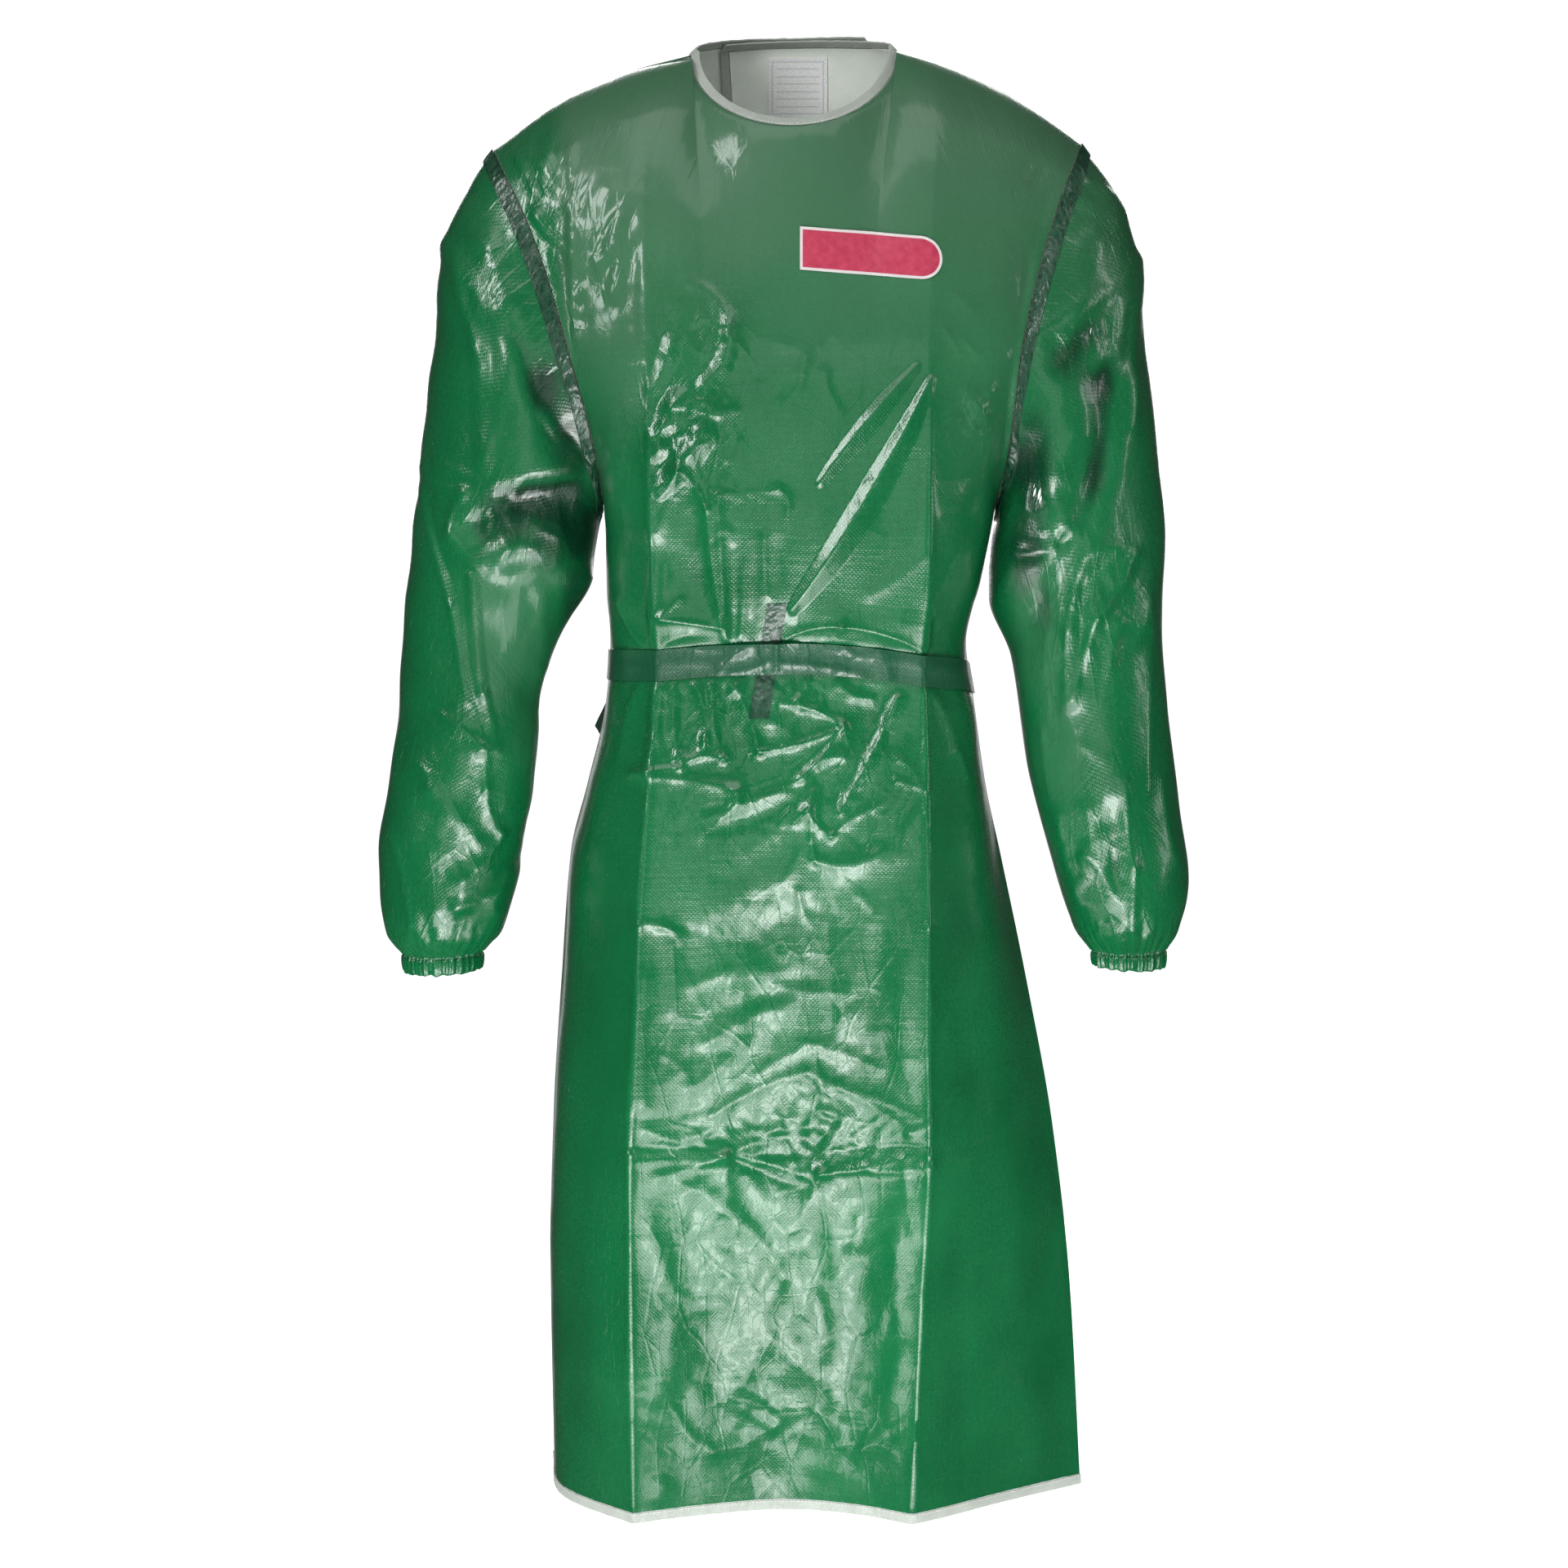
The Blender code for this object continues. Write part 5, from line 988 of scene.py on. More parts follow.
def film_cloth(name, light, dark, painted_sheen, rough_low, rough_high):
    """Spunbond nonwoven with a film of polyethylene laminated on its face by a heated diamond
    roller. The film gives a waxy gloss that breaks up into fine diamonds, with sharp bright
    creases where it has been crushed. The diamonds are really 1 mm apart and are drawn 3.4 mm
    apart, so that they show. The point attributes say where the film is crushed (crinkle),
    where a grey sheen is painted on its colour as a painted reflection, where shade is painted
    into its folds and recesses as a deeper green, and where it is rubbed (matt)."""
    made, tree, shader = surface(name, IOR=1.5, Coat_Weight=0.45, Coat_Roughness=0.12,
                                 Coat_IOR=1.5)
    place = add(tree, "UVMap", {}, uv_map="cloth")
    whole = add(tree, "TexCoord", {}, "Object")
    crinkle, painted_sheen_share, painted_shade, matt = [add(tree, "Attribute", {}, "Fac", attribute_name=mark)
                                    for mark in ("crinkle", "painted_sheen", "painted_shade", "matt")]
    broad = add(tree, "TexNoise", {"Vector": whole, "Scale": 9.0, "Detail": 3.0}, "Fac")
    fibres = add(tree, "TexNoise", {"Vector": place, "Scale": 260.0, "Detail": 4.0,
                                    "Roughness": 0.7}, "Fac")
    share = add(tree, "Math", {0: broad, 1: 0.7}, operation="MULTIPLY")
    share = add(tree, "Math", {0: fibres, 1: 0.5, 2: share}, operation="MULTIPLY_ADD")
    share = add(tree, "MapRange", {0: share, 1: 0.35, 2: 0.85})
    green = add(tree, "Mix", {0: share, 6: colour(dark), 7: colour(light)}, 2, data_type="RGBA")
    # Painted sheen: the colour is greyed where a reflection is painted on.
    green = add(tree, "Mix", {0: painted_sheen_share, 6: green, 7: colour(painted_sheen)}, 2, data_type="RGBA")
    # Painted shade: deep folds and recesses are darkened towards a near-black green.
    depth = add(tree, "Math", {0: painted_shade, 1: 0.9}, operation="MULTIPLY")
    green = add(tree, "Mix", {0: depth, 6: green, 7: colour("#032416")}, 2, data_type="RGBA")
    rough = add(tree, "Math", {0: fibres, 1: 0.6, 2: broad}, operation="MULTIPLY_ADD")
    rough = add(tree, "MapRange", {0: rough, 1: 0.5, 2: 1.1, 3: rough_low, 4: rough_high})
    rough = add(tree, "Math", {0: matt, 1: 0.40, 2: rough}, operation="MULTIPLY_ADD")
    emboss = add(tree, "Bump", {"Height": diamonds(tree, place, 3.4 * MM),
                                "Distance": 0.10 * MM})
    pores = add(tree, "Bump", {"Height": fibres, "Distance": 0.12 * MM, "Normal": emboss})
    drawn = add(tree, "Mapping", {"Vector": place, "Scale": (22.0, 190.0, 1.0)})
    streaks = add(tree, "TexNoise", {"Vector": drawn, "Scale": 1.0, "Detail": 3.0}, "Fac")
    pores = add(tree, "Bump", {"Height": streaks, "Distance": 0.30 * MM, "Normal": pores})
    creases = crumpled_film(tree, place, crinkle)
    feed(tree, shader, {
        "Base Color": green, "Roughness": rough,
        "Normal": add(tree, "Bump", {"Height": creases, "Distance": 1.0, "Normal": pores}),
        "Coat Normal": add(tree, "Bump", {"Height": creases, "Distance": 1.0})})
    return made


def nonwoven(name, light, dark):
    """Spunbond polypropylene: matt white or pale felt of fine threads, with a faint lattice of
    bond points, drawn 2.6 mm apart so that it shows. It is soft and chalky to the eye."""
    made, tree, shader = surface(name, IOR=1.49, Roughness=0.9, Sheen_Weight=0.15,
                                 Sheen_Roughness=0.5)
    place = add(tree, "UVMap", {}, uv_map="cloth")
    fibres = add(tree, "TexNoise", {"Vector": place, "Scale": 420.0, "Detail": 5.0,
                                    "Roughness": 0.75}, "Fac")
    clouds = add(tree, "TexNoise", {"Vector": place, "Scale": 40.0, "Detail": 3.0}, "Fac")
    share = add(tree, "Math", {0: fibres, 1: 0.6}, operation="MULTIPLY")
    share = add(tree, "Math", {0: clouds, 1: 0.5, 2: share}, operation="MULTIPLY_ADD")
    share = add(tree, "MapRange", {0: share, 1: 0.35, 2: 0.75})
    felt = add(tree, "Mix", {0: share, 6: colour(dark), 7: colour(light)}, 2, data_type="RGBA")
    lattice = add(tree, "Bump", {"Height": diamonds(tree, place, 2.6 * MM),
                                 "Distance": 0.10 * MM})
    feed(tree, shader, {
        "Base Color": felt,
        "Normal": add(tree, "Bump", {"Height": fibres, "Distance": 0.3 * MM,
                                     "Normal": lattice})})
    return made


def sealing_tape(name, light, dark, crush):
    """Hot-melt seam tape: a darker, thicker film pressed over the seam. It puckers as it
    cools, so it sparkles along its length."""
    made, tree, shader = surface(name, IOR=1.5, Coat_Weight=0.35, Coat_Roughness=0.12,
                                 Coat_IOR=1.5)
    place = add(tree, "UVMap", {}, uv_map="cloth")
    spots = add(tree, "TexNoise", {"Vector": place, "Scale": 190.0, "Detail": 4.0}, "Fac")
    cells = add(tree, "TexVoronoi", {"Vector": place, "Scale": 230.0}, "Distance")
    share = add(tree, "MapRange", {0: spots, 1: 0.35, 2: 0.7})
    pucker = add(tree, "Bump", {"Height": cells, "Distance": 0.35 * MM})
    pucker = add(tree, "Bump", {"Height": spots, "Distance": 0.25 * MM, "Normal": pucker})
    crushed = add(tree, "Bump", {"Height": crumpled_film(tree, place, crush), "Distance": 1.0,
                                 "Normal": pucker})
    feed(tree, shader, {
        "Base Color": add(tree, "Mix", {0: share, 6: colour(dark), 7: colour(light)}, 2,
                          data_type="RGBA"),
        "Roughness": add(tree, "MapRange", {0: spots, 1: 0.3, 2: 0.7, 3: 0.34, 4: 0.5}),
        "Normal": crushed, "Coat Normal": crushed})
    return made


def bordered_vinyl(name, light, dark, border):
    """Plasticised PVC film with a white printed border 2.2 mm wide, heat sealed on the cloth:
    an even satin sheen with a fine pressed grain, drawn 2.4 mm apart so that it shows. The
    point attribute edge is the distance from the border's outside in mm."""
    made, tree, shader = surface(name, IOR=1.53, Coat_Weight=0.1, Coat_Roughness=0.3)
    place = add(tree, "UVMap", {}, uv_map="cloth")
    edge = add(tree, "Attribute", {}, "Fac", attribute_name="edge")
    spots = add(tree, "TexNoise", {"Vector": place, "Scale": 160.0, "Detail": 4.0}, "Fac")
    share = add(tree, "MapRange", {0: spots, 1: 0.3, 2: 0.7})
    body = add(tree, "Mix", {0: share, 6: colour(dark), 7: colour(light)}, 2, data_type="RGBA")
    within = add(tree, "MapRange", {0: edge, 1: 2.0, 2: 2.4})
    grain = add(tree, "Bump", {"Height": diamonds(tree, place, 2.4 * MM),
                               "Distance": 0.05 * MM})
    feed(tree, shader, {
        "Base Color": add(tree, "Mix", {0: within, 6: colour(border), 7: body}, 2,
                          data_type="RGBA"),
        "Roughness": add(tree, "MapRange", {0: spots, 1: 0.3, 2: 0.7, 3: 0.38, 4: 0.5}),
        "Normal": add(tree, "Bump", {"Height": spots, "Distance": 0.15 * MM,
                                     "Normal": grain})})
    return made


def woven_label(name, white, grey):
    """Polyester satin ribbon: white, with a soft sheen and fine ribs along its width. Its
    frame and rules are a plain woven pattern. The ribs are really 0.3 mm apart and are drawn
    1.2 mm apart, so that they show."""
    made, tree, shader = surface(name, IOR=1.55, Roughness=0.6, Sheen_Weight=0.3)
    place = add(tree, "UVMap", {}, uv_map="cloth")
    ribs = add(tree, "TexWave", {"Vector": place, "Scale": 0.314 / (1.2 * MM)}, "Fac",
               bands_direction="Y")
    mark = add(tree, "Attribute", {}, "Fac", attribute_name="mark")
    threads = add(tree, "TexNoise", {"Vector": place, "Scale": 500.0, "Detail": 3.0}, "Fac")
    share = add(tree, "MapRange", {0: threads, 1: 0.3, 2: 0.7})
    body = add(tree, "Mix", {0: share, 6: colour("#dfe1e0"), 7: colour(white)}, 2,
               data_type="RGBA")
    feed(tree, shader, {
        "Base Color": add(tree, "Mix", {0: mark, 6: body, 7: colour(grey)}, 2,
                          data_type="RGBA"),
        "Normal": add(tree, "Bump", {"Height": ribs, "Distance": 0.08 * MM})})
    return made


def sewing_thread(name, light, dark):
    """Spun polyester thread: matt, with a two-ply twist."""
    made, tree, shader = surface(name, IOR=1.55, Roughness=0.75, Sheen_Weight=0.2)
    whole = add(tree, "TexCoord", {}, "Object")
    twist = add(tree, "TexNoise", {"Vector": whole, "Scale": 900.0, "Detail": 2.0}, "Fac")
    feed(tree, shader, {
        "Base Color": add(tree, "Mix", {0: twist, 6: colour(dark), 7: colour(light)}, 2,
                          data_type="RGBA"),
        "Normal": add(tree, "Bump", {"Height": twist, "Distance": 0.1 * MM})})
    return made


# The third colour of each film is the grey of its painted sheen.
GREEN_FILM = film_cloth("pe_film_on_green_nonwoven", "#0e6b3d", "#07552e", "#3c684a", 0.20, 0.32)
BELT_FILM = film_cloth("pe_film_on_dark_green_nonwoven", "#0e5536", "#0a4229", "#2c5843",
                       0.34, 0.48)
INNER_FELT = nonwoven("spunbond_nonwoven_inside", "#f0f5ec", "#dbe5dc")
BELT_INSIDE = nonwoven("spunbond_nonwoven_belt_inside", "#5d8a70", "#3f6b54")
WHITE_TAPE = nonwoven("white_spunbond_binding", "#b6bdb5", "#9aa299")
DARK_TAPE = sealing_tape("hot_melt_seam_tape", "#124a31", "#0a3422", 0.3)
CRUSHED_TAPE = sealing_tape("hot_melt_armhole_tape", "#0d4a2e", "#063020", 1.4)
PINK_VINYL = bordered_vinyl("pvc_film_patch", "#bb3a56", "#a82d48", "#d0cbca")
LABEL_SATIN = woven_label("polyester_satin_label", "#f6f7f7", "#9aa09e")
WHITE_THREAD = sewing_thread("white_polyester_thread", "#eef0ee", "#c9ccc9")
GREEN_THREAD = sewing_thread("green_polyester_thread", "#6fa583", "#3f7f5c")

# ---------- The body ----------

FRONT_SHELL = 0.8 * MM
SEAM_HALF_GAP = 0.15 * MM
TOP_ROWS = 40

# Rows and columns are closest where the folds are finest. The armhole ends after three runs of
# rows, and the belt's middle lies after five.
FRONT_STATIONS = spread((0, 2, 3, 4, 5, 6, 8), (46, 44, 60, 60, 44, 46))
FRONT_ROW_COUNTS = (12, 112, 20, 84, 8, 8, 100, 80, 40, 76)
FRONT_LEVELS = spread((FIRST_LEVEL, -200, -340, -370, BELT_HEIGHT + BELT_HALF_WIDTH, BELT_HEIGHT,
                       BELT_HEIGHT - BELT_HALF_WIDTH, -640, -850, -930, HEM_LEVEL),
                      FRONT_ROW_COUNTS)
FRONT_ARMHOLE_STEPS = sum(FRONT_ROW_COUNTS[:3])
BELT_ROW = TOP_ROWS + sum(FRONT_ROW_COUNTS[:5])
BACK_STATIONS = spread((0, 2, 3, 4 - BACK_OVERLAP, 4, 4 + BACK_OVERLAP, 5, 6, 8),
                       (30, 8, 18, 14, 14, 18, 8, 30))
BACK_ROW_COUNTS = (16, 24, 8, 16, 24, 28, 36, 20, 44)
BACK_LEVELS = spread((FIRST_LEVEL, -240, -340, -370, -440, -520, -640, -850, -930, HEM_LEVEL),
                     BACK_ROW_COUNTS)
BACK_ARMHOLE_STEPS = sum(BACK_ROW_COUNTS[:3])


def soft_waves(x, z, seed, short, long, height):
    """Low swells in mm: a sum of ten sine waves of random direction and phase, of lengths
    from short to long."""
    draw = np.random.default_rng(seed)
    total = np.zeros(np.shape(x))
    for _ in range(10):
        length = draw.uniform(short, long)
        angle = draw.uniform(0, 2 * pi)
        turn = draw.uniform(0, 2 * pi)
        total = total + np.sin((x * np.cos(angle) + z * np.sin(angle)) * 2 * pi / length + turn)
    return height * total / 4


# Where the film is crushed most: (x, z, half_x, half_z) in mm.
FRONT_CRUSHED = (
    (0, -780, 120, 110), (0, -890, 125, 50), (-20, -1010, 120, 110), (0, -1120, 110, 90),
    (-84, -290, 58, 66), (-66, -215, 34, 34), (-146, -140, 20, 44), (-40, -560, 100, 80),
    (60, -590, 70, 70), (-202, -110, 34, 70), (-190, -210, 20, 90), (150, -280, 30, 40),
)
BACK_CRUSHED = ((0, -890, 140, 60), (0, -560, 110, 90), (0, -300, 120, 80), (0, -1080, 130, 110))

FRONT_FOLDS = (PRESSED_CREASES + CHEST_FOLDS + WAIST_FOLDS + BELOW_BELT_FOLDS + LOWER_FOLDS
               + HEM_FOLDS + SIDE_FOLDS + ARMHOLE_LEFT_PLEATS + ARMHOLE_RIGHT_PLEATS
               + tuple(crinkle_folds(FRONT_CRINKLES, 7)))
BACK_ALL_FOLDS = BACK_FOLDS + tuple(crinkle_folds(BACK_CRINKLES, 8))


def belt_press(z, sink):
    """Under the belt folds are pressed flat, to 0.15 of their height, and the cloth lies
    0.5 mm lower: both by a bell of the fourth power across the belt."""
    gap = (z - (BELT_HEIGHT - sink)) / 17
    bell = np.exp(-(gap**4))
    return 1 - 0.85 * bell, -0.5 * bell


def body_heights(x, z, sink, front):
    """Height in mm of all folds and swells over the front or the back at (x, z) in mm. Sink is
    how far the belt line lies below its middle there."""
    folds = fold_heights(x, z, FRONT_FOLDS if front else BACK_ALL_FOLDS)
    swells = soft_waves(x, z, 3 if front else 4, 70, 190, 1.0)
    kept, sunk = belt_press(z, sink)
    return (folds + swells) * kept + sunk


def near_seams(stations, rows, top_rows):
    """A share that goes to 0 at the side seams and at the shoulder seam and neck edge."""
    side = soft_step(np.minimum(stations, 8 - stations), 0.0, 0.22)
    top = soft_step(np.arange(rows) / top_rows, 0.0, 0.09)
    return top[:, None] * side[None, :]


def lay_panel(stations, levels, front):
    """The smooth surface, its normals, the folded surface and the height of its folds in mm."""
    smooth = body_surface(stations, front, TOP_ROWS, levels)
    normal = normals_of(smooth)
    sink = belt_dip(stations, front) / MM
    x = smooth[..., 0] / MM
    z = smooth[..., 2] / MM
    heights = body_heights(x, z, sink[None, :], front)
    heights *= near_seams(stations, len(smooth), TOP_ROWS)
    return smooth, normal, smooth + normal * (heights * MM)[..., None], heights


def windows(grid, boxes, upwards=2):
    """The most of several soft windows over a grid's points, each (x, z, half_x, half_z) in
    mm: exp of minus the fourth power of the distance in half sizes. Upwards 1 takes y for z."""
    x = grid[..., 0] / MM
    z = grid[..., upwards] / MM
    best = np.zeros(x.shape)
    for middle_x, middle_z, half_x, half_z in boxes:
        far = ((x - middle_x) / half_x) ** 2 + ((z - middle_z) / half_z) ** 2
        best = np.maximum(best, np.exp(-(far**2)))
    return best


front_smooth, front_normal, front_grid, front_heights = lay_panel(FRONT_STATIONS, FRONT_LEVELS,
                                                                  True)
back_smooth, back_normal, back_grid, _ = lay_panel(BACK_STATIONS, BACK_LEVELS, False)

def keep(piece, slot_name, *nodes):
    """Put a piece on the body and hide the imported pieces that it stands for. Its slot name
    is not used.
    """
    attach(piece, "root")
    if nodes:
        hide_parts(*nodes)
    return piece


def pulled_in(grid, left, right):
    """The grid with its left, right and top border drawn in along the surface, the first two
    by the given lengths and the top by half a seam's gap."""
    grid = grid.copy()
    for edge, inner, length in (((slice(None), 0), (slice(None), 1), left),
                                ((slice(None), -1), (slice(None), -2), right),
                                ((0,), (1,), SEAM_HALF_GAP)):
        way = grid[inner] - grid[edge]
        way = way / np.maximum(np.linalg.norm(way, axis=-1, keepdims=True), 1e-9)
        grid[edge] = grid[edge] + way * length
    return grid


def crushed_mark(grid, boxes):
    """How much the film is crushed: a quarter everywhere, and fully in the windows."""
    return 0.25 + 0.75 * windows(grid, boxes)


def painted_sheen_mark(grid):
    """Painted grey sheen on the upper chest, a painted reflection: full above z -40 mm and gone
    below -290 mm, and none on the pleats by the left armhole."""
    pleats = soft_step(grid[..., 0] / MM, -204, -182)
    return 0.75 * soft_step(grid[..., 2] / MM, -290, -40) * pleats


def matt_mark(grid):
    """Where the film lies smooth over the chest and its sides it is rubbed matt: 0.9 times
    soft windows, but not on the pleats by the left armhole."""
    boxes = ((0, -80, 230, 90), (-158, -210, 40, 150), (160, -190, 46, 150), (60, -190, 90, 60))
    pleats = soft_step(grid[..., 0] / MM, -198, -184)
    return 0.9 * pleats * windows(grid, boxes)


# The front is one cut piece. It is meshed in two shells that meet under the belt, so that
# each may have fine rows. Deep in its folds, from 1.2 to 8 mm below the smooth surface,
# shade is painted on the film as a deeper green, and a grey sheen is painted on the upper chest.
front_marks = {"crinkle": crushed_mark(front_grid, FRONT_CRUSHED),
               "painted_shade": soft_step(-front_heights, 1.2, 8),
               "painted_sheen": painted_sheen_mark(front_grid), "matt": matt_mark(front_grid)}
front_trimmed = pulled_in(front_grid, SEAM_HALF_GAP, SEAM_HALF_GAP)
front_upper, front_lower = (
    keep(shell(name, front_trimmed[rows], FRONT_SHELL, [GREEN_FILM], INNER_FELT,
               marks={label: values[rows] for label, values in front_marks.items()}),
         "green_film_cloth", "front_panel")
    for name, rows in (("front_panel_upper_cloth", slice(0, BELT_ROW + 1)),
                       ("front_panel_lower_cloth", slice(BELT_ROW, None))))

left_columns = BACK_STATIONS <= 4 + BACK_OVERLAP + 1e-9
right_columns = BACK_STATIONS >= 4 - BACK_OVERLAP - 1e-9
layer_share = np.clip((BACK_STATIONS - OUTER_LAYER_START)
                      / (OUTER_LAYER_FULL - OUTER_LAYER_START), 0, 1)
lifted = back_grid + back_normal * (OUTER_LAYER * layer_share ** 1.5)[None, :, None]
left_back = lifted[:, left_columns]
right_back = back_grid[:, right_columns]
# The backs carry the same painted grey sheen high up as the front.
back_left, back_right = (
    keep(shell(node + "_cloth", pulled_in(grid, left, right), FRONT_SHELL, [GREEN_FILM],
               INNER_FELT, marks={"crinkle": crushed_mark(grid, BACK_CRUSHED),
                                  "painted_sheen": painted_sheen_mark(grid)}),
         "green_film_cloth", node)
    for node, grid, left, right in (("back_panel_left", left_back, SEAM_HALF_GAP, 0),
                                    ("back_panel_right", right_back, 0, SEAM_HALF_GAP)))

# ---------- Bindings ----------

BINDING_GAP = 0.25 * MM
BINDING_HALF_WALL = 0.85 * MM


def unit(way):
    """Directions brought to length 1."""
    return way / np.maximum(np.linalg.norm(way, axis=-1, keepdims=True), 1e-12)


def binding(node, path, side, rise, seed):
    """A bound tape along a path: a rounded band from the gap to its width, with small
    puckers across it: its thickness and its place change by sums of short sine waves along
    the path."""
    profile = rounded_band(BINDING_GAP, BINDING_WIDTH, BINDING_HALF_WALL)
    walked = walked_along(path)
    draw = np.random.default_rng(seed)
    sway = np.zeros(len(path))
    thick = np.ones(len(path))
    for length in (7, 11, 17, 29):
        sway += np.sin(walked / MM * 2 * pi / length + draw.uniform(0, 6)) * 0.10 * MM
        thick += np.sin(walked / MM * 2 * pi / length + draw.uniform(0, 6)) * 0.07
    made = tube(node + "_tape", path + side * sway[:, None], side * thick[:, None], rise,
                profile, WHITE_TAPE)
    return keep(made, "white_nonwoven_binding", node)


def stitch_row(name, path, side, along_pitch, length, radius, finish):
    """A row of stitches on a path: each is an eight-sided bead stretched along the path, at
    every pitch. Points: centre + length/2 * cos(a) * along + radius * sin(a) * (cos(b) * side
    + sin(b) * third)."""
    walked = walked_along(path)
    at = np.arange(along_pitch, walked[-1] - along_pitch, along_pitch)
    centre = np.stack([np.interp(at, walked, path[:, k]) for k in range(3)], 1)
    way = unit(np.stack([np.interp(at, walked, np.gradient(path[:, k])) for k in range(3)], 1))
    out = unit(np.stack([np.interp(at, walked, side[:, k]) for k in range(3)], 1))
    third = np.cross(way, out)
    turns = np.linspace(0, pi, 5)[1:-1]
    spin = np.linspace(0, 2 * pi, 7)[:-1]
    ring = (np.cos(turns)[:, None, None] * (length / 2) * way[:, None, None, :]
            + np.sin(turns)[:, None, None] * radius
            * (np.cos(spin)[None, :, None] * out[:, None, None, :]
               + np.sin(spin)[None, :, None] * third[:, None, None, :]))
    bead = np.concatenate([(way * length / 2)[:, None], ring.reshape(len(at), -1, 3),
                           (-way * length / 2)[:, None]], 1) + centre[:, None]
    count = len(spin)
    first = 1 + np.arange(count)
    following = 1 + np.roll(np.arange(count), -1)
    last = 1 + 3 * count
    cap = np.stack([np.zeros(count, int), first, following], 1)
    foot = np.stack([following + 2 * count, first + 2 * count, np.full(count, last)], 1)
    body = np.concatenate([np.stack([first + k * count, first + (k + 1) * count,
                                     following + (k + 1) * count, following + k * count], 1)
                           for k in range(2)])
    size = bead.shape[1]
    shift = (np.arange(len(at)) * size)[:, None, None]
    faces = [(block[None] + shift).reshape(-1, block.shape[1]) for block in (cap, foot, body)]
    uv = [np.zeros(block.shape + (2,)) for block in faces]
    return raw_mesh(name, bead.reshape(-1, 3), faces, uv, [0, 0, 0], [finish])


# The back's free edges: the strip carries on from the cloth's last columns.
left_edge = left_back[:, -1]
left_way = unit(left_edge - left_back[:, -3])
right_edge = right_back[:, 0]
right_way = unit(right_edge - right_back[:, 2])
edge_left = binding("back_edge_binding_left", left_edge, back_normal[:, left_columns][:, -1],
                    left_way, 21)
edge_right = binding("back_edge_binding_right", right_edge, back_normal[:, right_columns][:, 0],
                     right_way, 22)


def edge_path(row, front=slice(None), left=slice(None), right=slice(None)):
    """A row of the cloth from the inner back's free edge, round the front, to the outer
    back's free edge, on the given columns of each."""
    return np.concatenate([
        (right_edge[row] + right_way[row] * BINDING_WIDTH)[None], right_back[row, right],
        front_grid[row, front][::-1][1:], left_back[row, left][1:],
        (left_edge[row] + left_way[row] * BINDING_WIDTH)[None]])


neck_path = edge_path(0, (FRONT_STATIONS >= 3 - 1e-9) & (FRONT_STATIONS <= 5 + 1e-9),
                      BACK_STATIONS[left_columns] >= 3 - 1e-9,
                      BACK_STATIONS[right_columns] <= 5 + 1e-9)
inward = np.array([NECK_CENTRE_X, 0, 0]) - neck_path
inward[:, 2] = 0
inward = unit(inward)
neck_rise = unit(inward * NECK_BINDING_LEAN + np.array([0, 0, NECK_BINDING_RISE]))
neck_side = unit(np.cross(np.gradient(neck_path, axis=0), neck_rise))
neck_side *= np.sign((neck_side * -inward).sum(1).mean())
neck_tape = binding("neck_binding", neck_path, neck_side, neck_rise, 23)
neck_stitches = keep(stitch_row(
    "neck_binding_stitches", neck_path + neck_rise * 1.6 * MM + neck_side * 0.95 * MM, neck_side,
    3.0 * MM, 2.1 * MM, 0.28 * MM, WHITE_THREAD), "white_nonwoven_binding")

# The hem, in the same order, hanging on below the cloth.
hem_path = edge_path(-1)
hem_down = unit(hem_path - edge_path(-4))
hem_side = unit(np.cross(np.gradient(hem_path, axis=0), hem_down))
hem_side *= np.sign((hem_side * hem_path * [1, 1, 0]).sum(1).mean())
hem_tape = binding("hem_binding", hem_path, hem_side, hem_down, 24)
hem_stitches = keep(stitch_row(
    "hem_binding_stitches", hem_path + hem_down * 1.7 * MM + hem_side * 0.95 * MM, hem_side,
    3.2 * MM, 2.3 * MM, 0.28 * MM, WHITE_THREAD), "white_nonwoven_binding")

# ---------- Sleeves ----------

SLEEVE_COUNTS = (20, 22, 34, 34, 34, 26, 34, 32, 22, 28, 14)
SLEEVE_STATIONS = spread(tuple(range(12)), SLEEVE_COUNTS)
SLEEVE_ANGLES = np.concatenate([np.linspace(0, pi, 153)[:-1], np.linspace(pi, 2 * pi, 73)[:-1]])
ARMHOLE_ROWS = TOP_ROWS + FRONT_ARMHOLE_STEPS + 1
BACK_ARMHOLE_ROWS = TOP_ROWS + BACK_ARMHOLE_STEPS + 1
CUFF_LEFT = (Ring(-332, -742, -264, -740, -18, 34), Ring(-331, -759, -265, -756, -18, 33.5))
CUFF_RIGHT = (Ring(321, -738, 258, -739, -18, 33), Ring(320, -755, 259, -753, -18, 32))
GATHERS = 34
CUFF_WALL = 1.0 * MM
TAPE_WALL = 0.5 * MM
ARMHOLE_TAPE_WIDTH = 11 * MM
ARMHOLE_TAPE_STEPS = 9
ARMHOLE_TAPE_FREE_TURN = 0.22


def ring_points(ring, angles):
    """An ellipse with its long axis from the ring's outer point to its inner point: middle +
    cos(a) * half axis + sin(a) * depth."""
    outer = np.array([ring.outer_x, ring.centre_y, ring.outer_z]) * MM
    inner = np.array([ring.inner_x, ring.centre_y, ring.inner_z]) * MM
    depth = np.array([0, -ring.half_depth * MM, 0])
    return ((outer + inner) / 2 + np.cos(angles)[:, None] * (outer - inner) / 2
            + np.sin(angles)[:, None] * depth)


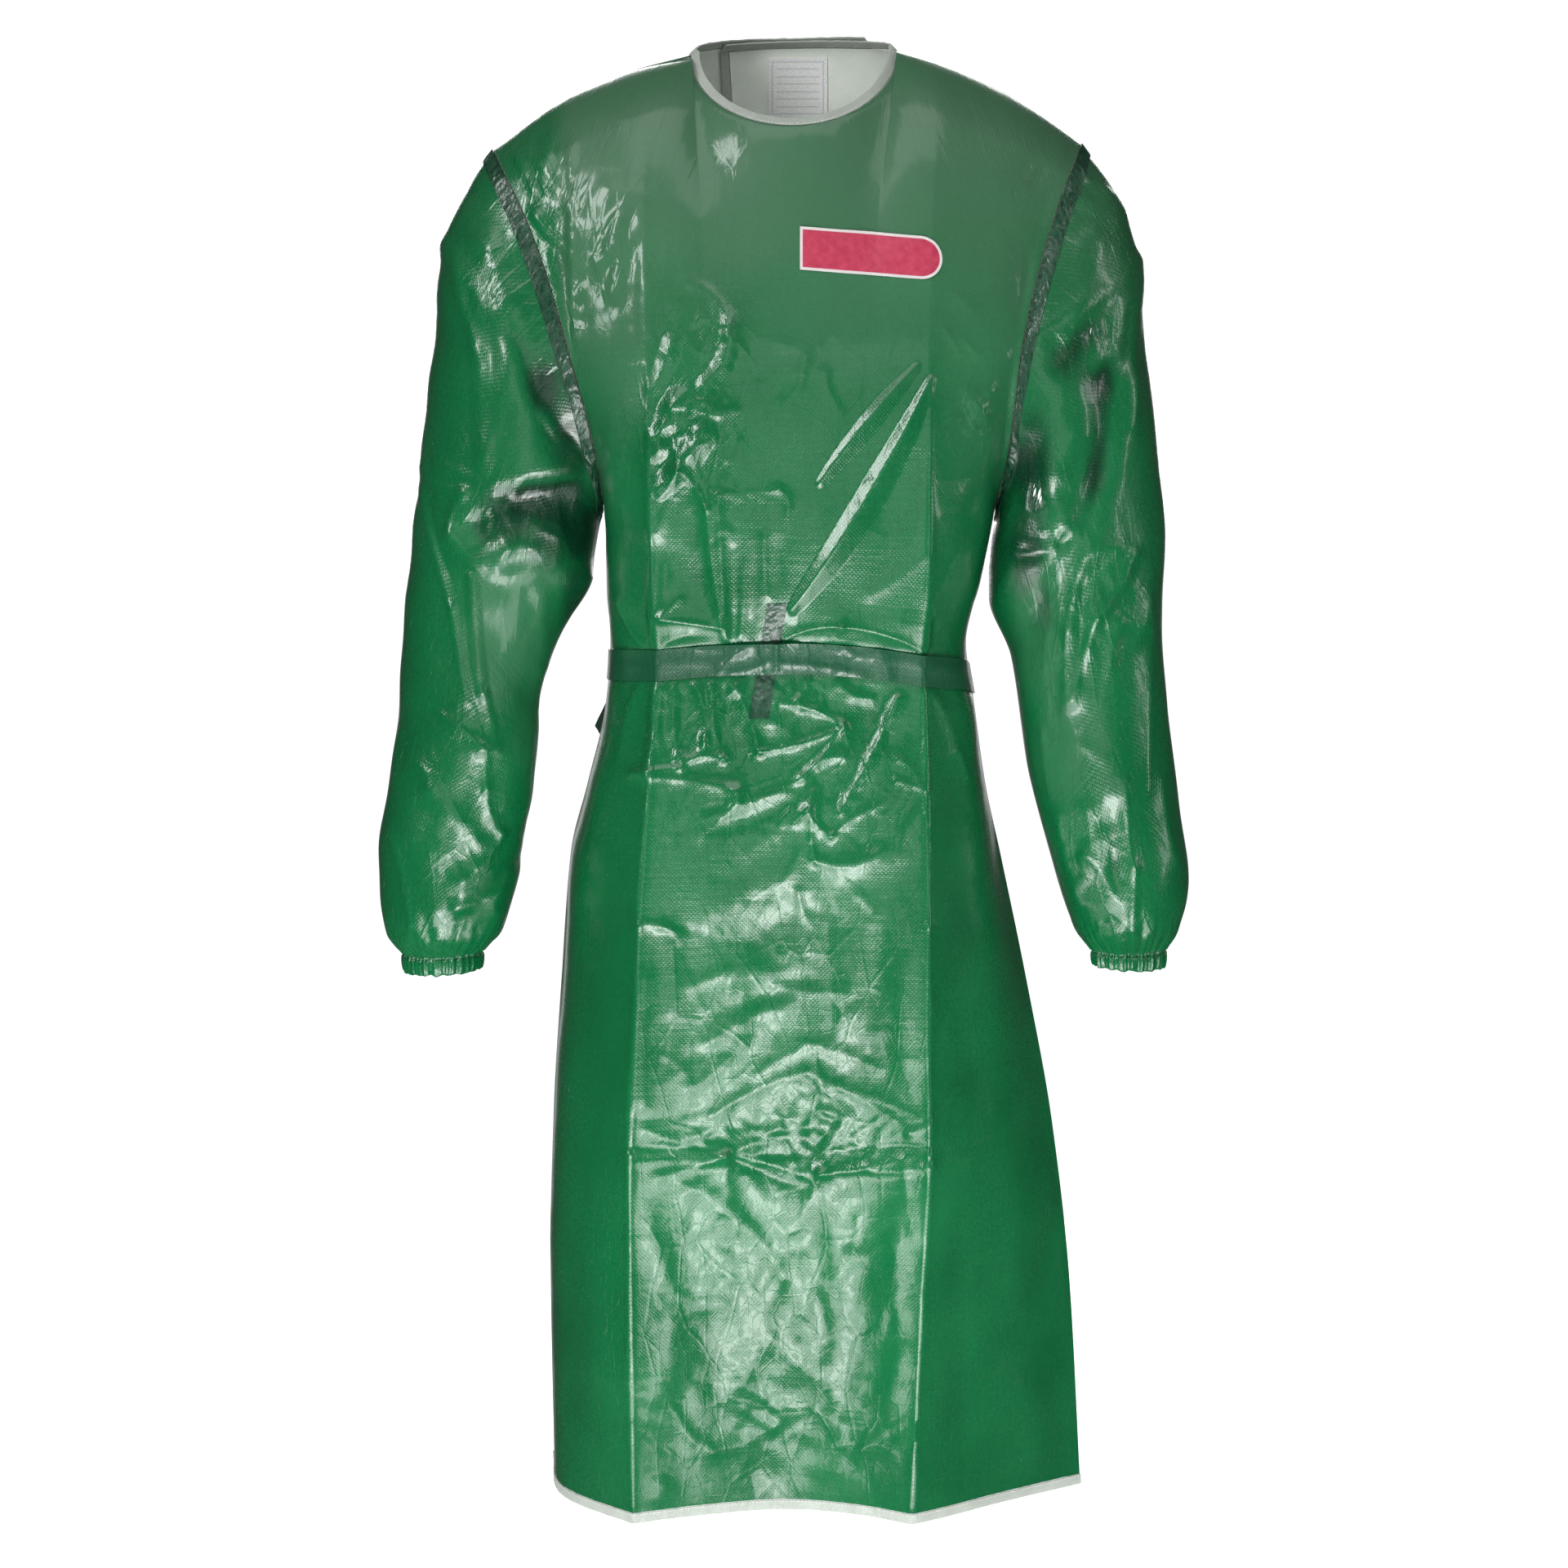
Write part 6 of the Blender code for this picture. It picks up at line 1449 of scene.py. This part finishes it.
def armhole_ring(column, outwards, angles):
    """The armhole's edge at the given angles, moved clear of the body. A point's angle is the
    arc cosine of its height between the bottom, -1, and the top, 1."""
    down = front_smooth[:ARMHOLE_ROWS, column]
    up = back_smooth[:BACK_ARMHOLE_ROWS, column][1:-1][::-1]
    loop = np.concatenate([down, up])
    share = (loop[:, 2] - loop[:, 2].min()) / np.ptp(loop[:, 2])
    angle = np.arccos(np.clip(2 * share - 1, -1, 1))
    angle[len(down):] = 2 * pi - angle[len(down):]
    low = (1 - np.cos(angle)) / 2
    gap = SLEEVE_GAP_TOP + (SLEEVE_GAP_UNDERARM - SLEEVE_GAP_TOP) * low
    loop = loop + np.stack([outwards * gap, 0 * gap, -SLEEVE_GAP_SINK * gap], 1)
    return np.stack([np.interp(angles, angle, loop[:, k], period=2 * pi) for k in range(3)], 1)


def sleeve_rows(start, rings, angles, stations):
    """Rings at the given stations, on cubic curves from the armhole through the table."""
    table = np.stack([start] + [ring_points(ring, angles) for ring in rings])
    return smooth_rows(stations, np.arange(len(table)), table)


def gather_ripple(angles, count, seed):
    """Pleats round a gathered end: four waves of different number, each with a phase that
    wanders, from -1 to 1."""
    draw = np.random.default_rng(seed)
    total = 0
    for share in (0.5, 0.8, 1.0, 1.3):
        wander = sum(draw.uniform(0.4, 1.1) / k * np.sin(k * angles + draw.uniform(0, 6))
                     for k in range(1, 6))
        number = int(count * share)
        total = total + draw.uniform(0.6, 1.0) * np.sin(number * angles + 2.6 * wander)
    return total / 3


def sleeve_heights(grid, normal, folds, back_folds, stations, gathers, seed):
    """Height in mm over a sleeve: the front's folds where the normal faces the front, the
    back's elsewhere, low swells, and pleats that grow towards the cuff."""
    x = grid[..., 0] / MM
    z = grid[..., 2] / MM
    facing = soft_step(-normal[..., 1], -0.35, 0.12)
    heights = fold_heights(x, z, folds, 1.7) * facing
    heights += fold_heights(x, z, back_folds, 1.7) * (1 - facing)
    heights += soft_waves(x + grid[..., 1] / MM, z, seed, 50, 140, 1.0)
    heights *= soft_step(stations, 0.0, 0.2)[:, None]
    if gathers.any():
        heights = softened(heights, 2, True)
    near_cuff = np.clip((stations - 8.9) / 2.1, 0, 1) ** 2.0
    ripple = gathers[None, :] * near_cuff[:, None]
    return heights * (1 - 0.6 * near_cuff[:, None]) + 1.8 * ripple


def recess_shade_mark(grid, heights, boxes):
    """Painted shade: deep in its folds, and in windows over the recesses of the elbow and
    underarm on its front half, the film's colour is darkened."""
    shade = 0.85 * windows(grid, boxes)
    return np.maximum(soft_step(-heights, 0.8, 6), shade * (grid[..., 1] < 0))


def make_sleeve(side, column, outwards, rings, folds, back_folds, crinkles, recesses, cuff,
                seed):
    """A sleeve, its gathered cuff with a stitch line, and the tape over its armhole seam."""
    start = armhole_ring(column, outwards, SLEEVE_ANGLES)
    smooth = sleeve_rows(start, rings, SLEEVE_ANGLES, SLEEVE_STATIONS)
    normal = normals_of(smooth, closed=True)
    gathers = gather_ripple(SLEEVE_ANGLES, GATHERS, seed)
    all_folds = folds + tuple(crinkle_folds(crinkles, seed))
    heights = sleeve_heights(smooth, normal, all_folds, back_folds, SLEEVE_STATIONS, gathers,
                             seed)
    grid = smooth + normal * (heights * MM)[..., None]
    boxes = [(x, z, half_x * 1.3, half_z * 1.3) for x, z, half_x, half_z, *_ in crinkles]
    # Its marks carry a weaker painted sheen, and painted shade in folds and recesses.
    sleeve = keep(shell(
        "sleeve_" + side + "_cloth", grid, FRONT_SHELL, [GREEN_FILM], INNER_FELT, closed=True,
        marks={"crinkle": crushed_mark(grid, boxes), "painted_sheen": 0.6 * painted_sheen_mark(grid),
               "painted_shade": recess_shade_mark(grid, heights, recesses),
               "matt": windows(grid, SLEEVE_MATT)}),
        "green_film_cloth", "sleeve_" + side)

    # The cuff: an elastic casing that bulges between its two stitch lines.
    share = np.linspace(0, 1, 17)
    ends = np.stack([ring_points(ring, SLEEVE_ANGLES) for ring in cuff])
    casing = ends[0] + (ends[1] - ends[0]) * share[:, None, None]
    casing_normal = normals_of(casing, closed=True)
    bulge = 1.1 * np.sin(pi * np.clip((share - 0.16) / 0.84, 0, 1)) ** 0.6
    nip = -0.9 * np.exp(-(((share - 0.13) / 0.07) ** 2))
    edge_wave = gather_ripple(SLEEVE_ANGLES, GATHERS // 2, seed + 5)
    rise = (bulge + nip)[:, None] + gathers[None, :] * (1.9 - 0.5 * share)[:, None]
    casing = casing + casing_normal * (rise * MM)[..., None]
    casing[..., 2] += (edge_wave[None, :] * share[:, None] ** 3 * 1.1) * MM
    cuff_piece = keep(shell(
        "cuff_" + side + "_casing", casing, CUFF_WALL, [GREEN_FILM], WHITE_TAPE, closed=True,
        marks={"crinkle": np.ones(casing.shape[:2])}), "green_film_cloth", "cuff_" + side)
    line = casing[2] + casing_normal[2] * 0.15 * MM
    closed_line = np.concatenate([line, line[:1]])
    closed_out = np.concatenate([casing_normal[2], casing_normal[2][:1]])
    cuff_stitches = keep(stitch_row(
        "cuff_" + side + "_stitches", closed_line, closed_out, 2.6 * MM, 1.9 * MM, 0.25 * MM,
        GREEN_THREAD), "green_film_cloth")

    # The tape: the sleeve's first 11 mm, lifted, with puckers across it, all round but for a
    # little at the underarm.
    first_step = np.linalg.norm(smooth[SLEEVE_COUNTS[0]] - smooth[0], axis=-1).mean()
    reach = np.linspace(0, ARMHOLE_TAPE_WIDTH / first_step, ARMHOLE_TAPE_STEPS)
    free = ARMHOLE_TAPE_FREE_TURN
    round_it = np.linspace(-pi + free, pi - free, 341)
    tape_start = armhole_ring(column, outwards, np.mod(round_it, 2 * pi))
    tape = sleeve_rows(tape_start, rings, round_it, reach)
    tape_normal = normals_of(tape)
    middle = smooth[:40].mean((0, 1))
    tape_normal *= np.sign(((tape - middle) * tape_normal).sum())
    under = sleeve_heights(tape, tape_normal, all_folds, back_folds, reach,
                           np.zeros(len(round_it)), seed)
    draw = np.random.default_rng(seed + 9)
    walked = walked_along(tape[ARMHOLE_TAPE_STEPS // 2])
    pucker = sum(np.sin(walked / MM * 2 * pi / length + draw.uniform(0, 6)) * size
                 for length, size in ((4.1, 0.16), (6.7, 0.26), (12.3, 0.3)))
    across = np.sin(np.linspace(0, pi, ARMHOLE_TAPE_STEPS)) ** 0.5
    lift = 0.95 + pucker[None, :] * (0.4 + 0.6 * across[:, None]) + under
    tape = tape + tape_normal * (lift * MM)[..., None]
    tape_piece = keep(shell(
        "armhole_tape_" + side + "_strip", tape, TAPE_WALL, [CRUSHED_TAPE], DARK_TAPE,
        normal=tape_normal), "dark_sealing_tape", "armhole_tape_" + side)
    return sleeve, cuff_piece, cuff_stitches, tape_piece


# Windows of painted shade over the dark recesses: (x, z, half_x, half_z) in mm.
LEFT_RECESSES = ((-186, -368, 42, 40), (-232, -362, 26, 24), (-180, -296, 20, 44),
                 (-180, -450, 14, 60))
RIGHT_RECESSES = ((201, -322, 16, 48), (196, -390, 16, 40))
# Where a sleeve lies smooth and rubbed matt.
SLEEVE_MATT = ((-232, -462, 36, 64), (-214, -540, 20, 60), (206, -470, 22, 60),
               (224, -560, 20, 50))

left_sleeve = make_sleeve("left", 0, -1, SLEEVE_LEFT, SLEEVE_LEFT_FOLDS, SLEEVE_LEFT_BACK_FOLDS,
                          SLEEVE_LEFT_CRINKLES, LEFT_RECESSES, CUFF_LEFT, 31)
right_sleeve = make_sleeve("right", -1, 1, SLEEVE_RIGHT, SLEEVE_RIGHT_FOLDS,
                           SLEEVE_RIGHT_BACK_FOLDS, SLEEVE_RIGHT_CRINKLES, RIGHT_RECESSES,
                           CUFF_RIGHT, 41)

# ---------- Belt ----------

BELT_LAP_START = 3.6
BELT_LAP_END = 3.9
BELT_KNOT_LEFT = 2.0
BELT_KNOT_RIGHT = 3.0

# Station and lift in mm over the cloth there, as in the solids.
BELT_LEFT_LIFTS = ((0, 1.5), (3, 1.5), (3.3, 2.4), (3.6, 3.4), (3.9, 3.4))
BELT_RIGHT_LIFTS = ((3.6, 5.0), (3.9, 5.0), (4.2, 3.2), (4.6, 1.6), (8, 1.5))
BELT_BACK_LIFTS = ((0, 1.5), (1.6, 1.5), (3.2, 5.4), (4.45, 6.2), (4.72, 6.8), (5, 4.6), (5.5, 1.5),
                   (8, 1.5))

BELT_FOLDS = (
    (-58, -488, -36, -468, 2, 4, 4, 1.8, 1.4, 1.1), (-50, -490, -18, -480, -2, 3, 4, 1.4, 1.2, 1.1),
    (-78, -470, -40, -474, 1, 4, 4, 0.9, 1.2, 1.3), (-108, -484, -70, -482, 1, 5, 5, 0.8, 1, 1.4),
    (-140, -490, -116, -488, 1, 5, 5, 0.8, 0.8, 1.4), (-30, -468, -24, -490, 1, 3, 3, 1.2, 1.6, 1.1),
    (-12, -466, -12, -488, 0, 2.5, 2.5, 2.2, 1.8, 1), (-8, -482, 44, -488, 1, 3, 3, 1.2, 1, 1.1),
    (40, -490, 58, -492, 1, 6, 6, 2, 1.6, 1.3), (44, -470, 66, -478, -2, 4, 5, 1.4, 1.2, 1.2),
    (74, -474, 82, -500, 1, 6, 5, 1.8, 1.4, 1.3), (84, -480, 118, -490, 2, 5, 5, 1, 1.2, 1.4),
    (112, -478, 150, -500, -2, 5, 6, 1, 1.2, 1.4),
)


def belt_half(front_stations, back_stations, front_lifts, reach):
    """A belt half: the body's smooth rows at the belt, each column lifted along its normal
    by the table, and along the front its own folds."""
    levels = BELT_HEIGHT + np.linspace(BELT_HALF_WIDTH, -BELT_HALF_WIDTH, 17)
    parts = []
    for stations, front, lifts in ((front_stations, True, front_lifts),
                                   (back_stations, False, BELT_BACK_LIFTS)):
        rows = body_levels(stations, front, levels)
        way = normals_of(rows)
        lift = smooth_rows(stations, *zip(*lifts))
        parts.append(rows + way * (lift * MM)[None, :, None])
    grid = np.concatenate([parts[0], parts[1][:, 1:]], 1)
    normal = normals_of(grid)
    x = grid[..., 0] / MM
    z = grid[..., 2] / MM
    heights = fold_heights(x, z, BELT_FOLDS) * soft_step(-normal[..., 1], 0.0, 0.5)
    heights += soft_waves(x, z * 0.4, reach, 24, 80, 0.35)
    return grid + normal * (heights * MM)[..., None]


def belt_crush(grid):
    """The belt is crushed most where it laps at the front."""
    return 0.3 + 0.9 * windows(grid, ((0, -120, 90, 60),), upwards=1)


belt_left_grid = belt_half(np.linspace(BELT_LAP_END, 0, 181), np.linspace(0, BELT_KNOT_LEFT, 61),
                           BELT_LEFT_LIFTS, 51)
belt_right_grid = belt_half(np.linspace(BELT_LAP_START, 8, 201),
                            np.linspace(8, BELT_KNOT_RIGHT, 121), BELT_RIGHT_LIFTS, 52)
belt_left, belt_right = (
    keep(shell(node + "_strap", grid, 1.0 * MM, [BELT_FILM], BELT_INSIDE,
               marks={"crinkle": belt_crush(grid)}), "belt_film_cloth", node)
    for node, grid in (("belt_left", belt_left_grid), ("belt_right", belt_right_grid)))

KNOT_CENTRE = np.array([-92, 115, -506]) * MM
KNOT_HALF_SIZE = np.array([10, 11, 15]) * MM


def knot_shape():
    """The knot: a ball stretched to its half sizes, with wound ridges: the radius grows by
    0.10 * cos(3 a + 4 h) * sin(h) and shrinks a little at a groove round the middle."""
    turn = np.linspace(0, 2 * pi, 65)[:-1]
    height = np.linspace(0, pi, 33)
    a, h = np.meshgrid(turn, height)
    groove = np.exp(-(((h - 1.5) / 0.2) ** 2))
    size = 0.94 + 0.10 * np.cos(3 * a + 4 * h) * np.sin(h) - 0.10 * groove
    ball = np.stack([np.cos(a) * np.sin(h), np.sin(a) * np.sin(h), np.cos(h)], -1)
    return KNOT_CENTRE + ball * size[..., None] * KNOT_HALF_SIZE


def ball_mesh(name, grid, finish):
    """A closed ball from rows of points whose first and last rows are poles."""
    rows, columns = grid.shape[:2]
    inner = grid[1:-1].reshape(-1, 3)
    number = np.arange(len(inner)).reshape(rows - 2, columns)
    wrapped = np.concatenate([number, number[:, :1]], 1)
    top = len(inner)
    cap = np.stack([np.full(columns, top), wrapped[0, 1:], wrapped[0, :-1]], 1)
    foot = np.stack([wrapped[-1, :-1], wrapped[-1, 1:], np.full(columns, top + 1)], 1)
    points = np.concatenate([inner, grid[0, :1], grid[-1, :1]])
    faces = [quads(wrapped)[:, ::-1], cap[:, ::-1], foot[:, ::-1]]
    flat = points[:, [0, 2]]
    faces, uv = turned_outwards(points, faces, [flat[block] for block in faces])
    return raw_mesh(name, points, faces, uv, [0, 0, 0], [finish])


knot = keep(ball_mesh("belt_knot_lump", knot_shape(), BELT_FILM), "belt_film_cloth", "belt_knot")

TAIL_TO_SIDE = ((-104, 106, -510), (-122, 97, -514), (-141, 82, -525), (-154, 68, -543),
                (-166, 58, -563))
TAIL_DOWN = ((-92, 121, -523), (-92, 124, -560), (-93, 131, -620), (-96, 139, -690))


def make_tail(name, places, node, seed):
    """A flat strip along a smooth path, its width square to the path and to the way out from
    the garment's middle, with a lengthwise fold and low waves."""
    stops = np.array(places) * MM
    line = smooth_rows(np.linspace(0, len(stops) - 1, 81), np.arange(len(stops)), stops)
    along = unit(np.gradient(line, axis=0))
    out = line * np.array([1, 1, 0])
    out = unit(out - along * (out * along).sum(1)[:, None])
    across = np.cross(along, out)
    share = np.linspace(-1, 1, 13)
    grid = line[:, None] + across[:, None] * (share * BELT_TAIL_HALF_WIDTH)[None, :, None]
    walked = np.linspace(0, 1, 81)[:, None] * walked_along(line)[-1]
    heights = soft_waves(walked / MM, share[None, :] * 12, seed, 20, 70, 0.9)
    sway = 0.15 * np.sin(walked / MM / 14)
    heights = heights + 1.2 * np.exp(-((share[None, :] - sway) / 0.16) ** 2)
    grid = grid + out[:, None] * (heights * MM)[..., None]
    return keep(shell(name, grid, 0.9 * MM, [BELT_FILM], BELT_INSIDE,
                      normal=np.broadcast_to(out[:, None], grid.shape),
                      marks={"crinkle": np.full(grid.shape[:2], 0.6)}), "belt_film_cloth", node)


tail_side = make_tail("belt_tail_side_strap", TAIL_TO_SIDE, "belt_tail_side", 61)
tail_down = make_tail("belt_tail_down_strap", TAIL_DOWN, "belt_tail_down", 62)

# ---------- Sealed on and sewn in ----------

FRONT_TAPE_WIDTH = 16.5 * MM
FRONT_TAPE_TOP = np.array([-11, -431.5]) * MM
FRONT_TAPE_FOOT = np.array([-26.6, -528.5]) * MM
PATCH_LEFT_X = 7.5 * MM
PATCH_LEFT_Z = -138.5 * MM
PATCH_LENGTH = 117 * MM
PATCH_HALF_HEIGHT = 17.5 * MM
PATCH_FALL = 0.080
LABEL_BOX = np.array([-19.5, 32, 15, -36]) * MM


def on_front(x, z, lift):
    """Points laid on the folded front at (x, z): the smooth surface there, plus its folds'
    height and the lift in mm along the normal."""
    place, way = settled(x, z, front_smooth, front_normal)
    heights = body_heights(x / MM, z / MM, 0 * x, True) + lift
    return place + way * (heights * MM)[..., None], way


share = np.linspace(0, 1, 101)[:, None]
across = np.linspace(-0.5, 0.5, 21)[None, :] * FRONT_TAPE_WIDTH
tape_x = FRONT_TAPE_TOP[0] + (FRONT_TAPE_FOOT[0] - FRONT_TAPE_TOP[0]) * share + across
tape_z = FRONT_TAPE_TOP[1] + (FRONT_TAPE_FOOT[1] - FRONT_TAPE_TOP[1]) * share + 0 * across
tape_lift = 0.7 + 0.12 * np.sin(share * 13 + across / MM * 0.3)
tape_grid, tape_way = on_front(tape_x, tape_z, tape_lift)
front_tape = keep(shell("belt_tape_strip", tape_grid, TAPE_WALL, [DARK_TAPE], DARK_TAPE,
                        normal=tape_way), "dark_sealing_tape", "belt_tape")

high = np.sin(np.linspace(-pi / 2, pi / 2, 41))[:, None] * PATCH_HALF_HEIGHT
reach = PATCH_LENGTH - PATCH_HALF_HEIGHT + np.sqrt(np.maximum(PATCH_HALF_HEIGHT**2 - high**2, 0))
along = np.linspace(0, 1, 121)[None, :] * reach
patch_x = PATCH_LEFT_X + along
patch_z = PATCH_LEFT_Z - high - along * PATCH_FALL
ripple = 0.9 + 0.35 * np.sin(patch_x / MM / 9 + 0.6) * np.sin(patch_z / MM / 7)
patch_grid, patch_way = on_front(patch_x, patch_z, ripple)
to_side = np.minimum(along, PATCH_HALF_HEIGHT - np.abs(high))
to_round = PATCH_HALF_HEIGHT - np.hypot(along - PATCH_LENGTH + PATCH_HALF_HEIGHT, high)
past_round = along > PATCH_LENGTH - PATCH_HALF_HEIGHT
patch_edge = np.where(past_round, np.minimum(to_round, to_side + 1), to_side) / MM
patch = keep(shell("chest_patch_vinyl", patch_grid, TAPE_WALL, [PINK_VINYL], PINK_VINYL,
                   normal=patch_way, marks={"edge": patch_edge}), "pink_vinyl_patch",
             "chest_patch")

label_x, label_z = np.meshgrid(np.linspace(LABEL_BOX[0], LABEL_BOX[1], 61),
                               np.linspace(LABEL_BOX[2], LABEL_BOX[3], 61))
label_place, label_way = settled(label_x, label_z, back_smooth, back_normal)
label_heights = body_heights(label_x / MM, label_z / MM, 30 + 0 * label_x, False)
label_curl = 0.5 * np.sin(label_x / MM / 8) * np.linspace(0, 1, 61)[:, None]
label_grid = label_place + label_way * ((label_heights - 2.0 + label_curl) * MM)[..., None]
inset_x = np.minimum(label_x - LABEL_BOX[0], LABEL_BOX[1] - label_x) / MM
inset_z = np.minimum(LABEL_BOX[2] - label_z, label_z - LABEL_BOX[3]) / MM
inset = np.minimum(inset_x, inset_z)
framed = (np.abs(inset - 3.2) < 0.45)
ruled = (np.abs(np.mod((LABEL_BOX[2] - label_z) / MM, 6.4) - 3.2) < 0.5) & (inset > 7)
label = keep(shell("neck_label_satin", label_grid, TAPE_WALL, [LABEL_SATIN], LABEL_SATIN,
                   normal=-label_way, marks={"mark": 0.6 * (framed | ruled)}),
             "white_woven_label", "neck_label")

# ---------- Stage, camera and light ----------

FLOOR_Z = -1.42


def disc(name, radius, centre, height, finish):
    """A flat round floor: rings of points at radius r and turn a, closed by a fan."""
    turn = np.linspace(0, 2 * pi, 97)[:-1]
    rings = np.linspace(0.1, radius, 9)[:, None]
    points = np.stack([centre[0] + rings * np.cos(turn), centre[1] + rings * np.sin(turn),
                       np.full((9, 96), height)], -1)
    number = np.arange(9 * 96).reshape(9, 96)
    wrapped = np.concatenate([number, number[:, :1]], 1)
    hub = np.stack([wrapped[0, :-1], wrapped[0, 1:], np.full(96, 9 * 96)], 1)
    faces = [quads(wrapped)[:, ::-1], hub]
    points = np.concatenate([points.reshape(-1, 3), [[centre[0], centre[1], height]]])
    return raw_mesh(name, points, faces, [points[block][..., :2] for block in faces], [0, 0],
                    [finish])


# Matt white paper, lit a little from within so that it stays as pale as the photo's.
floor_paper = surface("matt_white_floor", Base_Color=colour("#f2f2f2"), Roughness=0.9,
                      Emission_Color=(1, 1, 1, 1), Emission_Strength=0.8)[0]
floor = disc("studio_floor", 1.4, (0, 0.55), FLOOR_Z, floor_paper)
floor.visible_glossy = False

camera_data = bpy.data.cameras.new("photo_camera")
camera_data.lens = 122
camera_data.sensor_width = 36
camera = bpy.data.objects.new("photo_camera", camera_data)
bpy.context.scene.collection.objects.link(camera)
camera.location = (-0.0056, -4.5, 0.05)
camera.rotation_euler = (Vector((-0.0056, 0, -0.60)) - camera.location).to_track_quat(
    "-Z", "Y").to_euler()
bpy.context.scene.camera = camera


def softbox(name, place, target, width, height, power):
    """A rectangular lamp that faces its target."""
    lamp = bpy.data.lights.new(name, "AREA")
    lamp.shape = "RECTANGLE"
    lamp.size = width
    lamp.size_y = height
    lamp.energy = power
    made = bpy.data.objects.new(name, lamp)
    bpy.context.scene.collection.objects.link(made)
    made.location = place
    made.rotation_euler = (Vector(target) - Vector(place)).to_track_quat("-Z", "Y").to_euler()
    made.visible_camera = False
    return made


softbox("key_left", (-2.6, -2.6, 1.2), (0, 0, -0.5), 0.6, 1.8, 64)
softbox("front_card", (0, -5.6, -0.5), (0, 0, -0.5), 2.6, 2.4, 17)
softbox("key_right", (2.9, -0.95, 0.2), (0, 0, -0.6), 0.30, 2.2, 12)
softbox("overhead", (0, -1.5, 2.2), (0, 0, -0.2), 3.2, 2.0, 42)
softbox("back_fill", (0, 3.4, 0.3), (0, 0, -0.5), 2.4, 2.2, 60)
# Low in front, for the long soft lights on the lower panel.
softbox("low_board", (0.05, -1.30, -1.21), (0, -0.1, -1.10), 1.4, 0.40, 8.5)
softbox("low_near", (0, -1.02, FLOOR_Z + 0.02), (0, -1.02, 0), 1.7, 0.6, 17)
softbox("low_front", (0.05, -1.62, FLOOR_Z + 0.02), (0.05, -1.62, 0), 0.7, 0.6, 16)

world = bpy.data.worlds.new("studio")
bpy.context.scene.world = world
world.use_nodes = True
sky = world.node_tree
sky.nodes.clear()
# White where the camera sees it, bright behind the garment and faint above.
parts = add(sky, "SeparateXYZ", {0: add(sky, "TexCoord", {}, "Generated")}, None)
behind = add(sky, "MapRange", {0: parts.outputs["Y"], 1: 0.93, 2: 1.0, 3: 0.04, 4: 0.9})
above = add(sky, "MapRange", {0: parts.outputs["Z"], 1: 0.3, 2: 0.9, 3: 0.0, 4: 0.16})
both = add(sky, "Math", {0: behind, 1: above}, operation="ADD")
seen = add(sky, "Math", {0: add(sky, "LightPath", {}, "Is Camera Ray"), 1: 1.1},
           operation="MULTIPLY")
level = add(sky, "Math", {0: both, 1: seen}, operation="MAXIMUM")
glow = add(sky, "Background", {"Color": (1, 1, 1, 1), "Strength": level})
add(sky, "OutputWorld", {"Surface": glow}, None)

bpy.context.scene.view_settings.view_transform = "Standard"
bpy.context.scene.view_settings.look = "None"
